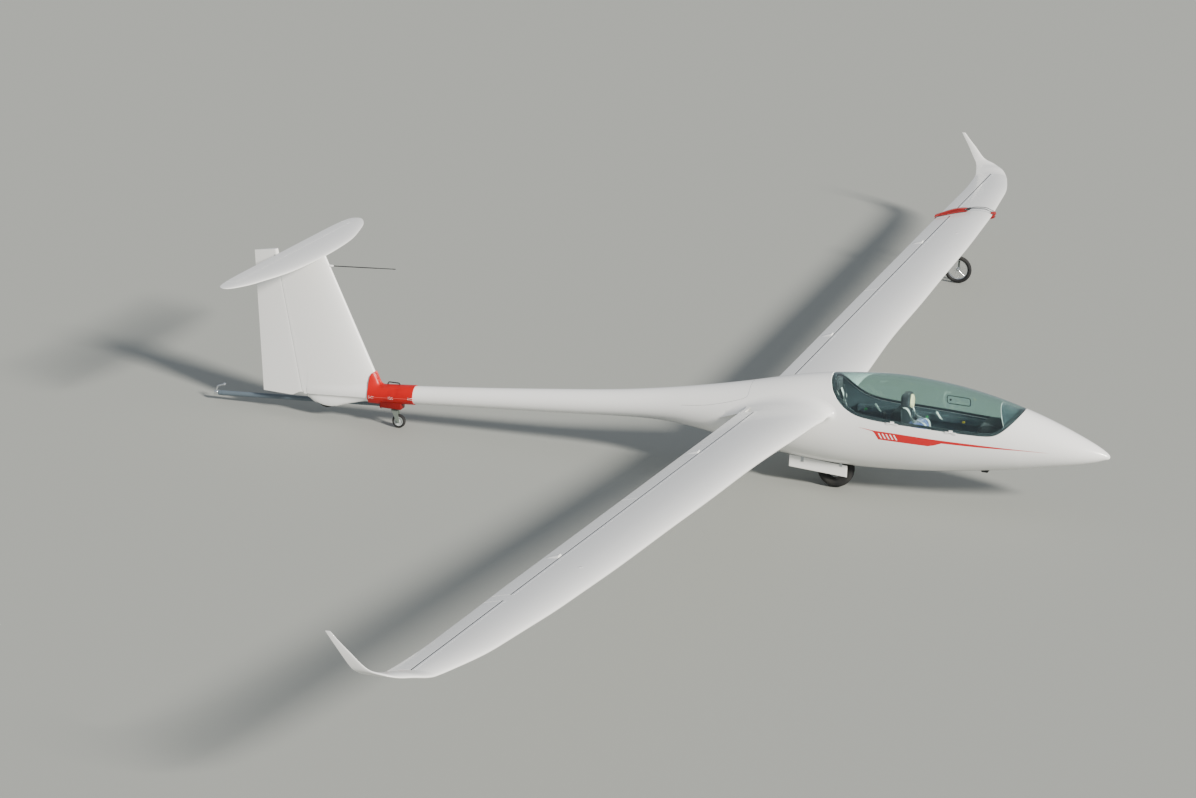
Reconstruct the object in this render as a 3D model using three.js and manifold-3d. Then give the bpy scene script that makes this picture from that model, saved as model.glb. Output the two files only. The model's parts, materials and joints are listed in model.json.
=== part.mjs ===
// Two-seat sailplane, parked on its main wheel, a tail dolly and a wheel under the left wing.
// Millimetres, +X to the nose, +Y to the left wing, +Z up.
import * as THREE from 'three';
import { mergeVertices } from 'three/addons/utils/BufferGeometryUtils.js';
import Module from 'manifold-3d';

const wasm = await Module();
wasm.setup();

// Stance: the glider leans onto the wheel under its left wing.
const BANK = -0.039;
const MIDDLE = [-1910, 60];

// Clearances
const SEAT_GAP = 0.3;
const MOVING_GAP = 6;
const END_GAP = 9;

// Fuselage: x, height of the middle, half width, half height
const FUSELAGE = [
  [2632, 634, 4, 4],
  [2618, 637, 24, 22],
  [2575, 644, 50, 47],
  [2500, 651, 86, 81],
  [2300, 668, 160, 151],
  [2050, 690, 226, 225],
  [1800, 706, 277, 289],
  [1540, 719, 315, 345],
  [1170, 726, 350, 407],
  [850, 723, 365, 442],
  [550, 717, 370, 459],
  [200, 696, 370, 452],
  [-80, 682, 365, 433],
  [-330, 668, 350, 402],
  [-600, 652, 320, 354],
  [-900, 634, 275, 296],
  [-1250, 622, 220, 229],
  [-1500, 612, 185, 188],
  [-1750, 596, 155, 157],
  [-2200, 550, 130, 130],
  [-2730, 497, 116, 117],
  [-3500, 426, 100, 101],
  [-4290, 357, 91, 91],
  [-4820, 318, 83, 84],
  [-5250, 292, 60, 62],
  [-5438, 281, 36, 43],
];
const SKIN = 12;
const SHELL_REAR_X = -1300;
const BOOM_FRONT_X = -2620;
const HOLLOW_REAR_X = -560;
const HOLLOW_FRONT_X = 2400;

// Canopy edge in side view: x, z, from the rear arch along the rail to the front arch
const CANOPY_EDGE = [
  [-78, 1150],
  [-16, 1033],
  [87, 916],
  [214, 839],
  [390, 803],
  [854, 781],
  [1219, 770],
  [1500, 768],
  [1585, 785],
  [1657, 830],
  [1757, 931],
  [1822, 1012],
];
const CANOPY_TOP = 1400;
const GLASS = 5;
const FRAME_DEPTH = 18;
const FRAME_WIDTH = 24;
// Hinge line of the canopy on the right rail: two points, and the barrels along it
const CANOPY_HINGE = { rear: [450, -377, 801], front: [1400, -350, 770] };
const HINGE_BARREL = { radius: 5, length: 36, leaf: 18 };
const CANOPY_HINGE_X = [620, 1180];

// Wing: the hinge of its flap and aileron is one straight line
const HINGE_X = -672;
const WING_SLOPE = 0.041;
const HINGE_Z_AT_CENTRE = 752;
const INCIDENCE = 0.06;
const CAMBER = 0.022;
// span station, leading edge x, trailing edge x, thickness ratio
const WING = [
  [605, 18, -822, 0.145],
  [800, -5, -822, 0.145],
  [1300, -28, -820, 0.145],
  [2400, -85, -820, 0.145],
  [3700, -108, -820, 0.143],
  [5000, -140, -820, 0.14],
  [6200, -165, -820, 0.14],
  [7100, -200, -820, 0.138],
  [7600, -222, -816, 0.138],
  [8050, -255, -812, 0.136],
  [8500, -290, -810, 0.135],
  [8900, -330, -810, 0.132],
  [9300, -412, -828, 0.13],
  [9540, -474, -848, 0.122],
];
const FLAP_END_Y = 4150;
const PANEL_JOINT_Y = 7500;
const PANEL_RIB = 90;
const TIP_JOINT_Y = 9540;
const HINGE_PADS = [760, 2300, 3950, 4350, 5800, 7250, 7750, 9300];
const PAD = { gap: 0.4, length: 12, half: 6, below: 3, above: 5 };
// Turned-up tip: y, z, leading edge x, trailing edge x, thickness ratio, cant in degrees
const TIP = [
  [9720, 1166, -555, -880, 0.115, 16],
  [9830, 1192, -640, -907, 0.11, 32],
  [9898, 1228, -740, -937, 0.11, 52],
  [9935, 1278, -855, -978, 0.11, 70],
  [9965, 1370, -945, -1035, 0.11, 75],
  [9985, 1460, -1035, -1094, 0.11, 78],
  [10000, 1536, -1104, -1144, 0.11, 80],
];
// Wing root fairing: y, leading edge x, trailing edge x, thickness, rise, drop of the trailing edge
const ROOT_FAIRING = [
  [604.7, 18, -822, 122, 0, 0],
  [570, 18, -838, 123, 0, 0],
  [530, 19, -868, 126, 0, 0],
  [490, 20, -908, 132, 1, 2],
  [450, 23, -955, 142, 2, 8],
  [410, 28, -1010, 157, 4, 35],
  [370, 38, -1078, 177, 6, 72],
  [330, 52, -1145, 198, 8, 116],
  [280, 74, -1205, 220, 8, 190],
  [230, 100, -1245, 240, 8, 290],
];

// Fin and rudder share one section: leading, hinge and trailing lines as x at z 0 and x per mm
const FIN_LE = { x0: -4448, slope: -0.502 };
const FIN_HINGE = { x0: -5431, slope: -0.2304 };
const RUDDER_TE = { x0: -5895, slope: -0.088 };
const FIN_THICKNESS = 0.105;
const FIN_FOOT_Z = 225;
const FIN_HEEL_Z = 238;
const FIN_FOOT_CUT = [[-4400, 100], [-4400, 333], [-5600, 225], [-5600, 100]];
const FIN_TOP_Z = 1641;
const RUDDER_PADS = [430, 980, 1480];
const RUDDER_PAD = { gap: 0.9, half: 6, deep: 3 };
const ELEVATOR_PADS = [250, 720, 1180];
// Rudder ends in side view: x and z of the lower and the upper edge
const RUDDER_FOOT = [[-5900, 206], [-5587, 206], [-5505, 252], [-5400, 252]];
const RUDDER_HEAD = [[-6100, 1623], [-5700, 1691]];
const RUDDER_MIDDLE = [[-6100, 900], [-5400, 900]];

// Stabiliser: y, leading edge x, trailing edge x
const STAB_Z = 1660;
const STAB = [
  [0, -5279, -5721],
  [450, -5293, -5722],
  [850, -5330, -5722],
  [1220, -5405, -5720],
  [1440, -5460, -5712],
  [1580, -5515, -5698],
  [1650, -5552, -5680],
  [1688, -5582, -5654],
  [1700, -5602, -5632],
];
const STAB_THICKNESS = 0.105;
const ELEVATOR_HINGE_X = -5622;
const ELEVATOR_TIP_Y = 1440;

// Main wheel and its well
const MAIN_WHEEL = { x: 20, radius: 180, width: 125, rim: 72 };
const WELL = { front: 212, rear: -425, halfWidth: 132, top: 452, wall: 8 };
const DOOR = { thickness: 10, hinges: [-300, 80], leafLow: 236, leafTop: 312 };
const DOOR_SIDE = [[-415, 178], [158, 141], [158, 256], [-415, 296]];

// Tail wheel in its fairing
const TAIL_WHEEL = { x: -5228, z: 212, radius: 98, width: 62 };

// Fairing round the tail wheel: x, half width, height of its underside
const TAIL_FAIRING = [
  [-4800, 50, 240],
  [-4870, 55, 218],
  [-4960, 57, 193],
  [-5050, 57, 165],
  [-5120, 56, 140],
  [-5180, 54, 127],
  [-5250, 50, 127],
  [-5320, 45, 143],
  [-5370, 38, 163],
  [-5420, 26, 196],
];

// Tail dolly
const DOLLY = { front: -4290, rear: -4770, wall: 12 };
const DOLLY_SIDE = [
  [-4290, 120],
  [-4290, 520],
  [-4600, 520],
  [-4650, 575],
  [-4702, 562],
  [-4742, 534],
  [-4763, 494],
  [-4770, 440],
  [-4770, 120],
];
const HANDLE_TOP = 480;
const CASTER = { swivelX: -4508, wheelX: -4458, radius: 69, width: 38, topZ: 196 };
const TOW_BAR = { radius: 25, y: 96, frontX: -4640, frontZ: 196, rearX: -6446, rearZ: 84 };

// Wheel under the left wing
const WING_WHEEL = { x: -540, y: 7500, radius: 160, tyre: 24, hubHalf: 26 };
// The clamp sits askew: its nose is further out than its tail
const CLAMP_Y = 7500;
const CLAMP_HALF = 42;
const CLAMP_SKEW = 0.35;
const CLAMP_PIVOT_X = -760;
const CRADLE = { bite: 5, depth: 22 };
const CLAMP_TOP = { bow: 36, rodRadius: 4, rodY: 26, strapEnd: -500 };

// Probe on the fin's leading edge
const PROBE = { rootZ: 1562, tip: [-4534, 0, 1607], radius: 5 };

// Finishes: colour, roughness, metalness
const FINISH = {
  gelcoat: [0xf4f4f2, 0.25, 0],
  red: [0xd0141a, 0.35, 0],
  glass: [0x9fc4bd, 0.05, 0],
  frame: [0x20262b, 0.5, 0],
  interior: [0x3a4147, 0.7, 0],
  black: [0x17181a, 0.6, 0],
  cushion: [0x24375f, 0.9, 0],
  tyre: [0x16171a, 0.9, 0],
  steel: [0xa9adb0, 0.4, 0.9],
  aluminium: [0xb4b8ba, 0.4, 0.9],
};

const ground = new THREE.Group();
ground.position.set(-MIDDLE[0], -MIDDLE[1], 0);
const aircraft = new THREE.Group();
aircraft.rotation.x = BANK;
ground.add(aircraft);

function addPiece(name, geometry, finish, parent = aircraft) {
  const [color, roughness, metalness] = FINISH[finish];
  const mesh = new THREE.Mesh(geometry, new THREE.MeshStandardMaterial({ color, roughness, metalness }));
  mesh.name = name;
  parent.add(mesh);
  return mesh;
}

// Closed mesh to solid and back
function solidOf(geometry) {
  const bare = geometry.clone();
  bare.deleteAttribute('normal');
  bare.deleteAttribute('uv');
  const merged = mergeVertices(bare, 1e-3);
  return new wasm.Manifold(new wasm.Mesh({
    numProp: 3,
    vertProperties: new Float32Array(merged.attributes.position.array),
    triVerts: new Uint32Array(merged.index.array),
  }));
}

function geometryOf(solid) {
  const mesh = solid.getMesh();
  const geometry = new THREE.BufferGeometry();
  geometry.setAttribute('position', new THREE.BufferAttribute(new Float32Array(mesh.vertProperties), 3));
  geometry.setIndex(new THREE.BufferAttribute(new Uint32Array(mesh.triVerts), 1));
  return geometry;
}

// Skin through rings of points, closed at both ends, faces turned outwards
function loft(rings) {
  const count = rings[0].length;
  const points = rings.flat();
  const faces = [];
  for (let r = 0; r + 1 < rings.length; r += 1) {
    for (let i = 0; i < count; i += 1) {
      const a = r * count + i;
      const b = r * count + ((i + 1) % count);
      faces.push([a, b, b + count], [a, b + count, a + count]);
    }
  }
  for (const end of [0, rings.length - 1]) {
    const middle = new THREE.Vector3();
    rings[end].forEach((p) => middle.addScaledVector(p, 1 / count));
    const hub = points.push(middle) - 1;
    for (let i = 0; i < count; i += 1) {
      const a = end * count + i;
      const b = end * count + ((i + 1) % count);
      faces.push(end === 0 ? [hub, b, a] : [hub, a, b]);
    }
  }
  let volume = 0;
  for (const [a, b, c] of faces) {
    volume += points[a].dot(points[b].clone().cross(points[c]));
  }
  const index = faces.flatMap(([a, b, c]) => (volume > 0 ? [a, b, c] : [a, c, b]));
  const geometry = new THREE.BufferGeometry();
  const coordinates = points.flatMap((p) => [p.x, p.y, p.z]);
  geometry.setAttribute('position', new THREE.Float32BufferAttribute(coordinates, 3));
  geometry.setIndex(index);
  return geometry;
}

// Plate with an outline in x and z, between two values of y
function sidePlate(outline, y0, y1) {
  const shape = new THREE.Shape(outline.map(([x, z]) => new THREE.Vector2(x, z)));
  const plate = new THREE.ExtrudeGeometry(shape, { depth: Math.abs(y1 - y0), bevelEnabled: false });
  plate.rotateX(Math.PI / 2);
  plate.translate(0, Math.max(y0, y1), 0);
  return plate;
}

function boxBetween(x0, x1, y0, y1, z0, z1) {
  const box = new THREE.BoxGeometry(Math.abs(x1 - x0), Math.abs(y1 - y0), Math.abs(z1 - z0));
  return box.translate((x0 + x1) / 2, (y0 + y1) / 2, (z0 + z1) / 2);
}

function rodBetween(start, end, radius, sides = 12) {
  const from = new THREE.Vector3(...start);
  const to = new THREE.Vector3(...end);
  const rod = new THREE.CylinderGeometry(radius, radius, from.distanceTo(to), sides);
  const turn = new THREE.Quaternion().setFromUnitVectors(
    new THREE.Vector3(0, 1, 0),
    to.clone().sub(from).normalize(),
  );
  rod.applyQuaternion(turn);
  return rod.translate(...from.add(to).multiplyScalar(0.5).toArray());
}

// Body turned about a cross axle: profile of radius and offset along the axle
function turned(profile, segments, centre) {
  const body = new THREE.LatheGeometry(profile.map(([r, y]) => new THREE.Vector2(r, y)), segments);
  return body.translate(...centre);
}

function joinAll(geometries) {
  return geometries.map(solidOf).reduce((whole, next) => whole.add(next));
}

// Outline moved inwards by a distance
function inset(outline, distance) {
  return outline.map((point, i) => {
    const before = outline[(i + outline.length - 1) % outline.length];
    const after = outline[(i + 1) % outline.length];
    const a = new THREE.Vector2(point[0] - before[0], point[1] - before[1]).normalize();
    const b = new THREE.Vector2(after[0] - point[0], after[1] - point[1]).normalize();
    const normal = new THREE.Vector2(-a.y - b.y, a.x + b.x).normalize();
    const reach = distance / Math.max(0.3, normal.dot(new THREE.Vector2(-a.y, a.x)));
    return [point[0] + normal.x * reach, point[1] + normal.y * reach];
  });
}

// Smooth value of a table's column at x, whose rows fall in x
function along(table, x, column) {
  let i = 0;
  while (i < table.length - 2 && table[i + 1][0] > x) i += 1;
  const row = (k) => table[Math.min(Math.max(k, 0), table.length - 1)];
  const slope = (k) => (row(k + 1)[column] - row(k - 1)[column]) / (row(k + 1)[0] - row(k - 1)[0]);
  const span = row(i + 1)[0] - row(i)[0];
  const t = (x - row(i)[0]) / span;
  const a = row(i)[column];
  const b = row(i + 1)[column];
  return a * (1 + 2 * t) * (1 - t) ** 2 + b * t * t * (3 - 2 * t)
    + slope(i) * span * t * (1 - t) ** 2 - slope(i + 1) * span * t * t * (1 - t);
}

// Fuselage body between two stations, thicker or thinner by an offset
function fuselageBody(front, rear, offset, sides = 28) {
  const stations = FUSELAGE.map((row) => row[0]).filter((x) => x < front - 8 && x > rear + 8);
  const all = [front, ...stations, rear];
  const rings = all.map((x) => {
    const middle = along(FUSELAGE, x, 1);
    const halfWidth = Math.max(2, along(FUSELAGE, x, 2) + offset);
    const halfHeight = Math.max(2, along(FUSELAGE, x, 3) + offset);
    return Array.from({ length: sides }, (_, i) => {
      const turn = (i / sides) * 2 * Math.PI;
      return new THREE.Vector3(x, halfWidth * Math.cos(turn), middle + halfHeight * Math.sin(turn));
    });
  });
  return solidOf(loft(rings));
}

// Half thickness of a symmetric section of chord 1 and thickness 1
function halfThickness(s) {
  const curve = 0.2969 * Math.sqrt(s) - 0.126 * s - 0.3516 * s ** 2 + 0.2843 * s ** 3 - 0.1015 * s ** 4;
  return 5 * curve;
}

function camberAt(s, amount) {
  return s < 0.4 ? (amount / 0.16) * (0.8 * s - s * s) : (amount / 0.36) * (0.2 + 0.8 * s - s * s);
}

const TRAILING_EDGE_HALF = 1.2;

// Wing section at a span station: height of its middle line and its half thickness at x
function wingSection(y) {
  let i = 0;
  while (i < WING.length - 2 && WING[i + 1][0] < y) i += 1;
  const t = (y - WING[i][0]) / (WING[i + 1][0] - WING[i][0]);
  const [le, te, ratio] = [1, 2, 3].map((c) => WING[i][c] + t * (WING[i + 1][c] - WING[i][c]));
  const chord = le - te;
  const hingeZ = HINGE_Z_AT_CENTRE + WING_SLOPE * y;
  const chordwise = (x) => Math.min(1, Math.max(0, (le - x) / chord));
  const bend = (x) => camberAt(chordwise(x), CAMBER) * chord;
  return {
    y,
    le,
    te,
    chord,
    middle: (x) => hingeZ + INCIDENCE * (x - HINGE_X) + bend(x) - bend(HINGE_X),
    half: (x) => halfThickness(chordwise(x)) * ratio * chord + TRAILING_EDGE_HALF * chordwise(x),
  };
}

const SECTION_STEPS = 8;

// Ring over the top from the cut to the leading edge and back below
function sectionRing(section, cutX) {
  const depth = (section.le - cutX) / section.chord;
  const ring = [];
  for (let i = -SECTION_STEPS; i <= SECTION_STEPS; i += 1) {
    const u = Math.abs(i) / SECTION_STEPS;
    const x = section.le - depth * section.chord * (1 - Math.cos((u * Math.PI) / 2)) ** 1.15;
    const side = i < 0 ? 1 : -1;
    ring.push(new THREE.Vector3(x, section.y, section.middle(x) + (i === 0 ? 0 : side * section.half(x))));
  }
  return ring;
}

// Ring of a hinged surface: round nose about the hinge, straight sides to the trailing edge
function surfaceRing(section, hingeX, noseSteps = 6) {
  const hingeZ = section.middle(hingeX);
  const radius = section.half(hingeX);
  const lean = Math.atan2(section.middle(hingeX + 20) - section.middle(hingeX - 20), 40);
  const ring = [];
  for (const s of [1, 0.66, 0.33]) {
    const x = hingeX + (section.te - hingeX) * s;
    ring.push(new THREE.Vector3(x, section.y, section.middle(x) + section.half(x)));
  }
  for (let i = 0; i <= noseSteps; i += 1) {
    const turn = Math.PI / 2 - (i / noseSteps) * Math.PI + lean;
    const x = hingeX + radius * Math.cos(turn);
    ring.push(new THREE.Vector3(x, section.y, hingeZ + radius * Math.sin(turn)));
  }
  for (const s of [0.33, 0.66, 1]) {
    const x = hingeX + (section.te - hingeX) * s;
    ring.push(new THREE.Vector3(x, section.y, section.middle(x) - section.half(x)));
  }
  return ring;
}

function spanStations(from, to) {
  return [from, ...WING.map((row) => row[0]).filter((y) => y > from + 20 && y < to - 20), to];
}

function mirrored(rings, side) {
  return rings.map((ring) => ring.map((p) => new THREE.Vector3(p.x, p.y * side, p.z)));
}

// Rows of a table with one more, on a smooth curve, between each two
function withMiddles(rows) {
  const row = (i) => rows[Math.min(Math.max(i, 0), rows.length - 1)];
  return rows.flatMap((here, i) => {
    if (i === rows.length - 1) return [here];
    const [before, next, after] = [row(i - 1), row(i + 1), row(i + 2)];
    return [here, here.map((value, c) => (9 * (value + next[c]) - before[c] - after[c]) / 16)];
  });
}

// Wing panels, flaps, ailerons and tips
function tipRing([y, z, le, te, ratio, cant]) {
  const chord = le - te;
  const lean = THREE.MathUtils.degToRad(cant);
  const ring = [];
  for (let i = -SECTION_STEPS; i <= SECTION_STEPS; i += 1) {
    const u = Math.abs(i) / SECTION_STEPS;
    const s = (1 - Math.cos((u * Math.PI) / 2)) ** 1.15;
    const side = i < 0 ? 1 : -1;
    const half = i === 0 ? 0 : side * (halfThickness(s) * ratio * chord + TRAILING_EDGE_HALF * s);
    const lift = half + camberAt(s, CAMBER) * chord + INCIDENCE * (1 - s) * chord * Math.cos(lean);
    ring.push(new THREE.Vector3(le - s * chord, y - lift * Math.sin(lean), z + lift * Math.cos(lean)));
  }
  return ring;
}

// Pad on a cove's face that carries a surface's round nose
function hingePad(section, hingeX, side) {
  const reach = hingeX + section.half(hingeX) + PAD.gap;
  const z = section.middle(hingeX);
  const y = section.y * side;
  const [low, top] = [z - PAD.below, z + PAD.above];
  return solidOf(boxBetween(reach, reach + PAD.length, y - PAD.half, y + PAD.half, low, top));
}

const panelSolids = {};

function buildWing(side, label) {
  const panels = [
    ['wing_inner', WING[0][0], PANEL_JOINT_Y - SEAT_GAP / 2],
    ['wing_outer', PANEL_JOINT_Y + SEAT_GAP / 2, TIP_JOINT_Y - SEAT_GAP],
  ];
  for (const [name, from, to] of panels) {
    const rings = spanStations(from, to).map((y) => {
      const section = wingSection(y);
      return sectionRing(section, HINGE_X + section.half(HINGE_X) + MOVING_GAP);
    });
    const ribRings = [Math.max(from, PANEL_JOINT_Y - PANEL_RIB), Math.min(to, PANEL_JOINT_Y + PANEL_RIB)];
    const rib = solidOf(loft(mirrored(ribRings.map((y) => {
      const section = wingSection(y);
      return sectionRing(section, section.te);
    }), side)));
    const main = solidOf(loft(mirrored(rings, side)));
    const pads = HINGE_PADS.filter((y) => y > from && y < to)
      .map((y) => hingePad(wingSection(y), HINGE_X, side));
    const panel = pads.reduce((whole, pad) => whole.add(pad), main.add(rib));
    panelSolids[`${name}_${label}`] = panel;
    addPiece(`${name}_${label}`, geometryOf(panel), 'gelcoat');
  }
  const surfaces = [
    ['flap', WING[0][0] + END_GAP, FLAP_END_Y - END_GAP / 2],
    ['aileron_inner', FLAP_END_Y + END_GAP / 2, PANEL_JOINT_Y - PANEL_RIB - END_GAP],
    ['aileron_outer', PANEL_JOINT_Y + PANEL_RIB + END_GAP, TIP_JOINT_Y - END_GAP],
  ];
  for (const [name, from, to] of surfaces) {
    const rings = spanStations(from, to).map((y) => surfaceRing(wingSection(y), HINGE_X));
    addPiece(`${name}_${label}`, loft(mirrored(rings, side)), 'gelcoat');
  }
  const last = wingSection(TIP_JOINT_Y);
  const root = sectionRing(last, last.te);
  const tip = loft(mirrored([root, ...withMiddles(TIP).map(tipRing)], side));
  addPiece(`wing_tip_${label}`, tip, 'gelcoat');
}

// Fairing that grows out of the fuselage side to the wing root
function rootFairing(side) {
  const rings = ROOT_FAIRING.map(([y, le, te, thickness, rise, drop]) => {
    const root = wingSection(WING[0][0]);
    const chord = le - te;
    const ring = [];
    for (let i = -SECTION_STEPS; i <= SECTION_STEPS; i += 1) {
      const u = Math.abs(i) / SECTION_STEPS;
      const s = (1 - Math.cos((u * Math.PI) / 2)) ** 1.15;
      const x = le - s * chord;
      const sameX = root.le - s * root.chord;
      const half = i === 0 ? 0 : Math.sign(-i) * (halfThickness(s) * thickness + TRAILING_EDGE_HALF * s);
      const middle = root.middle(sameX) - WING_SLOPE * (root.y - y) + rise - drop * s ** 2.5;
      ring.push(new THREE.Vector3(x, y * side, middle + half));
    }
    return ring;
  });
  return solidOf(loft(rings));
}

// Fuselage shell, boom and tail
const hull = fuselageBody(FUSELAGE[0][0], FUSELAGE[FUSELAGE.length - 1][0], 0);
const canopyOutline = [...CANOPY_EDGE, [1900, CANOPY_TOP], [-160, CANOPY_TOP]];
const canopyCut = solidOf(sidePlate(canopyOutline, -600, 600));

// Point on the canopy's hinge line at x
function canopyHingeAt(x) {
  const [from, to] = [CANOPY_HINGE.rear, CANOPY_HINGE.front];
  const t = (x - from[0]) / (to[0] - from[0]);
  return [x, from[1] + t * (to[1] - from[1]), from[2] + t * (to[2] - from[2])];
}

// Barrel and leaf of a canopy hinge; the leaf goes up to the frame or down to the rail
function hingeKnuckle(x0, x1, up) {
  const [, y, z] = canopyHingeAt((x0 + x1) / 2);
  const { radius, leaf } = HINGE_BARREL;
  return [
    solidOf(rodBetween(canopyHingeAt(x0), canopyHingeAt(x1), radius, 12)),
    solidOf(boxBetween(x0, x1, y, y + leaf, z + up * 2, z + up * leaf)),
  ];
}

function buildFuselage() {
  const front = fuselageBody(FUSELAGE[0][0], SHELL_REAR_X, 0);
  const hollow = fuselageBody(HOLLOW_FRONT_X, HOLLOW_REAR_X, -SKIN);
  const wellCut = solidOf(boxBetween(WELL.rear, WELL.front, -WELL.halfWidth, WELL.halfWidth, 100, 400));
  const shell = front
    .add(rootFairing(1))
    .add(rootFairing(-1))
    .subtract(hollow)
    .subtract(canopyCut)
    .subtract(wellCut);
  const step = HINGE_BARREL.length;
  const knuckles = CANOPY_HINGE_X.flatMap((x) => [
    ...hingeKnuckle(x - 1.5 * step, x - 0.5 * step - SEAT_GAP, -1),
    ...hingeKnuckle(x + 0.5 * step + SEAT_GAP, x + 1.5 * step, -1),
  ]);
  const hinged = knuckles.reduce((whole, next) => whole.add(next), shell);
  addPiece('cockpit_shell', geometryOf(hinged), 'gelcoat');
  const middle = fuselageBody(SHELL_REAR_X - SEAT_GAP, BOOM_FRONT_X, 0);
  addPiece('rear_fuselage', geometryOf(middle), 'gelcoat');
}

function lineX(line, z) {
  return line.x0 + line.slope * z;
}

function finSection(z) {
  const le = lineX(FIN_LE, z);
  const te = lineX(RUDDER_TE, z);
  const chord = le - te;
  const half = (x) => {
    const s = Math.min(1, Math.max(0, (le - x) / chord));
    return halfThickness(s) * FIN_THICKNESS * chord + TRAILING_EDGE_HALF * s;
  };
  return { z, le, te, chord, half, hinge: lineX(FIN_HINGE, z) };
}

function finRing(z) {
  const { le, hinge, half } = finSection(z);
  const cut = hinge + half(hinge) + MOVING_GAP;
  const ring = [];
  for (let i = -SECTION_STEPS; i <= SECTION_STEPS; i += 1) {
    const u = Math.abs(i) / SECTION_STEPS;
    const x = le - (le - cut) * (1 - Math.cos((u * Math.PI) / 2)) ** 1.15;
    ring.push(new THREE.Vector3(x, i === 0 ? 0 : Math.sign(-i) * half(x), z));
  }
  return ring;
}

function finBody(lowZ, highZ) {
  return solidOf(loft([finRing(lowZ), finRing((lowZ + highZ) / 2), finRing(highZ)]));
}

// Height of an edge line at x
function edgeHeight(line, x) {
  let i = 0;
  while (i < line.length - 2 && line[i + 1][0] < x) i += 1;
  const t = (x - line[i][0]) / (line[i + 1][0] - line[i][0]);
  return line[i][1] + t * (line[i + 1][1] - line[i][1]);
}

// Rudder ring whose points lie on an edge line; each point takes the section of its own height
function rudderRing(line) {
  const place = (share, turn) => {
    let z = line[0][1];
    let point;
    for (let pass = 0; pass < 8; pass += 1) {
      const { te, half, hinge } = finSection(z);
      const radius = half(hinge);
      const x = turn === null ? hinge + (te - hinge) * share : hinge + radius * Math.cos(turn);
      const y = turn === null ? half(x) : radius * Math.sin(turn);
      z = edgeHeight(line, x);
      point = [x, y, z];
    }
    return point;
  };
  const flat = [1, 0.66, 0.25].map((share) => place(share, null));
  const nose = Array.from({ length: 9 }, (_, i) => place(0, Math.PI / 2 - (i / 8) * Math.PI));
  const back = flat.map(([x, y, z]) => [x, -y, z]).reverse();
  return [...flat, ...nose, ...back].map((point) => new THREE.Vector3(...point));
}

// Pad on the fin's rear face, hollowed to the rudder's nose
function rudderPad(z) {
  const rim = (height) => {
    const { hinge, half } = finSection(height);
    const radius = half(hinge) + RUDDER_PAD.gap;
    return Array.from({ length: 40 }, (_, i) => {
      const turn = (i / 40) * 2 * Math.PI;
      return new THREE.Vector3(hinge + radius * Math.cos(turn), radius * Math.sin(turn), height);
    });
  };
  const { hinge, half } = finSection(z);
  const face = hinge + half(hinge);
  const { half: wide, deep } = RUDDER_PAD;
  const block = boxBetween(face - deep, face + PAD.length, -wide, wide, z - deep, z + deep);
  return solidOf(block).subtract(solidOf(loft([rim(z - 30), rim(z + 30)])));
}

// Fairing round the tail wheel, thicker by an offset; its sections are square with round corners
function tailFairing(offset) {
  const squared = (value) => Math.sign(value) * Math.sqrt(Math.abs(value));
  return solidOf(loft(TAIL_FAIRING.map(([x, halfWidth, low]) => {
    const middle = along(FUSELAGE, x, 1);
    const above = along(FUSELAGE, x, 3) * 0.4;
    return Array.from({ length: 24 }, (_, i) => {
      const turn = (i / 24) * 2 * Math.PI;
      const y = (halfWidth + offset) * squared(Math.cos(turn));
      const reach = (Math.sin(turn) > 0 ? above : middle - low) + offset;
      return new THREE.Vector3(x, y, middle + reach * squared(Math.sin(turn)));
    });
  })));
}

function buildTail() {
  const boomRear = FUSELAGE[FUSELAGE.length - 1][0];
  const wheelSlot = solidOf(boxBetween(
    TAIL_WHEEL.x - TAIL_WHEEL.radius - MOVING_GAP, TAIL_WHEEL.x + TAIL_WHEEL.radius + MOVING_GAP,
    -TAIL_WHEEL.width / 2 - MOVING_GAP, TAIL_WHEEL.width / 2 + MOVING_GAP,
    0, TAIL_WHEEL.z + TAIL_WHEEL.radius + MOVING_GAP,
  ));
  const boom = fuselageBody(BOOM_FRONT_X - SEAT_GAP, boomRear, 0).add(tailFairing(0));
  addPiece('tail_boom', geometryOf(boom.subtract(wheelSlot)), 'gelcoat');

  const boomClear = fuselageBody(BOOM_FRONT_X, boomRear - 40, SEAT_GAP);
  const behindStab = solidOf(boxBetween(-5900, -5560, -100, 100, 1604, 1700));
  const fin = finBody(FIN_FOOT_Z, FIN_TOP_Z)
    .subtract(boomClear)
    .subtract(tailFairing(SEAT_GAP))
    .subtract(wheelSlot)
    .subtract(behindStab)
    .subtract(solidOf(sidePlate(FIN_FOOT_CUT, -200, 200)))
    .subtract(solidOf(boxBetween(-5450, -5600, -200, 200, 0, FIN_HEEL_Z)))
    .subtract(stabiliserWhole)
    .subtract(stabiliserWhole.translate([0, 0, -SEAT_GAP]));
  const hinged = RUDDER_PADS.map(rudderPad).reduce((whole, pad) => whole.add(pad), fin);
  addPiece('fin', geometryOf(hinged), 'gelcoat');

  const rudder = [RUDDER_FOOT, RUDDER_MIDDLE, RUDDER_HEAD].map(rudderRing);
  addPiece('rudder', loft(rudder), 'gelcoat');

  const halfWidth = TAIL_WHEEL.width / 2;
  const axleEnd = halfWidth + MOVING_GAP - SEAT_GAP;
  const axle = rodBetween([TAIL_WHEEL.x, -axleEnd, TAIL_WHEEL.z], [TAIL_WHEEL.x, axleEnd, TAIL_WHEEL.z], 8);
  const wheel = solidOf(turned([
    [0, -halfWidth + 10],
    [TAIL_WHEEL.radius - 14, -halfWidth],
    [TAIL_WHEEL.radius, -halfWidth + 16],
    [TAIL_WHEEL.radius, halfWidth - 16],
    [TAIL_WHEEL.radius - 14, halfWidth],
    [0, halfWidth - 10],
  ], 20, [TAIL_WHEEL.x, 0, TAIL_WHEEL.z]));
  addPiece('tail_wheel', geometryOf(wheel.add(solidOf(axle))), 'tyre');
}

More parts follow.
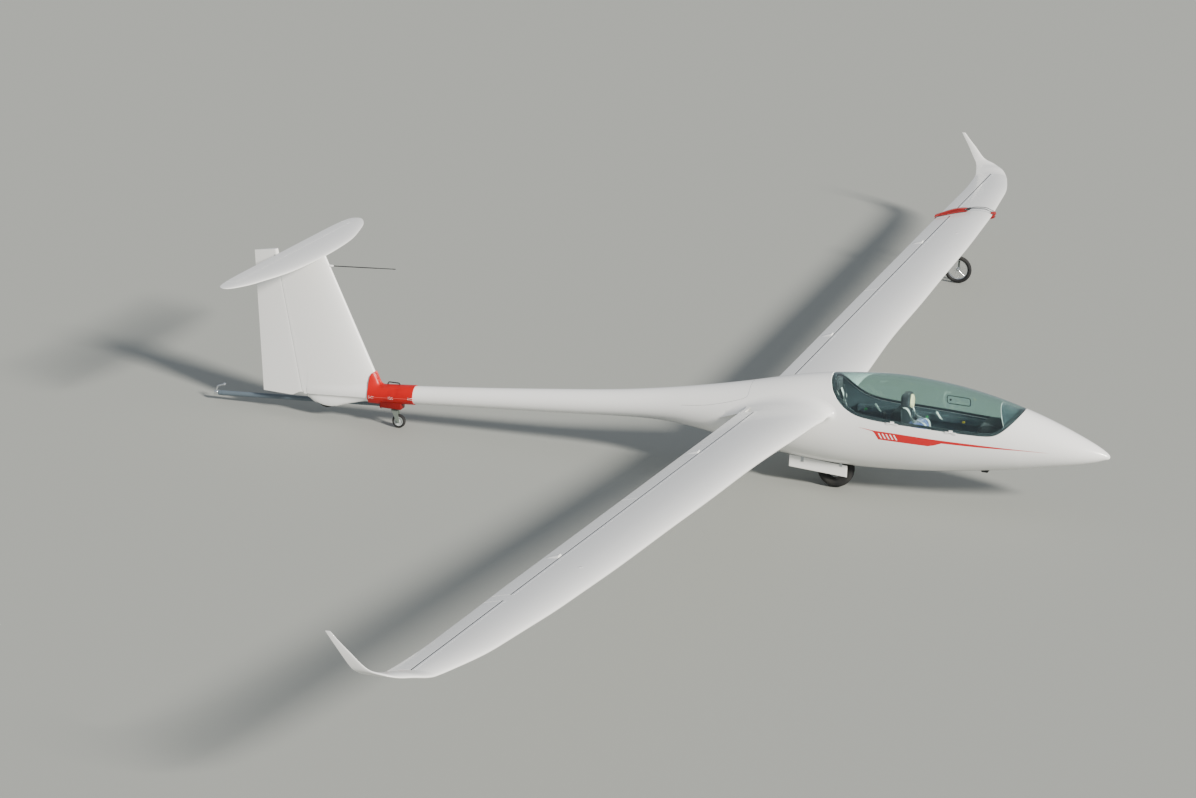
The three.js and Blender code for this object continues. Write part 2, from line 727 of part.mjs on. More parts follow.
function stabSection(y) {
  const reach = Math.abs(y);
  let i = 0;
  while (i < STAB.length - 2 && STAB[i + 1][0] < reach) i += 1;
  const t = (reach - STAB[i][0]) / (STAB[i + 1][0] - STAB[i][0]);
  const [le, te] = [1, 2].map((c) => STAB[i][c] + t * (STAB[i + 1][c] - STAB[i][c]));
  const chord = le - te;
  const half = (x) => {
    const s = Math.min(1, Math.max(0, (le - x) / chord));
    return halfThickness(s) * STAB_THICKNESS * chord + TRAILING_EDGE_HALF * s;
  };
  return { y, le, te, chord, middle: () => STAB_Z, half };
}

const STAB_STATIONS = [...STAB.map((row) => -row[0]).reverse(), ...STAB.slice(1).map((row) => row[0])];
const stabiliserWhole = solidOf(loft(STAB_STATIONS.map((y) => {
  const section = stabSection(y);
  return sectionRing(section, section.te);
})));

function buildStabiliser() {
  const nose = stabSection(0).half(ELEVATOR_HINGE_X) + MOVING_GAP;
  const edge = ELEVATOR_TIP_Y + MOVING_GAP;
  const elevatorCut = solidOf(boxBetween(ELEVATOR_HINGE_X + nose, -5900, -edge, edge, 1500, 1800));
  const pads = [1, -1].flatMap((side) => (
    ELEVATOR_PADS.map((y) => hingePad(stabSection(y), ELEVATOR_HINGE_X, side))
  ));
  const fixed = stabiliserWhole.subtract(elevatorCut);
  addPiece('stabiliser', geometryOf(pads.reduce((whole, pad) => whole.add(pad), fixed)), 'gelcoat');
  const inside = STAB_STATIONS.filter((y) => Math.abs(y) < ELEVATOR_TIP_Y - END_GAP);
  const reach = [-ELEVATOR_TIP_Y, ...inside, ELEVATOR_TIP_Y];
  addPiece('elevator', loft(reach.map((y) => surfaceRing(stabSection(y), ELEVATOR_HINGE_X))), 'gelcoat');
}

function buildCanopy() {
  const outer = fuselageBody(1950, -200, 0);
  const rim = solidOf(sidePlate(inset(canopyOutline, MOVING_GAP), -600, 600));
  const window = solidOf(sidePlate(inset(canopyOutline, MOVING_GAP + FRAME_WIDTH), -600, 600));
  const pane = solidOf(sidePlate(inset(canopyOutline, MOVING_GAP + FRAME_WIDTH + SEAT_GAP), -600, 600));
  const frame = outer.subtract(fuselageBody(1960, -210, -FRAME_DEPTH)).intersect(rim).subtract(window);
  const step = HINGE_BARREL.length / 2;
  const knuckles = CANOPY_HINGE_X.flatMap((x) => hingeKnuckle(x - step, x + step, 1));
  const hinged = knuckles.reduce((whole, next) => whole.add(next), frame);
  addPiece('canopy_frame', geometryOf(hinged), 'frame');
  const glass = outer.subtract(fuselageBody(1960, -210, -GLASS)).intersect(pane);
  addPiece('canopy_glass', geometryOf(glass), 'glass');
}

// Strip of even thickness along a line of points in side view
function stripOutline(line, thickness) {
  const normals = line.map((point, i) => {
    const before = line[Math.max(0, i - 1)];
    const after = line[Math.min(line.length - 1, i + 1)];
    return new THREE.Vector2(-(after[1] - before[1]), after[0] - before[0]).normalize();
  });
  const shifted = line.map(([x, z], i) => [x + normals[i].x * thickness, z + normals[i].y * thickness]);
  return [...line, ...shifted.reverse()];
}

// Seats: back line from its top down to the pan's front edge, in side view
const SEAT_SHELL = 10;
const CUSHION = 46;
const REAR_PAN_Z = WELL.top + SEAT_SHELL + SEAT_GAP;
const SEATS = [
  {
    name: 'front',
    line: [[650, 880], [665, 700], [705, 470], [760, 395], [900, 372], [1180, 400]],
    width: 440,
  },
  {
    name: 'rear',
    line: [[-10, 960], [30, 760], [85, 545], [130, REAR_PAN_Z + 4], [222, REAR_PAN_Z], [450, 486]],
    width: 400,
  },
];
// Headrests stand on the backs' tops: middle x, height of the foot, depth, width, height
const HEADRESTS = [
  ['front_headrest', 658, 880, 76, 220, 150],
  ['rear_headrest', -8, 960, 50, 230, 100],
];

function buildSeats() {
  for (const { name, line, width } of SEATS) {
    const half = width / 2;
    const shell = solidOf(sidePlate(stripOutline(line, -SEAT_SHELL), -half, half));
    addPiece(`${name}_seat`, geometryOf(shell.intersect(roomInside)), 'interior');
    const inner = line.slice(1);
    const padLine = stripOutline(inner, SEAT_GAP).slice(inner.length).reverse();
    const pad = solidOf(sidePlate(stripOutline(padLine, CUSHION), -half + 30, half - 30));
    addPiece(`${name}_cushion`, geometryOf(pad.intersect(roomInside)), 'cushion');
  }
  for (const [name, x, z, depth, width, height] of HEADRESTS) {
    const foot = z + SEAT_GAP;
    const block = boxBetween(x - depth / 2, x + depth / 2, -width / 2, width / 2, foot, foot + height);
    addPiece(name, block, 'black');
  }
}

// Room inside the skin, which trims what is fitted in it
const roomInside = fuselageBody(HOLLOW_FRONT_X, HOLLOW_REAR_X, -SKIN - SEAT_GAP);

// Instrument panels in side view; the front one stands on a pedestal, the rear one hangs on the seat
const FRONT_PANEL = {
  side: [[1420, 560], [1400, 820], [1425, 880], [1480, 890], [1640, 820], [1480, 560]],
  half: 150,
  pedestal: [[1435, 600], [1435, 330], [1500, 330], [1500, 600]],
  pedestalHalf: 55,
};
const REAR_PANEL = {
  side: [[560, 640], [545, 800], [572, 850], [641.9, 850], [654.4, 700], [640, 640]],
  half: 130,
};
// Control sticks: x of the foot, height of the grip's lower end
const STICKS = [
  ['front_stick', 1215, 593],
  ['rear_stick', 500, 690],
];

function buildCockpit() {
  const sillDepth = 62;
  const sillBand = solidOf(boxBetween(120, 1640, -500, 500, 690, 752));
  const core = fuselageBody(HOLLOW_FRONT_X, HOLLOW_REAR_X, -SKIN - sillDepth);
  const sills = roomInside.intersect(sillBand).subtract(core);
  for (const [label, side] of [['left', 1], ['right', -1]]) {
    const half = solidOf(boxBetween(0, 1800, 0, side * 600, 500, 900));
    addPiece(`cockpit_sill_${label}`, geometryOf(sills.intersect(half)), 'interior');
  }
  const bulkheadPlate = solidOf(sidePlate([[-76, 1085], [-64, 1085], [-64, 480], [-76, 480]], -500, 500));
  addPiece('rear_bulkhead', geometryOf(roomInside.intersect(bulkheadPlate)), 'interior');

  const panel = joinAll([
    sidePlate(FRONT_PANEL.side, -FRONT_PANEL.half, FRONT_PANEL.half),
    sidePlate(FRONT_PANEL.pedestal, -FRONT_PANEL.pedestalHalf, FRONT_PANEL.pedestalHalf),
  ]);
  addPiece('front_instrument_panel', geometryOf(panel.intersect(roomInside)), 'black');
  addPiece('rear_instrument_panel', sidePlate(REAR_PANEL.side, -REAR_PANEL.half, REAR_PANEL.half), 'black');

  for (const [name, x, gripZ] of STICKS) {
    const floor = along(FUSELAGE, x, 1) - along(FUSELAGE, x, 3);
    const stick = joinAll([
      rodBetween([x, 0, floor + 20], [x - 30, 0, gripZ + 8], 9),
      rodBetween([x - 28, 0, gripZ], [x - 48, 0, gripZ + 105], 17),
      new THREE.CylinderGeometry(34, 46, 60, 16).rotateX(Math.PI / 2).translate(x, 0, floor + 20),
    ]);
    addPiece(name, geometryOf(stick.intersect(roomInside)), 'black');
  }
}

function buildMainGear() {
  const tub = solidOf(boxBetween(
    WELL.rear - WELL.wall, WELL.front + WELL.wall,
    -WELL.halfWidth - WELL.wall, WELL.halfWidth + WELL.wall, 180, WELL.top,
  ));
  const room = solidOf(boxBetween(
    WELL.rear, WELL.front, -WELL.halfWidth, WELL.halfWidth, 100, WELL.top - WELL.wall,
  ));
  const well = tub.subtract(room).intersect(roomInside);
  addPiece('wheel_well', geometryOf(well), 'interior');

  const { x, radius, width, rim } = MAIN_WHEEL;
  const half = width / 2;
  addPiece('main_tyre', turned([
    [rim + SEAT_GAP, -half + 22],
    [rim + 24, -half + 6],
    [radius - 42, -half],
    [radius - 14, -half + 14],
    [radius, -14],
    [radius, 14],
    [radius - 14, half - 14],
    [radius - 42, half],
    [rim + 24, half - 6],
    [rim + SEAT_GAP, half - 22],
    [rim + SEAT_GAP, -half + 22],
  ], 24, [x, 0, radius]), 'tyre');
  addPiece('main_wheel_rim', turned([
    [0, -30],
    [30, -30],
    [34, -16],
    [rim - 14, -20],
    [rim - 8, -half + 20],
    [rim, -half + 20],
    [rim, half - 20],
    [rim - 8, half - 20],
    [rim - 14, 20],
    [34, 16],
    [30, 30],
    [0, 30],
  ], 24, [x, 0, radius]), 'aluminium');

  const armY = half + 22;
  const yokeTop = WELL.top - WELL.wall - SEAT_GAP;
  const parts = [-1, 1].map((side) => (
    rodBetween([x, side * armY, radius], [x - 60, side * armY, yokeTop - 24], 13)
  ));
  parts.push(rodBetween([x, -armY - 14, radius], [x, -30 - SEAT_GAP, radius], 12));
  parts.push(rodBetween([x, 30 + SEAT_GAP, radius], [x, armY + 14, radius], 12));
  parts.push(boxBetween(x - 100, x - 20, -armY - 20, armY + 20, yokeTop - 40, yokeTop));
  addPiece('gear_yoke', geometryOf(joinAll(parts)), 'steel');

  for (const [label, side] of [['left', 1], ['right', -1]]) {
    const y = side * (WELL.halfWidth - 2);
    const leafY = side * (WELL.halfWidth - SEAT_GAP);
    const door = joinAll([
      sidePlate(DOOR_SIDE, y, y - side * DOOR.thickness),
      ...DOOR.hinges.map((x0) => (
        boxBetween(x0, x0 + 30, y - side * DOOR.thickness, leafY, DOOR.leafLow, DOOR.leafTop)
      )),
    ]);
    addPiece(`gear_door_${label}`, geometryOf(door), 'gelcoat');
  }
}

function buildDolly() {
  const around = fuselageBody(DOLLY.front, DOLLY.rear - 100, DOLLY.wall);
  const boomClear = fuselageBody(-4200, -4900, SEAT_GAP);
  const hump = solidOf(loft([320, 560, 640].map((z) => finRing(z).map((p) => (
    new THREE.Vector3(p.x + DOLLY.wall * 1.6, p.y + Math.sign(p.y) * DOLLY.wall, z)
  )))));
  const profile = solidOf(sidePlate(DOLLY_SIDE, -300, 300));
  const shell = around.add(hump).intersect(profile).subtract(boomClear);
  const clear = solidOf(loft([310, 560, 660].map((z) => finRing(z).map((p) => (
    new THREE.Vector3(p.x + SEAT_GAP * 2, p.y + Math.sign(p.y) * SEAT_GAP, z)
  )))));
  addPiece('dolly_shell', geometryOf(shell.subtract(clear)), 'red');

  const keelTop = along(FUSELAGE, CASTER.swivelX, 1) - along(FUSELAGE, CASTER.swivelX, 3) - DOLLY.wall;
  const keel = solidOf(boxBetween(-4650, -4420, -58, 58, CASTER.topZ, keelTop + 40))
    .subtract(fuselageBody(-4200, -4900, DOLLY.wall + SEAT_GAP));
  addPiece('dolly_keel', geometryOf(keel), 'red');

  const handle = joinAll([
    boxBetween(-4577, -4565, -9, 9, HANDLE_TOP - 50, HANDLE_TOP),
    boxBetween(-4465, -4453, -9, 9, HANDLE_TOP - 50, HANDLE_TOP),
    boxBetween(-4577, -4453, -9, 9, HANDLE_TOP - 12, HANDLE_TOP),
  ]).subtract(fuselageBody(-4200, -4900, DOLLY.wall + SEAT_GAP));
  addPiece('dolly_handle', geometryOf(handle), 'black');

  const { swivelX, wheelX, radius, width, topZ } = CASTER;
  const cheek = width / 2 + MOVING_GAP;
  const fork = [
    rodBetween([swivelX, 0, topZ - 12 - SEAT_GAP], [swivelX, 0, topZ - SEAT_GAP], 22, 20),
    boxBetween(swivelX - 26, swivelX + 40, -cheek - 6, cheek + 6, topZ - 26, topZ - 10),
  ];
  for (const side of [-1, 1]) {
    const y = side * (cheek + 3);
    fork.push(sidePlate([
      [swivelX - 26, topZ - 12],
      [wheelX - 14, radius - 12],
      [wheelX + 14, radius - 12],
      [swivelX + 40, topZ - 12],
    ], y - 3, y + 3));
  }
  addPiece('caster_fork', geometryOf(joinAll(fork)), 'steel');
  const half = width / 2;
  const hub = cheek - SEAT_GAP;
  addPiece('caster_wheel', turned([
    [0, -hub],
    [10, -hub],
    [10, -half],
    [radius - 20, -half],
    [radius, -half + 10],
    [radius, half - 10],
    [radius - 20, half],
    [10, half],
    [10, hub],
    [0, hub],
  ], 20, [wheelX, 0, radius]), 'tyre');

  const bar = TOW_BAR;
  const barPieces = [
    rodBetween([bar.frontX, bar.y, bar.frontZ], [bar.rearX, bar.y, bar.rearZ], bar.radius, 16),
    boxBetween(bar.frontX - 20, bar.frontX + 30, 58 + SEAT_GAP, bar.y + 8, bar.frontZ - 14, bar.frontZ + 14),
  ];
  addPiece('tow_bar', geometryOf(joinAll(barPieces)), 'aluminium');
  // The bar's rear end is square to the bar, so it leans past rearX by its slope
  const slope = (bar.frontZ - bar.rearZ) / (bar.frontX - bar.rearX);
  const headX = bar.rearX - bar.radius * slope - SEAT_GAP;
  const head = [
    boxBetween(bar.rearX - 52, headX, bar.y - 24, bar.y + 24, bar.rearZ - 26, bar.rearZ + 22),
    rodBetween([bar.rearX - 26, bar.y, bar.rearZ], [bar.rearX - 16, bar.y, bar.rearZ + 66], 9),
    rodBetween([bar.rearX - 10, bar.y, bar.rearZ + 62], [bar.rearX + 70, bar.y, bar.rearZ + 100], 10),
  ];
  addPiece('tow_coupling', geometryOf(joinAll(head)), 'steel');
}

// Station of the wing under the clamp at x
function clampStation(x) {
  return CLAMP_Y + CLAMP_SKEW * (x - CLAMP_PIVOT_X);
}

function askew(geometry) {
  const shear = new THREE.Matrix4().makeShear(CLAMP_SKEW, 0, 0, 0, 0, 0);
  return geometry.applyMatrix4(shear.setPosition(0, -CLAMP_SKEW * CLAMP_PIVOT_X, 0));
}

function buildWingWheel() {
  const top = (x) => wingSection(clampStation(x)).middle(x) + wingSection(clampStation(x)).half(x);
  const low = (x) => wingSection(clampStation(x)).middle(x) - wingSection(clampStation(x)).half(x);
  const nose = wingSection(clampStation(wingSection(CLAMP_Y).le));
  const tail = wingSection(clampStation(wingSection(CLAMP_Y).te));
  const gap = 4;
  const frontX = nose.le + 30;
  const rearX = tail.te - 26;
  const y0 = CLAMP_Y - CLAMP_HALF;
  const y1 = CLAMP_Y + CLAMP_HALF;
  const cradleLine = [0.97, 0.8, 0.62, 0.44, 0.28, 0.15, 0.06].map((s) => {
    const x = nose.le - s * (nose.le - tail.te);
    return [x, low(x) + CRADLE.bite];
  });
  const noseZ = nose.middle(nose.le);
  cradleLine.unshift([rearX, low(tail.te) - gap], [tail.te - 4, low(tail.te) - gap]);
  cradleLine.push([nose.le - 8, noseZ - 30]);
  cradleLine.push([frontX, noseZ - 16]);
  const inner = panelSolids.wing_inner_left;
  const wing = inner.add(inner.translate([0, 2 * SEAT_GAP, 0])).add(panelSolids.wing_outer_left);
  const cradle = [[0, -1], [1, -1], [-1, -1], [0, 0]].reduce(
    (rest, [dx, dz]) => rest.subtract(wing.translate([dx * SEAT_GAP, 0, dz * SEAT_GAP])),
    solidOf(askew(sidePlate(stripOutline(cradleLine, -CRADLE.depth), y0, y1))),
  );
  addPiece('clamp_cradle', geometryOf(cradle), 'red');
  const cap = sidePlate([
    [nose.le + 3, noseZ - 16 + SEAT_GAP],
    [frontX, noseZ - 16 + SEAT_GAP],
    [frontX + 10, noseZ + 6],
    [frontX + 2, noseZ + 34],
    [frontX - 12, noseZ + 44],
    [nose.le + 3, noseZ + 44],
  ], y0 + 6, y1 - 6);
  addPiece('clamp_nose_cap', askew(cap), 'red');
  const { bow, rodRadius, rodY, strapEnd } = CLAMP_TOP;
  const rods = [-rodY, rodY].map((dy) => {
    const path = [
      [nose.le + 6, noseZ + 44 + rodRadius + SEAT_GAP],
      [nose.le - 40, top(nose.le - 40) + 0.8 * bow],
      [-340, top(-340) + bow],
      [-430, top(-430) + bow],
      [strapEnd - 10, top(strapEnd - 10) + bow],
    ].map(([x, z]) => [x, clampStation(x) + dy, z]);
    return joinAll(path.slice(1).map((point, i) => rodBetween(path[i], point, rodRadius, 8)));
  });
  const strapTop = [
    [rearX, low(tail.te) - gap + SEAT_GAP],
    [rearX, top(tail.te) + 12],
    [-740, top(-740) + bow],
    [-672, top(-672) + bow + 6],
    [strapEnd, top(strapEnd) + bow + 8],
    [strapEnd, top(strapEnd) + bow - 6],
    [-672, top(-672) + bow - 10],
    [-740, top(-740) + bow - 16],
    [tail.te - 8, top(tail.te) + 6],
    [tail.te - 8, low(tail.te) - gap + SEAT_GAP],
  ];
  const strap = rods[0].add(rods[1]).add(solidOf(askew(sidePlate(strapTop, y0, y1))));
  addPiece('clamp_top_strap', geometryOf(strap), 'red');

  const { x, y, radius, tyre, hubHalf } = WING_WHEEL;
  const strutY = y + hubHalf + MOVING_GAP + 10;
  const cradleLow = low(x) + CRADLE.bite - CRADLE.depth;
  const headY = clampStation(x);
  const headMiddle = new THREE.Vector3(x, headY, cradleLow - 8);
  headMiddle.applyAxisAngle(new THREE.Vector3(1, 0, 0), BANK);
  const headBlock = boxBetween(x - 45, x + 45, headY - 24, headY + 24, cradleLow - 16, cradleLow + 8);
  const head = solidOf(headBlock)
    .subtract(cradle)
    .subtract(cradle.translate([0, 0, -SEAT_GAP]))
    .rotate([THREE.MathUtils.radToDeg(BANK), 0, 0]);
  const strut = joinAll([
    rodBetween([x, strutY, radius - 14], [x, headMiddle.y, headMiddle.z], 12),
    rodBetween([x, y + hubHalf + MOVING_GAP, radius], [x, strutY + 8, radius], 9),
    rodBetween([x, y - hubHalf - 4, radius], [x, strutY, radius], 6),
  ]).add(head);
  addPiece('wing_wheel_strut', geometryOf(strut), 'steel', ground);

  const rimRadius = radius - 2 * tyre + 4;
  const ring = Array.from({ length: 10 }, (_, i) => {
    const turn = (i / 10) * 2 * Math.PI;
    return [radius - tyre + tyre * Math.cos(turn), tyre * Math.sin(turn)];
  });
  ring.push(ring[0]);
  const centre = [x, y, radius];
  const bore = rimRadius + SEAT_GAP;
  const rimCut = solidOf(turned([[0, -12], [bore, -12], [bore, 12], [0, 12]], 24, centre));
  const tyreSolid = solidOf(turned(ring, 24, centre)).subtract(rimCut);
  addPiece('wing_wheel_tyre', geometryOf(tyreSolid), 'tyre', ground);
  const hub = { inner: 6.4, outer: 20 };
  const spokes = [turned([
    [rimRadius - 8, -9],
    [rimRadius, -11],
    [rimRadius, 11],
    [rimRadius - 8, 9],
    [rimRadius - 8, -9],
  ], 24, centre)];
  spokes.push(turned([
    [hub.inner, -hubHalf],
    [hub.outer, -hubHalf],
    [hub.outer, hubHalf],
    [hub.inner, hubHalf],
    [hub.inner, -hubHalf],
  ], 16, centre));
  for (let i = 0; i < 8; i += 1) {
    const turn = (i / 8) * 2 * Math.PI;
    const at = (r, dy) => [x + r * Math.cos(turn), y + dy, radius + r * Math.sin(turn)];
    spokes.push(rodBetween(at(16, (i % 2 ? 1 : -1) * 16), at(rimRadius - 4, 0), 2.5, 6));
  }
  addPiece('wing_wheel_rim', geometryOf(joinAll(spokes)), 'steel', ground);
}

function buildProbe() {
  const { rootZ, tip, radius } = PROBE;
  const foot = [lineX(FIN_LE, rootZ) + 0.5 * radius + SEAT_GAP, 0, rootZ];
  addPiece('fin_probe', rodBetween(foot, tip, radius, 8), 'black');
}

buildFuselage();
buildTail();
buildStabiliser();
buildWing(1, 'left');
buildWing(-1, 'right');
buildCanopy();
buildSeats();
buildCockpit();
buildMainGear();
buildDolly();
buildWingWheel();
buildProbe();

export default ground;
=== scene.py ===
"""Two-seat sailplane, parked on its main wheel with a tail dolly, a tow bar and a wheel under the left wing.

The sections follow the glider as it is put together. Metres; +X to the nose, +Y to the left wing, +Z up.
"""
import json
import math

import bmesh
import bpy
import numpy as np
from mathutils import Matrix

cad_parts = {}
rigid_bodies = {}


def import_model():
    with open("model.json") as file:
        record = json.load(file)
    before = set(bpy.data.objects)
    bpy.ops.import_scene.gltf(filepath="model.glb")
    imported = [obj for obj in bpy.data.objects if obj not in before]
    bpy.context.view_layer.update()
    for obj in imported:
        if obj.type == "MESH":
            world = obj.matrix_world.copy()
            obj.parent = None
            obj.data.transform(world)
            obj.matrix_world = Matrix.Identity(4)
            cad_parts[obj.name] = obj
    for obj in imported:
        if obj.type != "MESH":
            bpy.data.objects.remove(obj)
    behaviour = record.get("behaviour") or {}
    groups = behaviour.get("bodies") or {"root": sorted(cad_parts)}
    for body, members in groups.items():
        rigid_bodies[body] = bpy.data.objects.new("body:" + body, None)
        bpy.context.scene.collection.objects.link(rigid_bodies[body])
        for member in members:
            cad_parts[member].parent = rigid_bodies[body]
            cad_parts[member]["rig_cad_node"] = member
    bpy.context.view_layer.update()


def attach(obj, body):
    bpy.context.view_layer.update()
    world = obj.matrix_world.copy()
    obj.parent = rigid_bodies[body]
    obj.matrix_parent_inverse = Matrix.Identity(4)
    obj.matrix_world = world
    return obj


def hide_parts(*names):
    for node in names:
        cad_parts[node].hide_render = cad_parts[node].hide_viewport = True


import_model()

# Camera
# A long lens from a low hill ahead of the right wing, rolled by a degree and a half as the photograph is.
CAMERA_PLACE = (10.034, -32.524, 11.458)
CAMERA_YAW = 1.884
CAMERA_PITCH = 0.309
CAMERA_ROLL = 0.031
CAMERA_LENS = 111.0

ahead = np.array([
    math.cos(CAMERA_PITCH) * math.cos(CAMERA_YAW),
    math.cos(CAMERA_PITCH) * math.sin(CAMERA_YAW),
    -math.sin(CAMERA_PITCH),
])
level_right = np.array([math.sin(CAMERA_YAW), -math.cos(CAMERA_YAW), 0.0])
level_up = np.cross(level_right, ahead)
right = math.cos(CAMERA_ROLL) * level_right + math.sin(CAMERA_ROLL) * level_up
up = math.cos(CAMERA_ROLL) * level_up - math.sin(CAMERA_ROLL) * level_right
lens = bpy.data.cameras.new("camera")
lens.lens = CAMERA_LENS
lens.sensor_width = 36.0
lens.clip_end = 300.0
camera = bpy.data.objects.new("camera", lens)
bpy.context.scene.collection.objects.link(camera)
camera_rows = [[right[i], up[i], -ahead[i], CAMERA_PLACE[i]] for i in range(3)]
camera.matrix_world = Matrix(camera_rows + [[0, 0, 0, 1]])
bpy.context.scene.camera = camera


# Studio floor and light
# A matt pale floor. One wide lamp stands where the sun was, and the room's walls give back soft light.
def linear(code):
    """An sRGB hex colour as linear red, green, blue and alpha."""
    parts = [int(code[i:i + 2], 16) / 255 for i in (1, 3, 5)]
    return tuple(c / 12.92 if c <= 0.04045 else ((c + 0.055) / 1.055) ** 2.4 for c in parts) + (1.0,)


def node(tree, kind, settings=(), **links):
    """Adds a node. Settings are (input or property, value); links are input=output, with _ for a space."""
    made = tree.nodes.new(kind)
    for name, value in settings:
        if isinstance(name, str) and hasattr(made, name):
            setattr(made, name, value)
        else:
            made.inputs[name].default_value = value
    for name, source in links.items():
        tree.links.new(source, made.inputs[name.replace("_", " ")])
    return made


def material(name, colour, roughness, metallic=0.0, ior=1.45, coat=0.0):
    """A material with one shader. Returns it with its node tree and the shader, for the section to add to."""
    made = bpy.data.materials.new(name)
    made.use_nodes = True
    tree = made.node_tree
    shader = tree.nodes["Principled BSDF"]
    shader.inputs["Base Color"].default_value = linear(colour)
    shader.inputs["Roughness"].default_value = roughness
    shader.inputs["Metallic"].default_value = metallic
    if not metallic:
        shader.inputs["IOR"].default_value = ior
    shader.inputs["Coat Weight"].default_value = coat
    made.diffuse_color = linear(colour)
    return made, tree, shader


FLOOR_HALF = 120.0
FLOOR_Z = -0.002
floor_paint, floor_tree, floor_shader = material("studio_floor", "#9b9d97", 0.75)
floor_mesh = bpy.data.meshes.new("floor")
floor_corners = [(-1, -1), (1, -1), (1, 1), (-1, 1)]
floor_mesh.from_pydata([(x * FLOOR_HALF, y * FLOOR_HALF, FLOOR_Z) for x, y in floor_corners], [],
    [(0, 1, 2, 3)])
floor_mesh.materials.append(floor_paint)
floor = bpy.data.objects.new("floor", floor_mesh)
bpy.context.scene.collection.objects.link(floor)

room = bpy.data.worlds.new("room")
room.use_nodes = True
room.node_tree.nodes["Background"].inputs["Color"].default_value = linear("#e0e8f4")
room.node_tree.nodes["Background"].inputs["Strength"].default_value = 0.55
bpy.context.scene.world = room

SUN_FROM = np.array([1.647, -0.896, 1.0])
SUN_STRENGTH = 7.5
SUN_SPREAD = math.radians(9)
lamp = bpy.data.lights.new("key_lamp", "SUN")
lamp.energy = SUN_STRENGTH
lamp.angle = SUN_SPREAD
lamp.color = (1.0, 0.955, 0.89)
key_lamp = bpy.data.objects.new("key_lamp", lamp)
bpy.context.scene.collection.objects.link(key_lamp)
aim = SUN_FROM / np.linalg.norm(SUN_FROM)
side = np.cross([0, 0, 1], aim)
side /= np.linalg.norm(side)
top = np.cross(aim, side)
key_lamp.matrix_world = Matrix([[side[i], top[i], aim[i], 10 * aim[i]] for i in range(3)] + [[0, 0, 0, 1]])


# Fuselage
# A glass-fibre shell moulded in two halves, white polyester gelcoat outside and grey paint inside.
# The cockpit is open at the top, where the canopy sits, and at the bottom, where the wheel comes out.
BANK = -0.039
FRAME_SHIFT = np.array([1.910, -0.060, 0.0])
FUSELAGE = np.array([
    # x, height of the middle, half width, half height
    [2.632, 0.634, 0.003, 0.003],
    [2.630, 0.6345, 0.0105, 0.010],
    [2.618, 0.637, 0.026, 0.024],
    [2.575, 0.644, 0.050, 0.047],
    [2.500, 0.651, 0.086, 0.081],
    [2.300, 0.668, 0.160, 0.151],
    [2.050, 0.690, 0.226, 0.225],
    [1.800, 0.706, 0.277, 0.289],
    [1.540, 0.719, 0.315, 0.345],
    [1.170, 0.726, 0.350, 0.407],
    [0.850, 0.723, 0.365, 0.442],
    [0.550, 0.717, 0.370, 0.459],
    [0.200, 0.696, 0.370, 0.452],
    [-0.080, 0.682, 0.365, 0.433],
    [-0.330, 0.668, 0.350, 0.402],
    [-0.600, 0.652, 0.320, 0.354],
    [-0.900, 0.634, 0.275, 0.296],
    [-1.250, 0.622, 0.220, 0.229],
    [-1.500, 0.612, 0.185, 0.188],
    [-1.750, 0.596, 0.155, 0.157],
    [-2.200, 0.550, 0.130, 0.130],
    [-2.730, 0.497, 0.116, 0.117],
    [-3.500, 0.426, 0.100, 0.101],
    [-4.290, 0.357, 0.091, 0.091],
    [-4.820, 0.318, 0.083, 0.084],
    [-5.250, 0.292, 0.060, 0.062],
    [-5.438, 0.281, 0.036, 0.043],
])
CANOPY_EDGE = np.array([
    # x, z in side view, from the rear arch along the rail to the front arch
    [-0.078, 1.150],
    [-0.016, 1.033],
    [0.087, 0.916],
    [0.214, 0.839],
    [0.390, 0.803],
    [0.854, 0.781],
    [1.219, 0.770],
    [1.500, 0.768],
    [1.585, 0.785],
    [1.657, 0.830],
    [1.757, 0.931],
    [1.822, 1.012],
])
SKIN = 0.012
HOLLOW = (-0.56, 2.40)
WELL = {"front": 0.212, "rear": -0.425, "half_width": 0.132}
HULL_REAR = -4.60
SIDE_COLUMNS = 44
KEEL_COLUMNS = 14


def spline(rows, count=None, at=None):
    """Smooth curve through rows of numbers: at given places from 0 to 1 along it, or evenly spaced."""
    rows = np.asarray(rows, float)
    flat = rows.reshape(len(rows), -1)
    steps = np.maximum(np.linalg.norm(np.diff(flat, axis=0), axis=1), 1e-9) ** 0.5
    knots = np.concatenate([[0], np.cumsum(steps)])
    gaps = np.diff(knots)
    size = len(rows)
    system, slopes = np.eye(size), np.zeros_like(flat)
    for i in range(1, size - 1):
        system[i, i - 1:i + 2] = gaps[i - 1], 2 * (gaps[i - 1] + gaps[i]), gaps[i]
        slopes[i] = 6 * ((flat[i + 1] - flat[i]) / gaps[i] - (flat[i] - flat[i - 1]) / gaps[i - 1])
    bends = np.linalg.solve(system, slopes)
    places = (np.linspace(0, 1, count) if at is None else np.asarray(at, float)) * knots[-1]
    i = np.clip(np.searchsorted(knots, places, side="right") - 1, 0, size - 2)
    gap, past = gaps[i, None], (places - knots[i])[:, None]
    left = gap - past
    value = (bends[i] * left ** 3 + bends[i + 1] * past ** 3) / (6 * gap)
    value += (flat[i] / gap - bends[i] * gap / 6) * left + (flat[i + 1] / gap - bends[i + 1] * gap / 6) * past
    return value.reshape((len(places),) + rows.shape[1:])


hull_lines = spline(FUSELAGE, 6000)[::-1]


def hull_at(x):
    """Height of the fuselage's middle, its half width and its half height at x."""
    return [np.interp(x, hull_lines[:, 0], hull_lines[:, c]) for c in (1, 2, 3)]


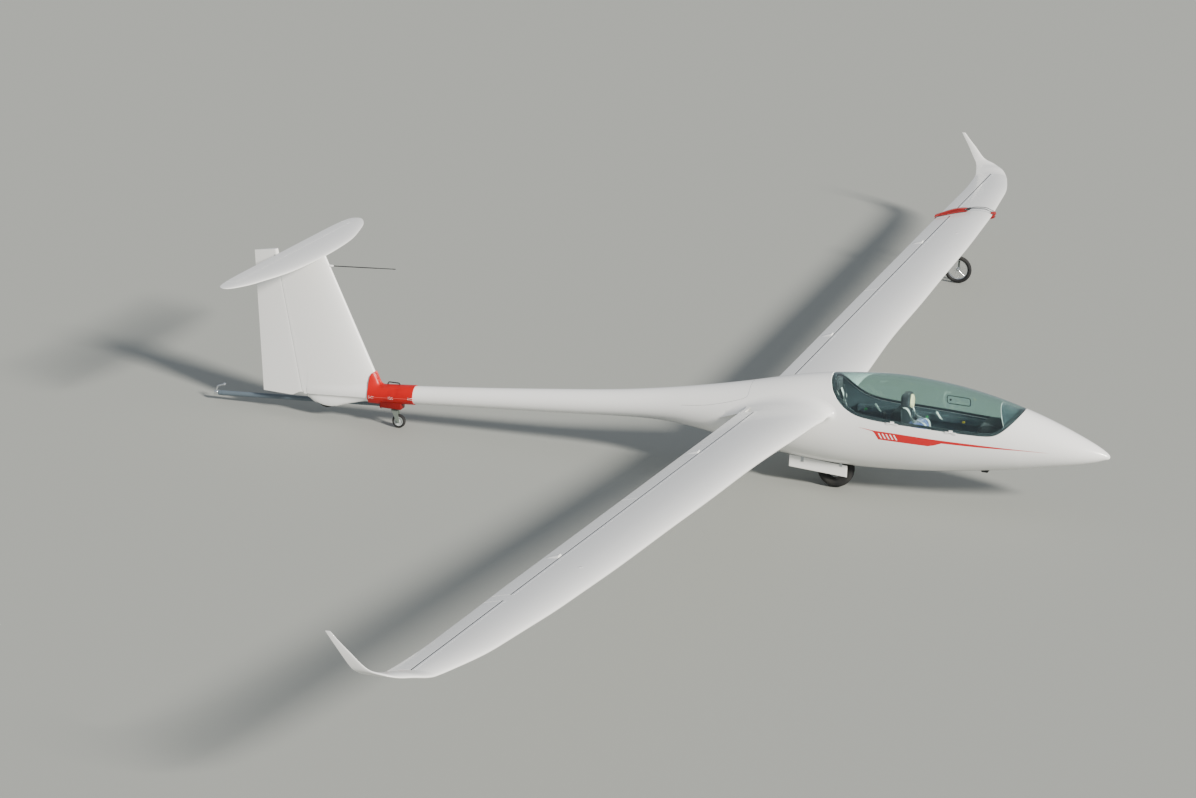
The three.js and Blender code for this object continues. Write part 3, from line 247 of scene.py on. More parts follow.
def hull_point(x, turn, depth=0.0):
    """Point below the skin by a depth, at x and a turn about the middle line from the left side."""
    middle, half_width, half_height = hull_at(x)
    y = np.maximum(half_width - depth, 1e-4) * np.cos(turn)
    z = middle + np.maximum(half_height - depth, 1e-4) * np.sin(turn)
    return np.stack(np.broadcast_arrays(x, y, z), axis=-1)


def settle(points):
    """Points of the level glider, moved to where it stands in the frame, leaning on its wing wheel."""
    points = np.asarray(points, float)
    lean, rise = math.cos(BANK), math.sin(BANK)
    x, y, z = points[..., 0], points[..., 1], points[..., 2]
    return np.stack([x, lean * y - rise * z, rise * y + lean * z], axis=-1) + FRAME_SHIFT


def sew(name, patches, materials, crease=38.0, weld=2e-5, close=False):
    """Sews grids of points into one mesh, faces outwards. A patch is (rows of points, material number)."""
    points, squares, slots, start = [], [], [], 0
    for grid, slot in patches:
        rows, columns = grid.shape[:2]
        index = start + np.arange(rows * columns).reshape(rows, columns)
        square = np.stack([index[:-1, :-1], index[:-1, 1:], index[1:, 1:], index[1:, :-1]], axis=-1)
        points.append(np.asarray(grid, float).reshape(-1, 3))
        squares.append(square.reshape(-1, 4))
        slots += [slot] * len(squares[-1])
        start += rows * columns
    mesh = bpy.data.meshes.new(name)
    mesh.from_pydata(np.concatenate(points).tolist(), [], np.concatenate(squares).tolist())
    mesh.polygons.foreach_set("material_index", slots)
    work = bmesh.new()
    work.from_mesh(mesh)
    bmesh.ops.remove_doubles(work, verts=work.verts, dist=weld)
    bmesh.ops.dissolve_degenerate(work, edges=work.edges, dist=weld * 0.5)
    if close:
        bmesh.ops.holes_fill(work, edges=[edge for edge in work.edges if edge.is_boundary], sides=0)
    bmesh.ops.recalc_face_normals(work, faces=work.faces)
    if work.calc_volume(signed=True) < 0:
        bmesh.ops.reverse_faces(work, faces=work.faces)
    for face in work.faces:
        face.smooth = True
    work.to_mesh(mesh)
    work.free()
    for finish in materials:
        mesh.materials.append(finish)
    mesh.set_sharp_from_angle(angle=math.radians(crease))
    piece = bpy.data.objects.new(name, mesh)
    bpy.context.scene.collection.objects.link(piece)
    return piece


def gel_surface(name, colour):
    """Polished gelcoat over laminate: a hard clear gloss, a faint print of the weave, and soft dust."""
    made, tree, shader = material(name, colour, 0.24, ior=1.50, coat=0.35)
    shader.inputs["Coat Roughness"].default_value = 0.06
    place = node(tree, "ShaderNodeTexCoord").outputs["Object"]
    patches = node(tree, "ShaderNodeTexNoise", [("Scale", 1.3), ("Detail", 3.0)], Vector=place)
    gloss = node(
        tree, "ShaderNodeMapRange", [("To Min", 0.19), ("To Max", 0.31)], Value=patches.outputs["Fac"],
    )
    tree.links.new(gloss.outputs["Result"], shader.inputs["Roughness"])
    dust = node(tree, "ShaderNodeMapRange", [("From Min", 0.45), ("From Max", 0.85), ("To Max", 0.10)],
                Value=patches.outputs["Fac"])
    tint = node(tree, "ShaderNodeMix", [("data_type", "RGBA"), (6, linear(colour)), (7, linear("#d9d4c8"))])
    tree.links.new(dust.outputs["Result"], tint.inputs[0])
    tree.links.new(tint.outputs[2], shader.inputs["Base Color"])
    # Glass cloth under gelcoat prints through every 4 mm or so; drawn at 25 mm, so that it shows at all.
    print_through = node(tree, "ShaderNodeTexNoise", [("Scale", 40.0), ("Detail", 1.0)], Vector=place)
    bump = node(tree, "ShaderNodeBump", [("Strength", 0.03), ("Distance", 0.002)],
                Height=print_through.outputs["Fac"])
    tree.links.new(bump.outputs["Normal"], shader.inputs["Normal"])
    return made


white_gelcoat = gel_surface("white_polished_gelcoat", "#f1f1ee")
lining_paint, lining_tree, lining_shader = material("grey_fleck_cockpit_paint", "#3a454c", 0.62)
# Fleck paint is sprayed in drops of about 2 mm; drawn at 6 mm.
lining_drops = node(lining_tree, "ShaderNodeTexVoronoi", [("Scale", 160.0)],
                    Vector=node(lining_tree, "ShaderNodeTexCoord").outputs["Object"])
lining_shades = node(lining_tree, "ShaderNodeMix", [
    ("data_type", "RGBA"), (6, linear("#272f35")), (7, linear("#48555c")),
])
lining_tree.links.new(lining_drops.outputs["Distance"], lining_shades.inputs[0])
lining_tree.links.new(lining_shades.outputs[2], lining_shader.inputs["Base Color"])

canopy_line = spline(CANOPY_EDGE, 1200)


def rail(inset, depth, shares):
    """Left side of the canopy's outline, moved in by inset, at a depth: x and turn at each share."""
    along_it = np.gradient(canopy_line, axis=0)
    along_it /= np.linalg.norm(along_it, axis=1)[:, None]
    line = canopy_line + inset * np.stack([-along_it[:, 1], along_it[:, 0]], axis=1)
    middle, _, half_height = hull_at(line[:, 0])
    sine = (line[:, 1] - middle) / (half_height - depth)
    inside = np.flatnonzero(sine < 1)
    low, high = inside[0], inside[-1]
    places = np.arange(len(line), dtype=float)
    first = np.interp(-1, [-sine[low - 1], -sine[low]], [low - 1, low])
    last = np.interp(1, [sine[high], sine[high + 1]], [high, high + 1])
    at = first + (last - first) * np.asarray(shares)
    x = np.interp(at, places, line[:, 0])
    turn = np.arcsin(np.clip(np.interp(at, places, sine), -1, 1))
    turn[[0, -1]] = np.pi / 2
    return x, turn


RAIL_POINTS = 97
rail_shares = (1 - np.cos(np.linspace(0, np.pi, RAIL_POINTS))) / 2


def shares_with(inset, depth, x_kept):
    """The rail's shares, with the one nearest to x_kept moved onto it."""
    shares = rail_shares.copy()
    fine = np.linspace(0, 1, 4000)
    x_fine, _ = rail(inset, depth, fine)
    nearest = np.argmin(np.abs(rail(0.0, 0.0, rail_shares)[0] - x_kept))
    shares[nearest] = np.interp(x_kept, x_fine, fine)
    return shares


def keel_turn(x, depth):
    """Turn, below the middle line, where the wheel well's side wall meets the skin."""
    _, half_width, _ = hull_at(x)
    return -np.arccos(np.minimum(WELL["half_width"], 0.55 * half_width) / (half_width - depth))


def shell_skin(depth, rear, front):
    """Grids of a skin's left side, right side and keel, and its rows at the canopy and at the wheel well."""
    rail_x, rail_turn = rail(0.0, depth, shares_with(0.0, depth, WELL["front"]))
    behind = np.linspace(rear, WELL["rear"], 3 if rear > -1 else 110, endpoint=False)
    beside = np.linspace(WELL["rear"], rail_x[0], 12, endpoint=False)
    beyond = rail_x[-1] + (front - rail_x[-1]) * np.sin(np.linspace(0, np.pi / 2, 31)[1:]) ** 0.9
    x = np.concatenate([behind, beside, rail_x, beyond])
    rail_row = len(behind) + len(beside)
    turn = np.full(len(x), np.pi / 2)
    turn[rail_row:rail_row + RAIL_POINTS] = rail_turn
    low = keel_turn(x, depth)
    side_share, keel_share = np.linspace(0, 1, SIDE_COLUMNS), np.linspace(0, 1, KEEL_COLUMNS)
    left = hull_point(x[:, None], turn[:, None] + (low - turn)[:, None] * side_share, depth)
    keel = hull_point(x[:, None], low[:, None] - (np.pi + 2 * low)[:, None] * keel_share, depth)
    well_rows = len(behind), int(np.argmin(np.abs(x - WELL["front"])))
    return {"x": x, "sides": (left, left * [1, -1, 1]), "keel": keel, "rail": rail_row, "well": well_rows}


def cap(edge, tip):
    """Grid that closes a row of points onto one point."""
    return np.stack([edge, np.broadcast_to(tip, edge.shape)])


outer = shell_skin(0.0, HULL_REAR, FUSELAGE[0, 0])
inner = shell_skin(SKIN, *HOLLOW)
hull_patches = []
for skin, paint in ((outer, 0), (inner, 1)):
    rear_row, front_row = skin["well"]
    keel_parts = (skin["keel"][:rear_row + 1], skin["keel"][front_row:])
    hull_patches += [(grid, paint) for grid in (*skin["sides"], *keel_parts)]
    for row in (0, -1):
        middle_point = [skin["x"][row], 0.0, hull_at(skin["x"][row])[0]]
        hull_patches += [(cap(grid[row], middle_point), paint) for grid in (*skin["sides"], skin["keel"])]
for number in (0, 1):
    rims = [skin["sides"][number][skin["rail"]:skin["rail"] + RAIL_POINTS, 0] for skin in (outer, inner)]
    sills = [skin["sides"][number][skin["well"][0]:skin["well"][1] + 1, -1] for skin in (outer, inner)]
    ends = [skin["keel"][skin["well"][number]] for skin in (outer, inner)]
    hull_patches += [(np.stack(edges), 0) for edges in (rims, sills, ends)]
fuselage = sew("fuselage", [(settle(grid), paint) for grid, paint in hull_patches],
    [white_gelcoat, lining_paint])
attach(fuselage, "glider")
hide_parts("cockpit_shell", "rear_fuselage")


# Tail cone
# The end of the boom, moulded in one with the foot of the fin and the fairing over the tail wheel.
# Glass fibre with white gelcoat, slotted below for the wheel.
FIN_EDGE = (-4.448, -0.502)
RUDDER_HINGE = (-5.431, -0.2304)
RUDDER_EDGE = (-5.895, -0.088)
FIN_RATIO = 0.105
EDGE_HALF = 0.0012
FIN_FOOT = ((-5.600, -4.400), (0.225, 0.333))
TAIL_FAIRING = np.array([
    # x, half width, height of the underside
    [-5.420, 0.026, 0.196],
    [-5.370, 0.038, 0.163],
    [-5.320, 0.045, 0.143],
    [-5.250, 0.050, 0.127],
    [-5.180, 0.054, 0.127],
    [-5.120, 0.056, 0.140],
    [-5.050, 0.057, 0.165],
    [-4.960, 0.057, 0.193],
    [-4.870, 0.055, 0.218],
    [-4.800, 0.050, 0.240],
])
TAIL_WHEEL = {"x": -5.228, "z": 0.212, "radius": 0.098, "half": 0.031, "gap": 0.006}
CONE_FRONT = -4.59
CONE_REAR = -5.438
CONE_TOP = 0.52
CONE_ROUND = 0.012


def half_thickness(s):
    """Half thickness of a symmetric section of chord 1 and thickness 1, at a share of the chord."""
    return 5 * (0.2969 * np.sqrt(s) - 0.126 * s - 0.3516 * s ** 2 + 0.2843 * s ** 3 - 0.1015 * s ** 4)


def fin_lines(z):
    """Leading edge, hinge and trailing edge of the fin with its rudder, as x at a height."""
    return [at_ground + slope * z for at_ground, slope in (FIN_EDGE, RUDDER_HINGE, RUDDER_EDGE)]


def fin_half(z, x):
    """Half thickness of the fin or rudder."""
    edge, _, rear = fin_lines(z)
    s = np.clip((edge - x) / (edge - rear), 0, 1)
    return half_thickness(s) * FIN_RATIO * (edge - rear) + EDGE_HALF * s


def joined(a, b, fillet):
    """The smaller of two distances, with a fillet where the surfaces meet."""
    share = np.clip(0.5 + 0.5 * (b - a) / fillet, 0, 1)
    return b + (a - b) * share - fillet * share * (1 - share)


def cone_distance(x, y, z):
    """Distance outside the tail cone: the boom, the foot of the fin and the wheel fairing in one."""
    middle, half_width, half_height = hull_at(x)
    boom = (np.hypot(y / half_width, (z - middle) / half_height) - 1) * half_height
    # The cone stands 0.3 mm proud of the fin's foot, and dives under its skin higher up.
    proud = np.interp(z, [0.46, 0.50], [0.0003, -0.0003])
    slab = np.maximum(np.abs(y) - fin_half(z, x) - proud, x - fin_lines(z)[0])
    slab = np.maximum(slab, np.interp(x, *FIN_FOOT) - z)
    wide, low = [np.interp(x, TAIL_FAIRING[:, 0], TAIL_FAIRING[:, c]) for c in (1, 2)]
    reach = np.where(z > middle, 0.4 * half_height, middle - low)
    fairing = ((np.abs(y / wide) ** 4 + np.abs((z - middle) / reach) ** 4) ** 0.25 - 1) * wide
    rear = np.clip((CONE_REAR + CONE_ROUND - x) / CONE_ROUND, 0, 1)
    return joined(joined(boom, slab, 0.035), fairing, 0.02) + 0.009 * (1 - np.sqrt(1 - rear ** 2))


def reach_of(distance, far, shape):
    """How far a ray goes before the distance turns positive, found by halving."""
    near, far = np.zeros(shape), np.full(shape, far)
    for _ in range(26):
        half_way = (near + far) / 2
        inside = distance(half_way) < 0
        near, far = np.where(inside, half_way, near), np.where(inside, far, half_way)
    return near


def half_shell(distance, x, top, counts):
    """The left half of a body given by a distance: points at each x, from its keel to its crest."""
    middle = hull_at(x)[0]
    below = np.linspace(-np.pi / 2, 0, counts[0])[None, :]
    ray = reach_of(lambda r: distance(x, r * np.cos(below), middle + r * np.sin(below)), 0.3,
        (len(x), counts[0]))
    low = np.stack(np.broadcast_arrays(x, ray * np.cos(below), middle + ray * np.sin(below)), axis=-1)
    levels = np.linspace(0, 1, 240)[None, :] * (top - middle) + middle
    covered = np.cumprod(distance(x, 0 * levels, levels) < 0, axis=1).sum(axis=1) - 1
    crest = np.take_along_axis(levels, covered[:, None], axis=1)
    above = middle + (crest - middle) * np.sin(np.linspace(0, np.pi / 2, counts[1])[1:])[None, :]
    wide = reach_of(lambda r: distance(x, r, above), 0.3, above.shape)
    return np.concatenate([low, np.stack(np.broadcast_arrays(x, wide, above), axis=-1)], axis=1)


def cut_out(piece, corner_low, corner_high, crease=38.0):
    """Takes a box, given in the level glider's axes, out of a piece."""
    low, high = np.array(corner_low, float), np.array(corner_high, float)
    corners = settle([[(low, high)[i][0], (low, high)[j][1], (low, high)[k][2]]
                      for i in (0, 1) for j in (0, 1) for k in (0, 1)])
    block_mesh = bpy.data.meshes.new("cutter")
    block_mesh.from_pydata(corners.tolist(), [], [
        (0, 1, 3, 2), (4, 6, 7, 5), (0, 4, 5, 1), (2, 3, 7, 6), (0, 2, 6, 4), (1, 5, 7, 3),
    ])
    block = bpy.data.objects.new("cutter", block_mesh)
    bpy.context.scene.collection.objects.link(block)
    cutter = piece.modifiers.new("cut", "BOOLEAN")
    cutter.operation = "DIFFERENCE"
    cutter.solver = "EXACT"
    cutter.object = block
    bake(piece)
    bpy.data.objects.remove(block)
    piece.data.set_sharp_from_angle(angle=math.radians(crease))


def bake(piece):
    """Applies a piece's modifiers and leaves a plain mesh."""
    bpy.context.view_layer.update()
    depsgraph = bpy.context.evaluated_depsgraph_get()
    evaluated = piece.evaluated_get(depsgraph)
    mesh = bpy.data.meshes.new_from_object(evaluated, preserve_all_data_layers=True, depsgraph=depsgraph)
    piece.modifiers.clear()
    old, piece.data = piece.data, mesh
    bpy.data.meshes.remove(old)
    mesh.name = piece.name


cone_x = np.concatenate([
    np.linspace(CONE_FRONT, CONE_REAR + CONE_ROUND, 84, endpoint=False),
    CONE_REAR + CONE_ROUND - CONE_ROUND * np.sin(np.linspace(0, np.pi / 2, 7)),
])[:, None]
cone_left = half_shell(cone_distance, cone_x, CONE_TOP, (26, 34))
cone_right = cone_left * [1, -1, 1]
cone_patches = [cone_left, cone_right] + [
    np.stack([edge, edge * [1, -1, 1]]) for edge in (cone_left[0], cone_left[-1], cone_left[:, -1])
]
tail_cone = sew("tail_cone", [(settle(grid), 0) for grid in cone_patches], [white_gelcoat])
wheel_room = TAIL_WHEEL["radius"] + TAIL_WHEEL["gap"]
cut_out(
    tail_cone,
    (TAIL_WHEEL["x"] - wheel_room, -TAIL_WHEEL["half"] - TAIL_WHEEL["gap"], 0.0),
    (TAIL_WHEEL["x"] + wheel_room, TAIL_WHEEL["half"] + TAIL_WHEEL["gap"], TAIL_WHEEL["z"] + wheel_room),
)
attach(tail_cone, "glider")
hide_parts("tail_boom")


# Fin
# A hollow glass-fibre sandwich, bonded to the boom. Its rear wall is hollowed round the rudder's nose,
# and a thin tape seals the gap on both sides.
FIN_LOW = 0.238
FIN_SHOULDER = 1.604
FIN_CROWN = 1.655
FIN_SHOULDER_X = -5.560
RUDDER_GAP = 0.006
TAPE = {"lift": 0.0003, "thick": 0.0005}


class Foil:
    """A wing, fin or tail plane. Its functions take a place along the span and x, as arrays."""

    def __init__(self, lines, middle, half, place):
        self.lines, self.middle, self.half, self.place = lines, middle, half, place

    def skin(self, span, rear, columns=26):
        """Rows over one side from x = rear to the leading edge, and back on the other side."""
        u = np.linspace(-1, 1, 2 * columns + 1)
        share = (1 - np.cos(np.abs(u) * np.pi / 2)) ** 1.15
        x = self.lines(span)[0] + (rear - self.lines(span)[0]) * share
        return self.place(span, x, self.middle(span, x) - np.sign(u) * self.half(span, x))

    def side(self, span, front, rear, way, columns=12):
        """Rows on one side between two values of x."""
        x = front + (rear - front) * np.linspace(0, 1, columns)
        return self.place(span, x, self.middle(span, x) + way * self.half(span, x))

    def lip(self, span, gap):
        """x where the skin ends over a round nose with a gap round it."""
        hinge = self.lines(span)[1]
        nose = self.half(span, hinge)
        return hinge + np.sqrt((nose + gap) ** 2 - nose ** 2)

    def hollow(self, span, gap, columns=12):
        """Rows of the hollow wall between the two lips."""
        hinge, lip = self.lines(span)[1], self.lip(span, gap)
        rise = self.half(span, lip)
        turn = np.arctan2(rise, lip - hinge) * np.linspace(1, -1, columns)
        radius = np.hypot(rise, lip - hinge)
        x = hinge + radius * np.cos(turn)
        return self.place(span, x, self.middle(span, x) + radius * np.sin(turn))

    def moving(self, span, columns=14, nose_columns=17):
        """Closed rows of the hinged part: straight sides, tangent to a round nose about the hinge."""
        _, hinge, rear = self.lines(span)
        step = 0.004
        slope = [(f(span, hinge + step) - f(span, hinge - step)) / (2 * step) for f in (self.middle,
            self.half)]
        over, under = np.arctan(slope[0] + slope[1]), np.arctan(slope[0] - slope[1])
        radius = self.half(span, hinge) * np.cos(np.arctan(slope[1]))
        turn = np.pi / 2 + over + (under - over - np.pi) * np.linspace(0, 1, nose_columns)
        nose = self.place(span, hinge + radius * np.cos(turn),
            self.middle(span, hinge) + radius * np.sin(turn))
        shares = np.linspace(0, 1, columns)[:-1]
        sides = []
        for way, lean in ((1, over), (-1, under)):
            start = hinge - way * radius * np.sin(lean)
            x = rear + (start - rear) * shares
            sides.append(self.place(span, x, self.middle(span, x) + way * self.half(span, x)))
        return ring_of(sides[0], nose, sides[1][:, ::-1])

    def tape(self, span, front, rear, way, columns=4):
        """Closed rows of a thin tape on one side, between two values of x."""
        x = front + (rear - front) * np.linspace(0, 1, columns)
        low, high = TAPE["lift"], TAPE["lift"] + TAPE["thick"]
        layers = [
            self.place(span, x, self.middle(span, x) + way * (self.half(span, x) + lift))
            for lift in (low, high)
        ]
        return ring_of(layers[0], layers[1][:, ::-1])


def ring_of(*parts):
    """Rows joined end to end and closed."""
    return np.concatenate([*parts, parts[0][:, :1]], axis=1)


def ends_of(rows):
    """Grids that close the first and last of a set of closed rows, side to side."""
    half = len(rows[0]) // 2
    return [np.stack([row[:half], row[:-1][::-1][:half]]) for row in (rows[0], rows[-1])]


def show(name, patches, body, slot, paints, replaced=(), flip=1, **settings):
    """Sews grids of the level glider into a closed piece, gives it to its body and hides the nodes it
    replaces. The slot is not used.
    """
    pairs = [patch if isinstance(patch, tuple) else (patch, 0) for patch in patches]
    turned = [(settle(grid * [1, flip, 1]), paint) for grid, paint in pairs]
    piece = sew(name, turned, paints, **settings)
    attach(piece, body)
    if replaced:
        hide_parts(*replaced)
    return piece


fin = Foil(
    fin_lines, lambda z, x: 0 * x, fin_half,
    lambda z, x, across: np.stack(np.broadcast_arrays(x, across, z), axis=-1),
)
fin_z = np.linspace(FIN_LOW, FIN_SHOULDER, 24)[:, None]
crown_z = np.array([[FIN_SHOULDER], [FIN_CROWN]])
fin_lip = fin.lip(fin_z, RUDDER_GAP)
fin_skin = show("fin_skin", [
    fin.skin(fin_z, fin_lip), fin.hollow(fin_z, RUDDER_GAP), fin.skin(crown_z, FIN_SHOULDER_X + 0 * crown_z),
    fin.place(crown_z, FIN_SHOULDER_X, np.linspace(-1, 1, 2) * fin_half(crown_z, FIN_SHOULDER_X)),
], "glider", "gelcoat", [white_gelcoat], ["fin"], close=True)
# The part of the foot that would show below the boom is cut away.
cut_out(fin_skin, (CONE_REAR + 0.008, -0.2, 0.1), (CONE_FRONT + 0.1, 0.2, 0.285))
tape_z = np.linspace(0.262, FIN_SHOULDER, 20)[:, None]
for label, way in (("left", 1), ("right", -1)):
    start = fin.lip(tape_z, RUDDER_GAP) + 0.018
    show(f"rudder_seal_{label}", [fin.tape(tape_z, start, fin_lines(tape_z)[1] + 0.013, way)],
         "glider", "gelcoat", [white_gelcoat], close=True)


# Rudder
# A glass-fibre shell hung on three pins behind the fin, with a round nose about the hinge line.
# Its foot is cut up behind the tail wheel, and its head slopes up to the rear of the tail plane.
RUDDER_FOOT = ((-5.900, -5.587, -5.505, -5.400), (0.206, 0.206, 0.252, 0.252))
RUDDER_HEAD = ((-6.100, -5.700), (1.623, 1.691))
heights = np.linspace(0, 1, 40)[:, None]
flat_z = RUDDER_FOOT[1][0] + (RUDDER_HEAD[1][0] - RUDDER_FOOT[1][0]) * heights
rudder_rows = fin.moving(flat_z)
flat_hinge, flat_rear = fin_lines(flat_z)[1:]
z = flat_z + 0 * rudder_rows[..., 0]
for _ in range(8):
    _, hinge, rear = fin_lines(z)
    slimmer = fin_half(z, hinge) / fin_half(flat_z, flat_hinge)
    past = rudder_rows[..., 0] - flat_hinge
    x = np.where(past < 0, hinge + past * (hinge - rear) / (flat_hinge - flat_rear), hinge + past * slimmer)
    foot, head = [np.interp(x, *line) for line in (RUDDER_FOOT, RUDDER_HEAD)]
    z = foot + (head - foot) * heights
rudder_rows = np.stack([x, rudder_rows[..., 1] * slimmer, z], axis=-1)
show("rudder_skin", [rudder_rows, *ends_of(rudder_rows)], "rudder", "gelcoat", [white_gelcoat], ["rudder"])


# Tail plane
# One glass-fibre piece across the top of the fin, bolted down through its middle. Its rear wall is
# hollowed for the elevator between the two fixed tips, and a tape seals the gap above and below.
STAB_Z = 1.660
STAB = np.array([
    # y, leading edge x, trailing edge x
    [0.000, -5.279, -5.721],
    [0.450, -5.293, -5.722],
    [0.850, -5.330, -5.722],
    [1.220, -5.405, -5.720],
    [1.440, -5.460, -5.712],
    [1.580, -5.515, -5.698],
    [1.650, -5.552, -5.680],
    [1.688, -5.582, -5.654],
    [1.700, -5.602, -5.632],
])
STAB_RATIO = 0.105
ELEVATOR_HINGE_X = -5.622
ELEVATOR_TIP = 1.440
ELEVATOR_GAP = 0.006
stab_table = spline(np.concatenate([STAB[:0:-1] * [-1, 1, 1], STAB]), 3000)


def stab_lines(y):
    """Leading edge, elevator hinge and trailing edge of the tail plane."""
    edge, rear = [np.interp(y, stab_table[:, 0], stab_table[:, c]) for c in (1, 2)]
    return edge, ELEVATOR_HINGE_X + 0 * y, rear


def stab_half(y, x):
    """Half thickness of the tail plane or elevator."""
    edge, _, rear = stab_lines(y)
    s = np.clip((edge - x) / (edge - rear), 0, 1)
    return half_thickness(s) * STAB_RATIO * (edge - rear) + EDGE_HALF * s


def along_span(y, x, across):
    """Points of a level foil."""
    return np.stack(np.broadcast_arrays(x, y, across), axis=-1)


tail_plane = Foil(stab_lines, lambda y, x: STAB_Z + 0 * x, stab_half, along_span)
notch = ELEVATOR_TIP + ELEVATOR_GAP
middle_y = np.linspace(-notch, notch, 61)[:, None]
tip_y = notch + (STAB[-1, 0] - notch) * np.sin(np.linspace(0, np.pi / 2, 16))[:, None]
stab_patches = []
for span in (middle_y, tip_y, -tip_y):
    stab_patches.append(tail_plane.skin(span, tail_plane.lip(span, ELEVATOR_GAP)))
for span in (tip_y, -tip_y):
    sides = [
        tail_plane.side(span, tail_plane.lip(span, ELEVATOR_GAP), stab_lines(span)[2], way) for way in (1, -1)
    ]
    stab_patches += [*sides, np.stack([sides[0][:, -1], sides[1][:, -1]])]
stab_patches.append(tail_plane.hollow(middle_y, ELEVATOR_GAP))
show("tail_plane_skin", stab_patches, "glider", "gelcoat", [white_gelcoat], ["stabiliser"], close=True)
elevator_rows = tail_plane.moving(np.linspace(-ELEVATOR_TIP, ELEVATOR_TIP, 61)[:, None])
show("elevator_skin", [elevator_rows, *ends_of(elevator_rows)], "elevator", "gelcoat", [white_gelcoat],
    ["elevator"])
seal_y = np.linspace(-ELEVATOR_TIP, ELEVATOR_TIP, 41)[:, None]
for label, way in (("top", 1), ("bottom", -1)):
    seal = tail_plane.tape(seal_y, tail_plane.lip(seal_y, ELEVATOR_GAP) + 0.012, ELEVATOR_HINGE_X + 0.003,
        way)
    show(f"elevator_seal_{label}", [seal], "glider", "gelcoat", [white_gelcoat], close=True)


# Wings
# Carbon spars under glass-fibre sandwich skins, in an inner and an outer panel on each side. The rear
# wall is hollowed round the noses of the flaps and ailerons, and tapes seal those gaps.
HINGE_X = -0.672
WING_SLOPE = 0.041
WING_ROOT_Z = 0.752
INCIDENCE = 0.06
CAMBER = 0.022
WING = np.array([
    # y, leading edge x, trailing edge x, thickness ratio
    [0.605, 0.018, -0.822, 0.145],
    [0.800, -0.005, -0.822, 0.145],
    [1.300, -0.028, -0.820, 0.145],
    [2.400, -0.085, -0.820, 0.145],
    [3.700, -0.108, -0.820, 0.143],
    [5.000, -0.140, -0.820, 0.140],
    [6.200, -0.165, -0.820, 0.140],
    [7.100, -0.200, -0.820, 0.138],
    [7.600, -0.222, -0.816, 0.138],
    [8.050, -0.255, -0.812, 0.136],
    [8.500, -0.290, -0.810, 0.135],
    [8.900, -0.330, -0.810, 0.132],
    [9.300, -0.412, -0.828, 0.130],
    [9.540, -0.474, -0.848, 0.122],
])
TIP = np.array([
    # y, z, leading edge x, trailing edge x, thickness ratio, cant in radians
    [9.720, 1.166, -0.555, -0.880, 0.115, 0.279],
    [9.830, 1.192, -0.640, -0.907, 0.110, 0.559],
    [9.898, 1.228, -0.740, -0.937, 0.110, 0.908],
    [9.935, 1.278, -0.855, -0.978, 0.110, 1.222],
    [9.965, 1.370, -0.945, -1.035, 0.110, 1.309],
    [9.985, 1.460, -1.035, -1.094, 0.110, 1.361],
    [10.00, 1.536, -1.104, -1.144, 0.110, 1.396],
])
WING_ROOT_Y = 0.6047
FLAP_END = 4.150
PANEL_JOINT = 7.500
JOINT_RIB = 0.090
TIP_JOINT = 9.540
SURFACE_GAP = 0.006
END_GAP = 0.009
wing_table = spline(np.concatenate([WING, TIP[:2][:, [0, 2, 3, 4]]]), 4000)


def wing_lines(y):
    """Leading edge, hinge and trailing edge of the wing."""
    edge, rear = [np.interp(y, wing_table[:, 0], wing_table[:, c]) for c in (1, 2)]
    return edge, HINGE_X + 0 * y, rear


def camber_at(s):
    """Height of the cambered middle line of a section of chord 1."""
    return CAMBER * np.where(s < 0.4, (0.8 * s - s * s) / 0.16, (0.2 + 0.8 * s - s * s) / 0.36)


def wing_middle(y, x):
    """Height of the wing's middle line. The hinge is straight, and the section is set about it."""
    edge, hinge, rear = wing_lines(y)
    chord = edge - rear
    bend = [camber_at(np.clip((edge - place) / chord, 0, 1)) * chord for place in (x, hinge)]
    return WING_ROOT_Z + WING_SLOPE * y + INCIDENCE * (x - hinge) + bend[0] - bend[1]


def wing_half(y, x):
    """Half thickness of the wing."""
    edge, _, rear = wing_lines(y)
    s = np.clip((edge - x) / (edge - rear), 0, 1)
    ratio = np.interp(y, wing_table[:, 0], wing_table[:, 3])
    return half_thickness(s) * ratio * (edge - rear) + EDGE_HALF * s


def stations(start, end, spacing=0.09):
    """Places along the span, evenly spaced."""
    return np.linspace(start, end, max(2, round((end - start) / spacing) + 1))[:, None]


wing = Foil(wing_lines, wing_middle, wing_half, along_span)
white_film, film_tree, film_shader = material("white_polyester_seal_tape", "#fbfbfa", 0.12, ior=1.57,
    coat=0.6)
film_ripple = node(film_tree, "ShaderNodeTexNoise", [("Scale", 9.0)],
                   Vector=node(film_tree, "ShaderNodeTexCoord").outputs["Object"])
film_gloss = node(film_tree, "ShaderNodeMapRange", [("To Min", 0.08), ("To Max", 0.22)],
                  Value=film_ripple.outputs["Fac"])
film_tree.links.new(film_gloss.outputs["Result"], film_shader.inputs["Roughness"])
PANELS = (
    # name, the stretch open for the surfaces, the closed stretch at the panel joint
    ("wing_inner", (WING_ROOT_Y, PANEL_JOINT - JOINT_RIB), (PANEL_JOINT - JOINT_RIB, PANEL_JOINT - 0.0002)),
    ("wing_outer", (PANEL_JOINT + JOINT_RIB, TIP_JOINT - 0.0002),
    (PANEL_JOINT + 0.0002, PANEL_JOINT + JOINT_RIB)),
)
SURFACES = (
    ("flap", WING_ROOT_Y + END_GAP, FLAP_END - END_GAP / 2),
    ("aileron_inner", FLAP_END + END_GAP / 2, PANEL_JOINT - JOINT_RIB - END_GAP),
    ("aileron_outer", PANEL_JOINT + JOINT_RIB + END_GAP, TIP_JOINT - END_GAP),
)
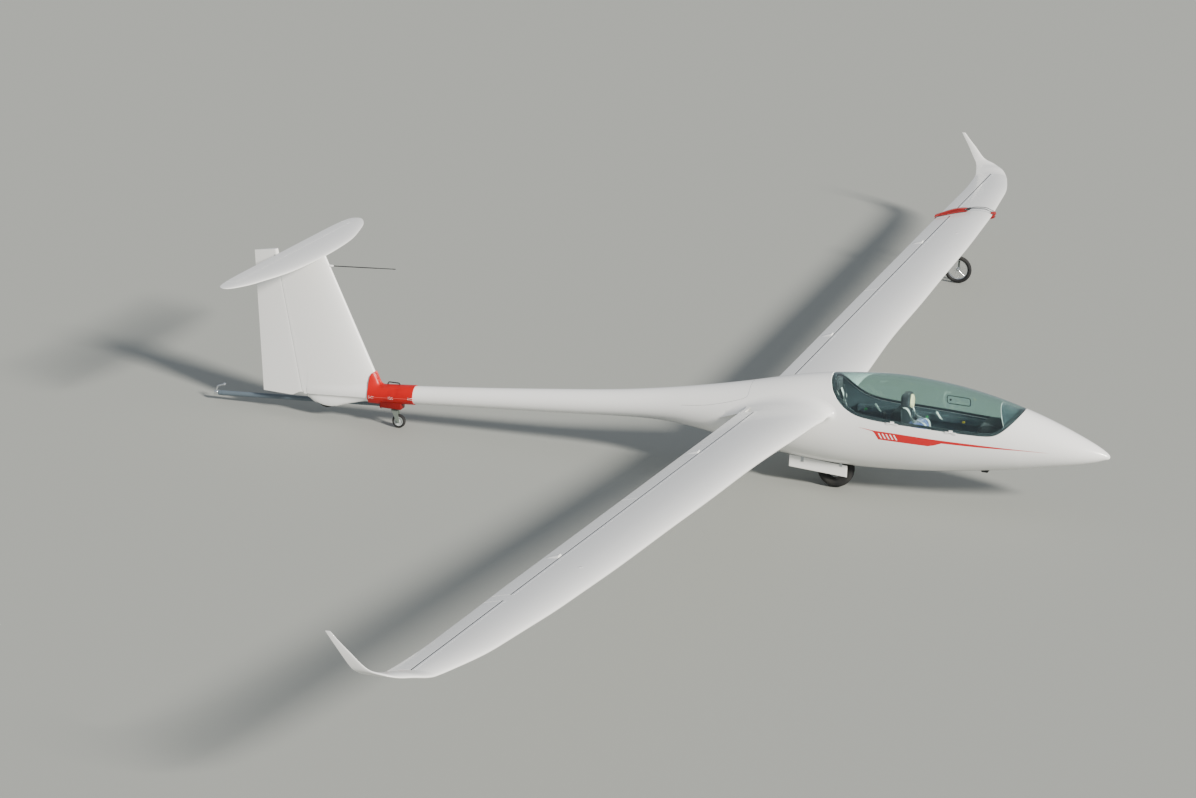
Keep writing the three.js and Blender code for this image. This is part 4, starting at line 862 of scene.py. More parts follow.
def sprayed(name, colour, roughness=0.4, wear=0.12):
    """Sprayed paint over steel or wood: an even colour, dull dusty patches and an orange-peel skin."""
    made, tree, shader = material(name, colour, roughness, ior=1.5)
    place = node(tree, "ShaderNodeTexCoord").outputs["Object"]
    dust = node(tree, "ShaderNodeTexNoise", [("Scale", 14.0), ("Detail", 4.0)], Vector=place)
    gloss = node(tree, "ShaderNodeMapRange", [("To Min", roughness - wear), ("To Max", roughness + wear)],
                 Value=dust.outputs["Fac"])
    tree.links.new(gloss.outputs["Result"], shader.inputs["Roughness"])
    peel = node(tree, "ShaderNodeTexNoise", [("Scale", 320.0)], Vector=place)
    bump = node(tree, "ShaderNodeBump", [("Strength", 0.06), ("Distance", 0.001)], Height=peel.outputs["Fac"])
    tree.links.new(bump.outputs["Normal"], shader.inputs["Normal"])
    return made


# A dark grey strip along the rear edge of each tape, over the gap in front of the moving surface: painted
# shade for the shadow in that gap.
gap_shadow_paint = sprayed("dark_grey_seal_lip", "#25292c", 0.6)
SEAL_GRIP = 0.022
SEAL_REACH = 0.017
GAP_SHADOW_END = 0.005
for label, flip in (("left", 1), ("right", -1)):
    for name, open_span, closed_span in PANELS:
        open_y, closed_y = stations(*open_span), stations(*closed_span, spacing=0.045)
        patches = [wing.skin(y, wing.lip(y, SURFACE_GAP)) for y in (open_y, closed_y)]
        patches.append(wing.hollow(open_y, SURFACE_GAP))
        closed_lip, closed_rear = wing.lip(closed_y, SURFACE_GAP), wing_lines(closed_y)[2]
        sides = [wing.side(closed_y, closed_lip, closed_rear, way) for way in (1, -1)]
        patches += [*sides, np.stack([sides[0][:, -1], sides[1][:, -1]])]
        show(f"{name}_skin_{label}", patches, "glider", "gelcoat", [white_gelcoat], [f"{name}_{label}"],
             flip=flip, close=True)
        for face, way in (("top", 1), ("bottom", -1)):
            start = wing.lip(open_y, SURFACE_GAP) + SEAL_GRIP
            show(f"{name}_seal_{face}_{label}", [wing.tape(open_y, start, HINGE_X + SEAL_REACH, way)],
                 "glider", "gelcoat", [white_film], flip=flip, close=True)
            # The dark strip behind each tape paints the shadow in the gap.
            rear = HINGE_X + SEAL_REACH - 0.0004
            show(f"{name}_seal_lip_{face}_{label}", [wing.tape(open_y, rear, HINGE_X + GAP_SHADOW_END, way)],
                 "glider", "gelcoat", [gap_shadow_paint], flip=flip, close=True)
    for name, start, end in SURFACES:
        rows = wing.moving(stations(start, end))
        body = f"{name.split('_')[0]}_{label}"
        show(f"{name}_skin_{label}", [rows, *ends_of(rows)], body, "gelcoat", [white_gelcoat],
            [f"{name}_{label}"],
             flip=flip)


# Wing tips
# Turned-up glass-fibre tips, plugged into the outer panels. Each sweeps back as it rises.
def tip_row(y):
    """The wing's own section at y, as a row of the tip's table."""
    edge, hinge, rear = wing_lines(y)
    chord = edge - rear
    camber = camber_at((edge - hinge) / chord) * chord
    low = WING_ROOT_Z + WING_SLOPE * y + INCIDENCE * (rear - hinge) - camber
    return [y, low, edge, rear, np.interp(y, wing_table[:, 0], wing_table[:, 3]), 0.0]


tip_table = spline([tip_row(9.30), tip_row(TIP_JOINT), *TIP], 900)
tip_start = np.argmin(np.abs(tip_table[:, 0] - TIP_JOINT))
tip_table = tip_table[np.linspace(tip_start, len(tip_table) - 1, 56).astype(int)]
tip_table[0] = tip_row(TIP_JOINT)
tip_y, tip_z, tip_edge, tip_rear, tip_ratio, tip_cant = [tip_table[:, c, None] for c in range(6)]
across_tip = np.linspace(-1, 1, 53)
share = (1 - np.cos(np.abs(across_tip) * np.pi / 2)) ** 1.15
tip_chord = tip_edge - tip_rear
lift = -np.sign(across_tip) * (half_thickness(share) * tip_ratio * tip_chord + EDGE_HALF * share)
lift = lift + camber_at(share) * tip_chord + INCIDENCE * (1 - share) * tip_chord * np.cos(tip_cant)
tip_rows = np.stack(np.broadcast_arrays(
    tip_edge - share * tip_chord, tip_y - lift * np.sin(tip_cant), tip_z + lift * np.cos(tip_cant),
), axis=-1)
tip_rows = ring_of(tip_rows)
for label, flip in (("left", 1), ("right", -1)):
    show(f"wing_tip_skin_{label}", [tip_rows, *ends_of(tip_rows)], "glider", "gelcoat", [white_gelcoat],
         [f"wing_tip_{label}"], flip=flip)


# Wing root fairings
# Glass fibre moulded onto the fuselage sides. The surface runs on from the wing and turns up, down, ahead
# and back into the fuselage in one hollow curve.
ROOT_FAIRING = np.array([
    # y, leading edge x, trailing edge x, thickness, rise, drop of the trailing edge
    [0.6047, 0.018, -0.822, 0.122, 0.000, 0.000],
    [0.570, 0.018, -0.838, 0.123, 0.000, 0.000],
    [0.530, 0.019, -0.868, 0.126, 0.000, 0.000],
    [0.490, 0.020, -0.908, 0.132, 0.001, 0.002],
    [0.450, 0.023, -0.955, 0.142, 0.002, 0.008],
    [0.410, 0.028, -1.010, 0.157, 0.004, 0.035],
    [0.370, 0.038, -1.078, 0.177, 0.006, 0.072],
    [0.330, 0.052, -1.145, 0.198, 0.008, 0.116],
    [0.280, 0.074, -1.205, 0.220, 0.008, 0.190],
    [0.230, 0.100, -1.245, 0.240, 0.008, 0.290],
])
FILLET = {"spread": 0.035, "along_wing": 0.13, "along_hull": 0.075, "steps": 20, "sunk": 0.003}
fair_y, fair_edge, fair_rear, fair_thick, fair_rise, fair_drop = [ROOT_FAIRING[:, c, None] for c in range(6)]
across_root = np.linspace(-1, 1, 65)
share = (1 - np.cos(np.abs(across_root) * np.pi / 2)) ** 1.15
root_edge, _, root_rear = wing_lines(np.array([[WING_ROOT_Y]]))
fair_middle = wing_middle(np.array([[WING_ROOT_Y]]), root_edge - share * (root_edge - root_rear))
fair_middle = fair_middle - WING_SLOPE * (WING_ROOT_Y - fair_y) + fair_rise - fair_drop * share ** 2.5
fair_half = half_thickness(share) * fair_thick + EDGE_HALF * share
streams = spline(np.stack(np.broadcast_arrays(
    fair_edge - share * (fair_edge - fair_rear), fair_y, fair_middle - np.sign(across_root) * fair_half,
), axis=-1), 400)
_, hull_wide, hull_high = hull_at(streams[..., 0])
hull_middle = hull_at(streams[..., 0])[0]
outside = np.hypot(streams[..., 1] / hull_wide, (streams[..., 2] - hull_middle) / hull_high) - 1
meets = np.argmax(outside < 0, axis=0)


def on_hull(points, depth=0.0):
    """Points moved sideways onto the skin, or to a depth below it, and the skin's normals there."""
    middle, wide, high = hull_at(points[:, 0])
    rise = np.clip((points[:, 2] - middle) / high, -0.98, 0.98)
    level = np.sqrt(1 - rise ** 2)
    place = np.stack([points[:, 0], (wide - depth) * level, points[:, 2]], axis=1)
    growth = (np.array(hull_at(points[:, 0] + 0.01)) - np.array(hull_at(points[:, 0] - 0.01))) / 0.02
    normal = np.stack([-(growth[1] * level ** 2 + growth[2] * rise ** 2 + growth[0] * rise),
                       high / wide * level, rise], axis=1)
    normal[:, 1] = level * high / wide
    return place, normal / np.linalg.norm(normal, axis=1)[:, None]


foot, normal = on_hull(streams[meets, np.arange(len(across_root))])
loop = np.gradient(foot, axis=0)
leave = np.cross(loop, normal)
leave /= np.linalg.norm(leave, axis=1)[:, None]
if leave[len(leave) // 2, 0] < 0:
    leave = -leave
back = np.array([-1.0, 0.0, 0.0]) - normal * (normal @ np.array([-1.0, 0.0, 0.0]))[:, None]
toward_rear = np.clip((np.abs(across_root) - 0.75) / 0.25, 0, 1)[:, None]
leave = leave * (1 - toward_rear) + back * toward_rear
leave /= np.linalg.norm(leave, axis=1)[:, None]
foot, normal = on_hull(foot + FILLET["spread"] * leave)
leave -= normal * np.sum(leave * normal, axis=1)[:, None]
root_ring = wing.skin(np.array([[WING_ROOT_Y]]), root_rear, columns=32)[0]
steps = np.linspace(0, 1, FILLET["steps"])[:, None, None]
control = (
    root_ring,
    root_ring + np.array([0, -1, -WING_SLOPE]) * FILLET["along_wing"],
    foot - leave * FILLET["along_hull"],
    foot,
)
fairing_rows = sum(
    weight * steps ** i * (1 - steps) ** (3 - i) * point
    for i, (weight, point) in enumerate(zip((1, 3, 3, 1), control))
)
sunk = foot + 0.006 * leave - FILLET["sunk"] * normal
fairing_rows = ring_of(np.concatenate([fairing_rows, sunk[None]]))
for label, flip in (("left", 1), ("right", -1)):
    show(f"root_fairing_{label}", [fairing_rows, *ends_of(fairing_rows)], "glider", "gelcoat",
        [white_gelcoat],
         flip=flip)


# Canopy
# One blown sheet of tinted acrylic, glued onto a narrow laminate frame that hinges on the right rail.
# The sheet runs out to the edge, so the frame shows through it as a dark band.
CANOPY_GAP = 0.006
GLASS = 0.005
FRAME = {"width": 0.024, "top": 0.0054, "bottom": 0.018}
tinted_acrylic, acrylic_tree, acrylic_shader = material("tinted_blown_acrylic", "#d2ece6", 0.02, ior=1.49)
acrylic_shader.inputs["Transmission Weight"].default_value = 1.0
acrylic_shader.inputs["Specular IOR Level"].default_value = 0.25
acrylic_haze = node(acrylic_tree, "ShaderNodeTexNoise", [("Scale", 2.5), ("Detail", 4.0)],
                    Vector=node(acrylic_tree, "ShaderNodeTexCoord").outputs["Object"])
acrylic_wipe = node(acrylic_tree, "ShaderNodeMapRange", [("From Min", 0.5), ("From Max", 0.8), ("To Min",
    0.01),
                    ("To Max", 0.05)], Value=acrylic_haze.outputs["Fac"])
acrylic_tree.links.new(acrylic_wipe.outputs["Result"], acrylic_shader.inputs["Roughness"])
sheet_layers = []
for depth in (0.0, GLASS):
    x, turn = rail(CANOPY_GAP, depth, rail_shares)
    over = turn[:, None] + (np.pi - 2 * turn[:, None]) * np.linspace(0, 1, 45)
    sheet_layers.append(hull_point(x[:, None], over, depth))
sheet_edge = [np.stack([layer[:, column] for layer in sheet_layers]) for column in (0, -1)]
bubble = show("canopy_bubble", [*sheet_layers, *sheet_edge], "canopy", "canopy_acrylic", [tinted_acrylic],
              ["canopy_glass"])
# A clear sheet lets the lamp's light in, which the renderer's shadows would otherwise keep out.
bubble.visible_shadow = False

dark_laminate, laminate_tree, laminate_shader = material("dark_painted_laminate", "#1d2226", 0.42, ior=1.5)
# Spray-painted laminate has an orange-peel skin of about 3 mm; drawn at 6 mm.
laminate_peel = node(laminate_tree, "ShaderNodeTexNoise", [("Scale", 160.0)],
                     Vector=node(laminate_tree, "ShaderNodeTexCoord").outputs["Object"])
laminate_bump = node(laminate_tree, "ShaderNodeBump", [("Strength", 0.12), ("Distance", 0.001)],
                     Height=laminate_peel.outputs["Fac"])
laminate_tree.links.new(laminate_bump.outputs["Normal"], laminate_shader.inputs["Normal"])
edges = [hull_point(*rail(inset, depth, rail_shares), depth) for inset, depth in (
    (CANOPY_GAP, FRAME["top"]), (CANOPY_GAP + FRAME["width"], FRAME["top"]),
    (CANOPY_GAP + FRAME["width"], FRAME["bottom"]), (CANOPY_GAP, FRAME["bottom"]),
)]
band = np.stack([*edges, edges[0]], axis=1)
show("canopy_rim", [band, band * [1, -1, 1]], "canopy", "dark_frame", [dark_laminate], ["canopy_frame"])


# Canopy hinges
# Two white-painted steel hinges on the right rail. The outer knuckles are bonded to the shell, the middle one
# to the frame.
HINGE_LINE = np.array([[0.450, -0.377, 0.801], [1.400, -0.350, 0.770]])
HINGE_PLACES = {"rear": 0.620, "front": 1.180}
KNUCKLE = {"radius": 0.005, "length": 0.036, "leaf": 0.018}


def tube(path, radius, sides=14, squash=1.0):
    """Closed rows round a path of points, drawn to a point at both ends. The radius may change along it."""
    path = np.asarray(path, float)
    radius = np.broadcast_to(np.asarray(radius, float), len(path))
    ahead = np.gradient(path, axis=0)
    ahead /= np.linalg.norm(ahead, axis=1)[:, None]
    across = np.cross(ahead[0], [0.0, 0.0, 1.0] if abs(ahead[0][2]) < 0.8 else [0.0, 1.0, 0.0])
    turn = np.linspace(0, 2 * np.pi, sides + 1)[:, None]
    rows = [np.broadcast_to(path[0], (sides + 1, 3))]
    for place, way, r in zip(path, ahead, radius):
        across = across - way * (across @ way)
        across /= np.linalg.norm(across)
        rows.append(place + r * (np.cos(turn) * across + squash * np.sin(turn) * np.cross(way, across)))
    rows.append(np.broadcast_to(path[-1], (sides + 1, 3)))
    return np.stack(rows)


def rounded(start, end, radius, ease=0.0015, **settings):
    """A straight bar between two points, with its ends eased."""
    start, end = np.asarray(start, float), np.asarray(end, float)
    way = (end - start) / np.linalg.norm(end - start)
    path = [start, start + way * ease, end - way * ease, end]
    return tube(path, [radius - ease, radius, radius, radius - ease], **settings)


def turned(profile, centre, axis=(0.0, 1.0, 0.0), sides=48):
    """Closed rows of a body turned about an axis, from (place along the axis, radius) points."""
    axis = np.asarray(axis, float) / np.linalg.norm(axis)
    first = np.cross(axis, [1.0, 0.0, 0.0] if abs(axis[0]) < 0.8 else [0.0, 0.0, 1.0])
    first /= np.linalg.norm(first)
    turn = np.linspace(0, 2 * np.pi, sides + 1)[:, None]
    around = np.cos(turn) * first + np.sin(turn) * np.cross(axis, first)
    return np.stack([np.asarray(centre) + along * axis + radius * around for along, radius in profile])


def block(x, y, z):
    """Grids of a box between pairs of x, y and z. A bevel is added with eased()."""
    corner = np.array([[[(x[i], y[j], z[k]) for k in (0, 1)] for j in (0, 1)] for i in (0, 1)])
    return [corner[0], corner[1], corner[:, 0], corner[:, 1], corner[:, :, 0], corner[:, :, 1]]


def eased(piece, width, segments=3):
    """Rounds a piece's edges with a bevel and applies it."""
    bevel = piece.modifiers.new("ease", "BEVEL")
    bevel.width = width
    bevel.segments = segments
    bevel.limit_method = "ANGLE"
    bevel.angle_limit = math.radians(32)
    bake(piece)
    piece.data.set_sharp_from_angle(angle=math.radians(32))
    return piece


def brushed_metal(name, colour, roughness, grain=60.0):
    """Bare metal with fine lines from the brush or the draw die, and a few dull patches."""
    made, tree, shader = material(name, colour, roughness, metallic=1.0)
    place = node(tree, "ShaderNodeTexCoord").outputs["Object"]
    stretch = node(tree, "ShaderNodeMapping", [("Scale", (1.0, 6.0, 6.0))], Vector=place)
    lines = node(tree, "ShaderNodeTexNoise", [("Scale", grain), ("Detail", 3.0)],
        Vector=stretch.outputs["Vector"])
    gloss = node(tree, "ShaderNodeMapRange", [("To Min", roughness * 0.7), ("To Max", roughness * 1.35)],
                 Value=lines.outputs["Fac"])
    tree.links.new(gloss.outputs["Result"], shader.inputs["Roughness"])
    return made


steel = brushed_metal("zinc_plated_steel", "#a8abad", 0.36)
hinge_way = (HINGE_LINE[1] - HINGE_LINE[0]) / (HINGE_LINE[1] - HINGE_LINE[0])[0]
for label, x in HINGE_PLACES.items():
    length = KNUCKLE["length"]
    for part, starts, way in (("frame", [-0.5], 1), ("rail", [-1.5, 0.5], -1)):
        patches = []
        for start in starts:
            a, b = [HINGE_LINE[0] + hinge_way * (x + (start + end) * length + trim - HINGE_LINE[0][0])
                    for end, trim in ((0, 0.0006), (1, -0.0006))]
            patches.append(rounded(a, b, KNUCKLE["radius"], ease=0.001, sides=20))
            y, z = (a[1] + b[1]) / 2, (a[2] + b[2]) / 2
            patches += block((a[0], b[0]), (y + 0.002, y + KNUCKLE["leaf"]),
                             sorted((z + way * 0.0025, z + way * KNUCKLE["leaf"])))
        show(f"canopy_hinge_{part}_{label}", patches, "canopy" if part == "frame" else "glider", "gelcoat",
             [white_gelcoat])


# Side flash
# A red vinyl flash along each side, with slanting white marks at its rear end. The name on it is left off.
FLASH_TOP = np.array([
    # x, height in side view
    [0.303, 0.7225], [0.453, 0.7075], [0.650, 0.7030], [1.015, 0.6905], [1.450, 0.6810], [1.800, 0.6715],
    [2.090, 0.6612],
])
FLASH_LOW = np.array([
    [0.303, 0.7215], [0.434, 0.7000], [0.456, 0.6860], [0.498, 0.6250], [0.970, 0.6170], [1.030, 0.6320],
    [1.100, 0.6600], [1.450, 0.6590], [1.800, 0.6640], [2.090, 0.6606],
])
FLASH_FILM = 0.0004
MARKS = {"count": 5, "x": 0.492, "pitch": 0.0365, "width": 0.013, "low": 0.640, "high": 0.688,
    "slant": -0.030}


def side_strip(x, low, high, lift, rows=5):
    """Closed rows of a film on the left side of the hull, between two heights at each x."""
    z = low[:, None] + (high - low)[:, None] * np.linspace(0, 1, rows)
    layers = []
    for depth in (-lift, 0.0005):
        middle, _, half_height = hull_at(x[:, None])
        layers.append(hull_point(x[:, None], np.arcsin((z - middle) / (half_height - depth)), depth))
    return ring_of(layers[0], layers[1][:, ::-1])


def vinyl(name, colour):
    """Cut self-adhesive vinyl: smooth, softly glossy, with faint ripples."""
    made, tree, shader = material(name, colour, 0.28, ior=1.52, coat=0.3)
    ripple = node(tree, "ShaderNodeTexNoise", [("Scale", 14.0), ("Detail", 2.0)],
                  Vector=node(tree, "ShaderNodeTexCoord").outputs["Object"])
    bump = node(tree, "ShaderNodeBump", [("Strength", 0.05), ("Distance", 0.002)],
        Height=ripple.outputs["Fac"])
    tree.links.new(bump.outputs["Normal"], shader.inputs["Normal"])
    return made


red_vinyl, white_vinyl = vinyl("red_cut_vinyl", "#c4161c"), vinyl("white_cut_vinyl", "#f4f4f2")
flash_x = np.unique(np.concatenate([FLASH_LOW[:, 0], np.linspace(0.303, 0.52, 30),
    np.linspace(0.53, 2.09, 105)]))
flash_rows = side_strip(flash_x, np.interp(flash_x, *FLASH_LOW.T), np.interp(flash_x, *FLASH_TOP.T),
    FLASH_FILM)
for label, flip in (("left", 1), ("right", -1)):
    show(f"side_flash_{label}", [flash_rows, *ends_of(flash_rows)], "glider", "gelcoat", [red_vinyl],
        flip=flip,
         weld=1e-5)
    marks = []
    for i in range(MARKS["count"]):
        z = np.linspace(MARKS["low"], MARKS["high"], 5)[:, None]
        lean = MARKS["slant"] * (z - MARKS["high"]) / (MARKS["high"] - MARKS["low"])
        start = MARKS["x"] + MARKS["pitch"] * i + lean
        x = start + MARKS["width"] * np.array([0.0, 0.5, 1.0])
        middle, _, half_height = hull_at(x)
        layers = [hull_point(x, np.arcsin((z - middle) / (half_height - depth)), depth)
                  for depth in (-2 * FLASH_FILM, -FLASH_FILM / 2)]
        mark = ring_of(layers[0], layers[1][:, ::-1])
        marks += [mark, *ends_of(mark)]
    show(f"flash_marks_{label}", marks, "glider", "gelcoat", [white_vinyl], flip=flip, weld=1e-5)


# Joint lines of the fuselage
# The edges of the hatch behind the wing.
HATCH = np.array([
    # x, turn about the middle line from the left side, in degrees
    [-0.835, 90], [-0.835, 70], [-0.833, 50], [-0.838, 42], [-0.870, 37], [-1.000, 30], [-1.200, 21],
    [-1.360, 16],
    [-1.500, 14],
])
SEAM = {"width": 0.0028, "lift": 0.0002}


def seam_rows(x, turn):
    """Closed rows of a narrow line laid on the hull's skin."""
    line = hull_point(x, turn)
    ahead = np.gradient(line, axis=0)
    normal = hull_point(x, turn, -0.01) - line
    sideways = np.cross(ahead, normal)
    sideways *= SEAM["width"] / 2 / np.linalg.norm(sideways, axis=1)[:, None]
    normal /= np.linalg.norm(normal, axis=1)[:, None]
    top, sunk = line + SEAM["lift"] * normal, line - 0.0006 * normal
    return np.stack([top - sideways, top + sideways, sunk + sideways, sunk - sideways, top - sideways],
        axis=1)


joint_filler, filler_tree, filler_shader = material("grey_joint_filler", "#8e9190", 0.7)
filler_dirt = node(filler_tree, "ShaderNodeTexNoise", [("Scale", 30.0)],
                   Vector=node(filler_tree, "ShaderNodeTexCoord").outputs["Object"])
filler_shades = node(filler_tree, "ShaderNodeMix", [("data_type", "RGBA"), (6, linear("#7b7e7d")),
                     (7, linear("#a5a8a6"))])
filler_tree.links.new(filler_dirt.outputs["Fac"], filler_shades.inputs[0])
filler_tree.links.new(filler_shades.outputs[2], filler_shader.inputs["Base Color"])
hatch_line = spline(HATCH * [1, math.pi / 180], 60)
hatch_rows = seam_rows(hatch_line[:, 0], hatch_line[:, 1])
show("hatch_edges", [hatch_rows, hatch_rows * [1, -1, 1]], "glider", "gelcoat", [joint_filler], close=True)


# Seats
# Two folded laminate shells with rolled sides, sprayed dark grey. They are screwed to ribs in the shell.
SEATS = {
    "front": {
        "line": [[0.650, 0.880], [0.665, 0.700], [0.705, 0.470], [0.760, 0.395], [0.900, 0.372],
        [1.180, 0.400]],
        "half": 0.22,
    },
    "rear": {
        "line": [[-0.010, 0.960], [0.030, 0.760], [0.085, 0.545], [0.130, 0.468], [0.222, 0.465],
        [0.450, 0.486]],
        "half": 0.20,
    },
}
SHELL = {"thick": 0.009, "dish": 0.018, "room": 0.017}


def seat_line(line, count):
    """Smooth side view of a seat: its points in x and z, and the directions towards the sitter."""
    path = spline(line, count)
    ahead = np.gradient(path, axis=0)
    ahead /= np.linalg.norm(ahead, axis=1)[:, None]
    return path, np.stack([-ahead[:, 1], ahead[:, 0]], axis=1)


def seat_point(path, toward, y, height):
    """Points over a seat: at y, and at a height above its dished face."""
    lifted = path[:, None] + toward[:, None] * np.asarray(height)[..., None]
    x, z, y = np.broadcast_arrays(lifted[..., 0], lifted[..., 1], y)
    return np.stack([x, y, z], axis=-1)


def room_at(x, z):
    """Half width of the cockpit inside the skin."""
    middle, half_width, half_height = hull_at(x)
    rise = np.clip((z - middle) / (half_height - SHELL["room"]), -1, 1)
    return (half_width - SHELL["room"]) * np.sqrt(1 - rise ** 2)


seat_paint = sprayed("dark_grey_seat_paint", "#161d22", 0.55)
for name, seat in SEATS.items():
    path, toward = seat_line(seat["line"], 56)
    half = np.minimum(seat["half"], room_at(path[:, 0], path[:, 1] - 0.004))[:, None]
    y = half * np.linspace(-1, 1, 27)
    dish = SHELL["dish"] * np.abs(y / seat["half"]) ** 4
    rows = ring_of(
        seat_point(path, toward, y, dish - 0.0005),
        seat_point(path, toward, y[:, ::-1], dish[:, ::-1] - 0.0005 - SHELL["thick"]),
    )
    eased(show(f"{name}_seat_shell", [rows, *ends_of(rows)], "glider", "cockpit_lining", [seat_paint],
               [f"{name}_seat"]), 0.002)


# Seat cushions
# One folded pad on each seat: polyester wadding in a sewn cover of blue woven cloth, with cross channels and
# piping round its edge. The cover is swelled by a cloth simulation, and the channels are drawn in after it.
CUSHION = {"start": 0.001, "thick": 0.037, "end": 0.030, "margin": 0.030, "voxel": 0.006, "cap": 0.007}
CHANNELS = {"front": (0.16, 0.33, 0.52, 0.66, 0.80), "rear": (0.20, 0.42, 0.62, 0.80)}
CHANNEL = {"depth": 0.006, "half": 0.009}
PIPING = 0.0035
blue_cloth, cloth_tree, cloth_shader = material("blue_woven_upholstery", "#2b4898", 0.82, ior=1.45)
cloth_shader.inputs["Sheen Weight"].default_value = 0.45
cloth_shader.inputs["Sheen Roughness"].default_value = 0.5
# Upholstery yarn lies about 1.2 mm apart; drawn at 5 mm, so that it shows at all.
cloth_place = node(cloth_tree, "ShaderNodeTexCoord").outputs["Object"]
warp = node(cloth_tree, "ShaderNodeTexWave", [("bands_direction", "Y"), ("Scale", 63.0), ("Distortion", 0.6)],
            Vector=cloth_place)
weft = node(cloth_tree, "ShaderNodeTexWave", [("bands_direction", "DIAGONAL"), ("Scale", 45.0),
    ("Distortion", 0.6)],
            Vector=cloth_place)
weave = node(cloth_tree, "ShaderNodeMath", [("operation", "MULTIPLY")])
cloth_tree.links.new(warp.outputs["Fac"], weave.inputs[0])
cloth_tree.links.new(weft.outputs["Fac"], weave.inputs[1])
cloth_shades = node(cloth_tree, "ShaderNodeMix", [("data_type", "RGBA"), (6, linear("#20387c")),
                    (7, linear("#3a5cb4"))])
cloth_tree.links.new(weave.outputs[0], cloth_shades.inputs[0])
cloth_tree.links.new(cloth_shades.outputs[2], cloth_shader.inputs["Base Color"])
cloth_bump = node(cloth_tree, "ShaderNodeBump", [("Strength", 0.35), ("Distance", 0.001)],
                  Height=weave.outputs[0])
cloth_tree.links.new(cloth_bump.outputs["Normal"], cloth_shader.inputs["Normal"])


def coordinates(mesh):
    """The mesh's points as an array."""
    points = np.empty(len(mesh.vertices) * 3)
    mesh.vertices.foreach_get("co", points)
    return points.reshape(-1, 3)


def swell(piece, voxel, cap, held):
    """Blows a pad up as a sewn cover; each point's move is capped and weighted by held(points)."""
    remesh = piece.modifiers.new("even", "REMESH")
    remesh.mode = "VOXEL"
    remesh.voxel_size = voxel
    remesh.use_smooth_shade = True
    bake(piece)
    start = coordinates(piece.data)
    cloth = piece.modifiers.new("cover", "CLOTH")
    cloth.settings.quality = 4
    cloth.settings.mass = 0.15
    cloth.settings.tension_stiffness = 10
    cloth.settings.compression_stiffness = 10
    cloth.settings.bending_stiffness = 0.3
    cloth.settings.use_pressure = True
    cloth.settings.uniform_pressure_force = 4
    cloth.settings.effector_weights.gravity = 0
    cloth.point_cache.frame_start, cloth.point_cache.frame_end = 1, 20
    for step in range(1, 21):
        bpy.context.scene.frame_set(step)
    depsgraph = bpy.context.evaluated_depsgraph_get()
    moved = coordinates(piece.evaluated_get(depsgraph).data) - start
    piece.modifiers.clear()
    bpy.context.scene.frame_set(1)
    length = np.linalg.norm(moved, axis=1)[:, None]
    moved *= np.minimum(1, cap / np.maximum(length, 1e-9)) * held(start)[:, None]
    piece.data.vertices.foreach_set("co", (start + moved).ravel())
    finer = piece.modifiers.new("finer", "SUBSURF")
    finer.levels = finer.render_levels = 1
    bake(piece)
    for polygon in piece.data.polygons:
        polygon.use_smooth = True


def unsettle(points):
    """Points of the parked glider, moved back to the level glider's axes."""
    points = points - FRAME_SHIFT
    lean, rise = math.cos(BANK), math.sin(BANK)
    x, y, z = points[..., 0], points[..., 1], points[..., 2]
    return np.stack([x, lean * y + rise * z, -rise * y + lean * z], axis=-1)


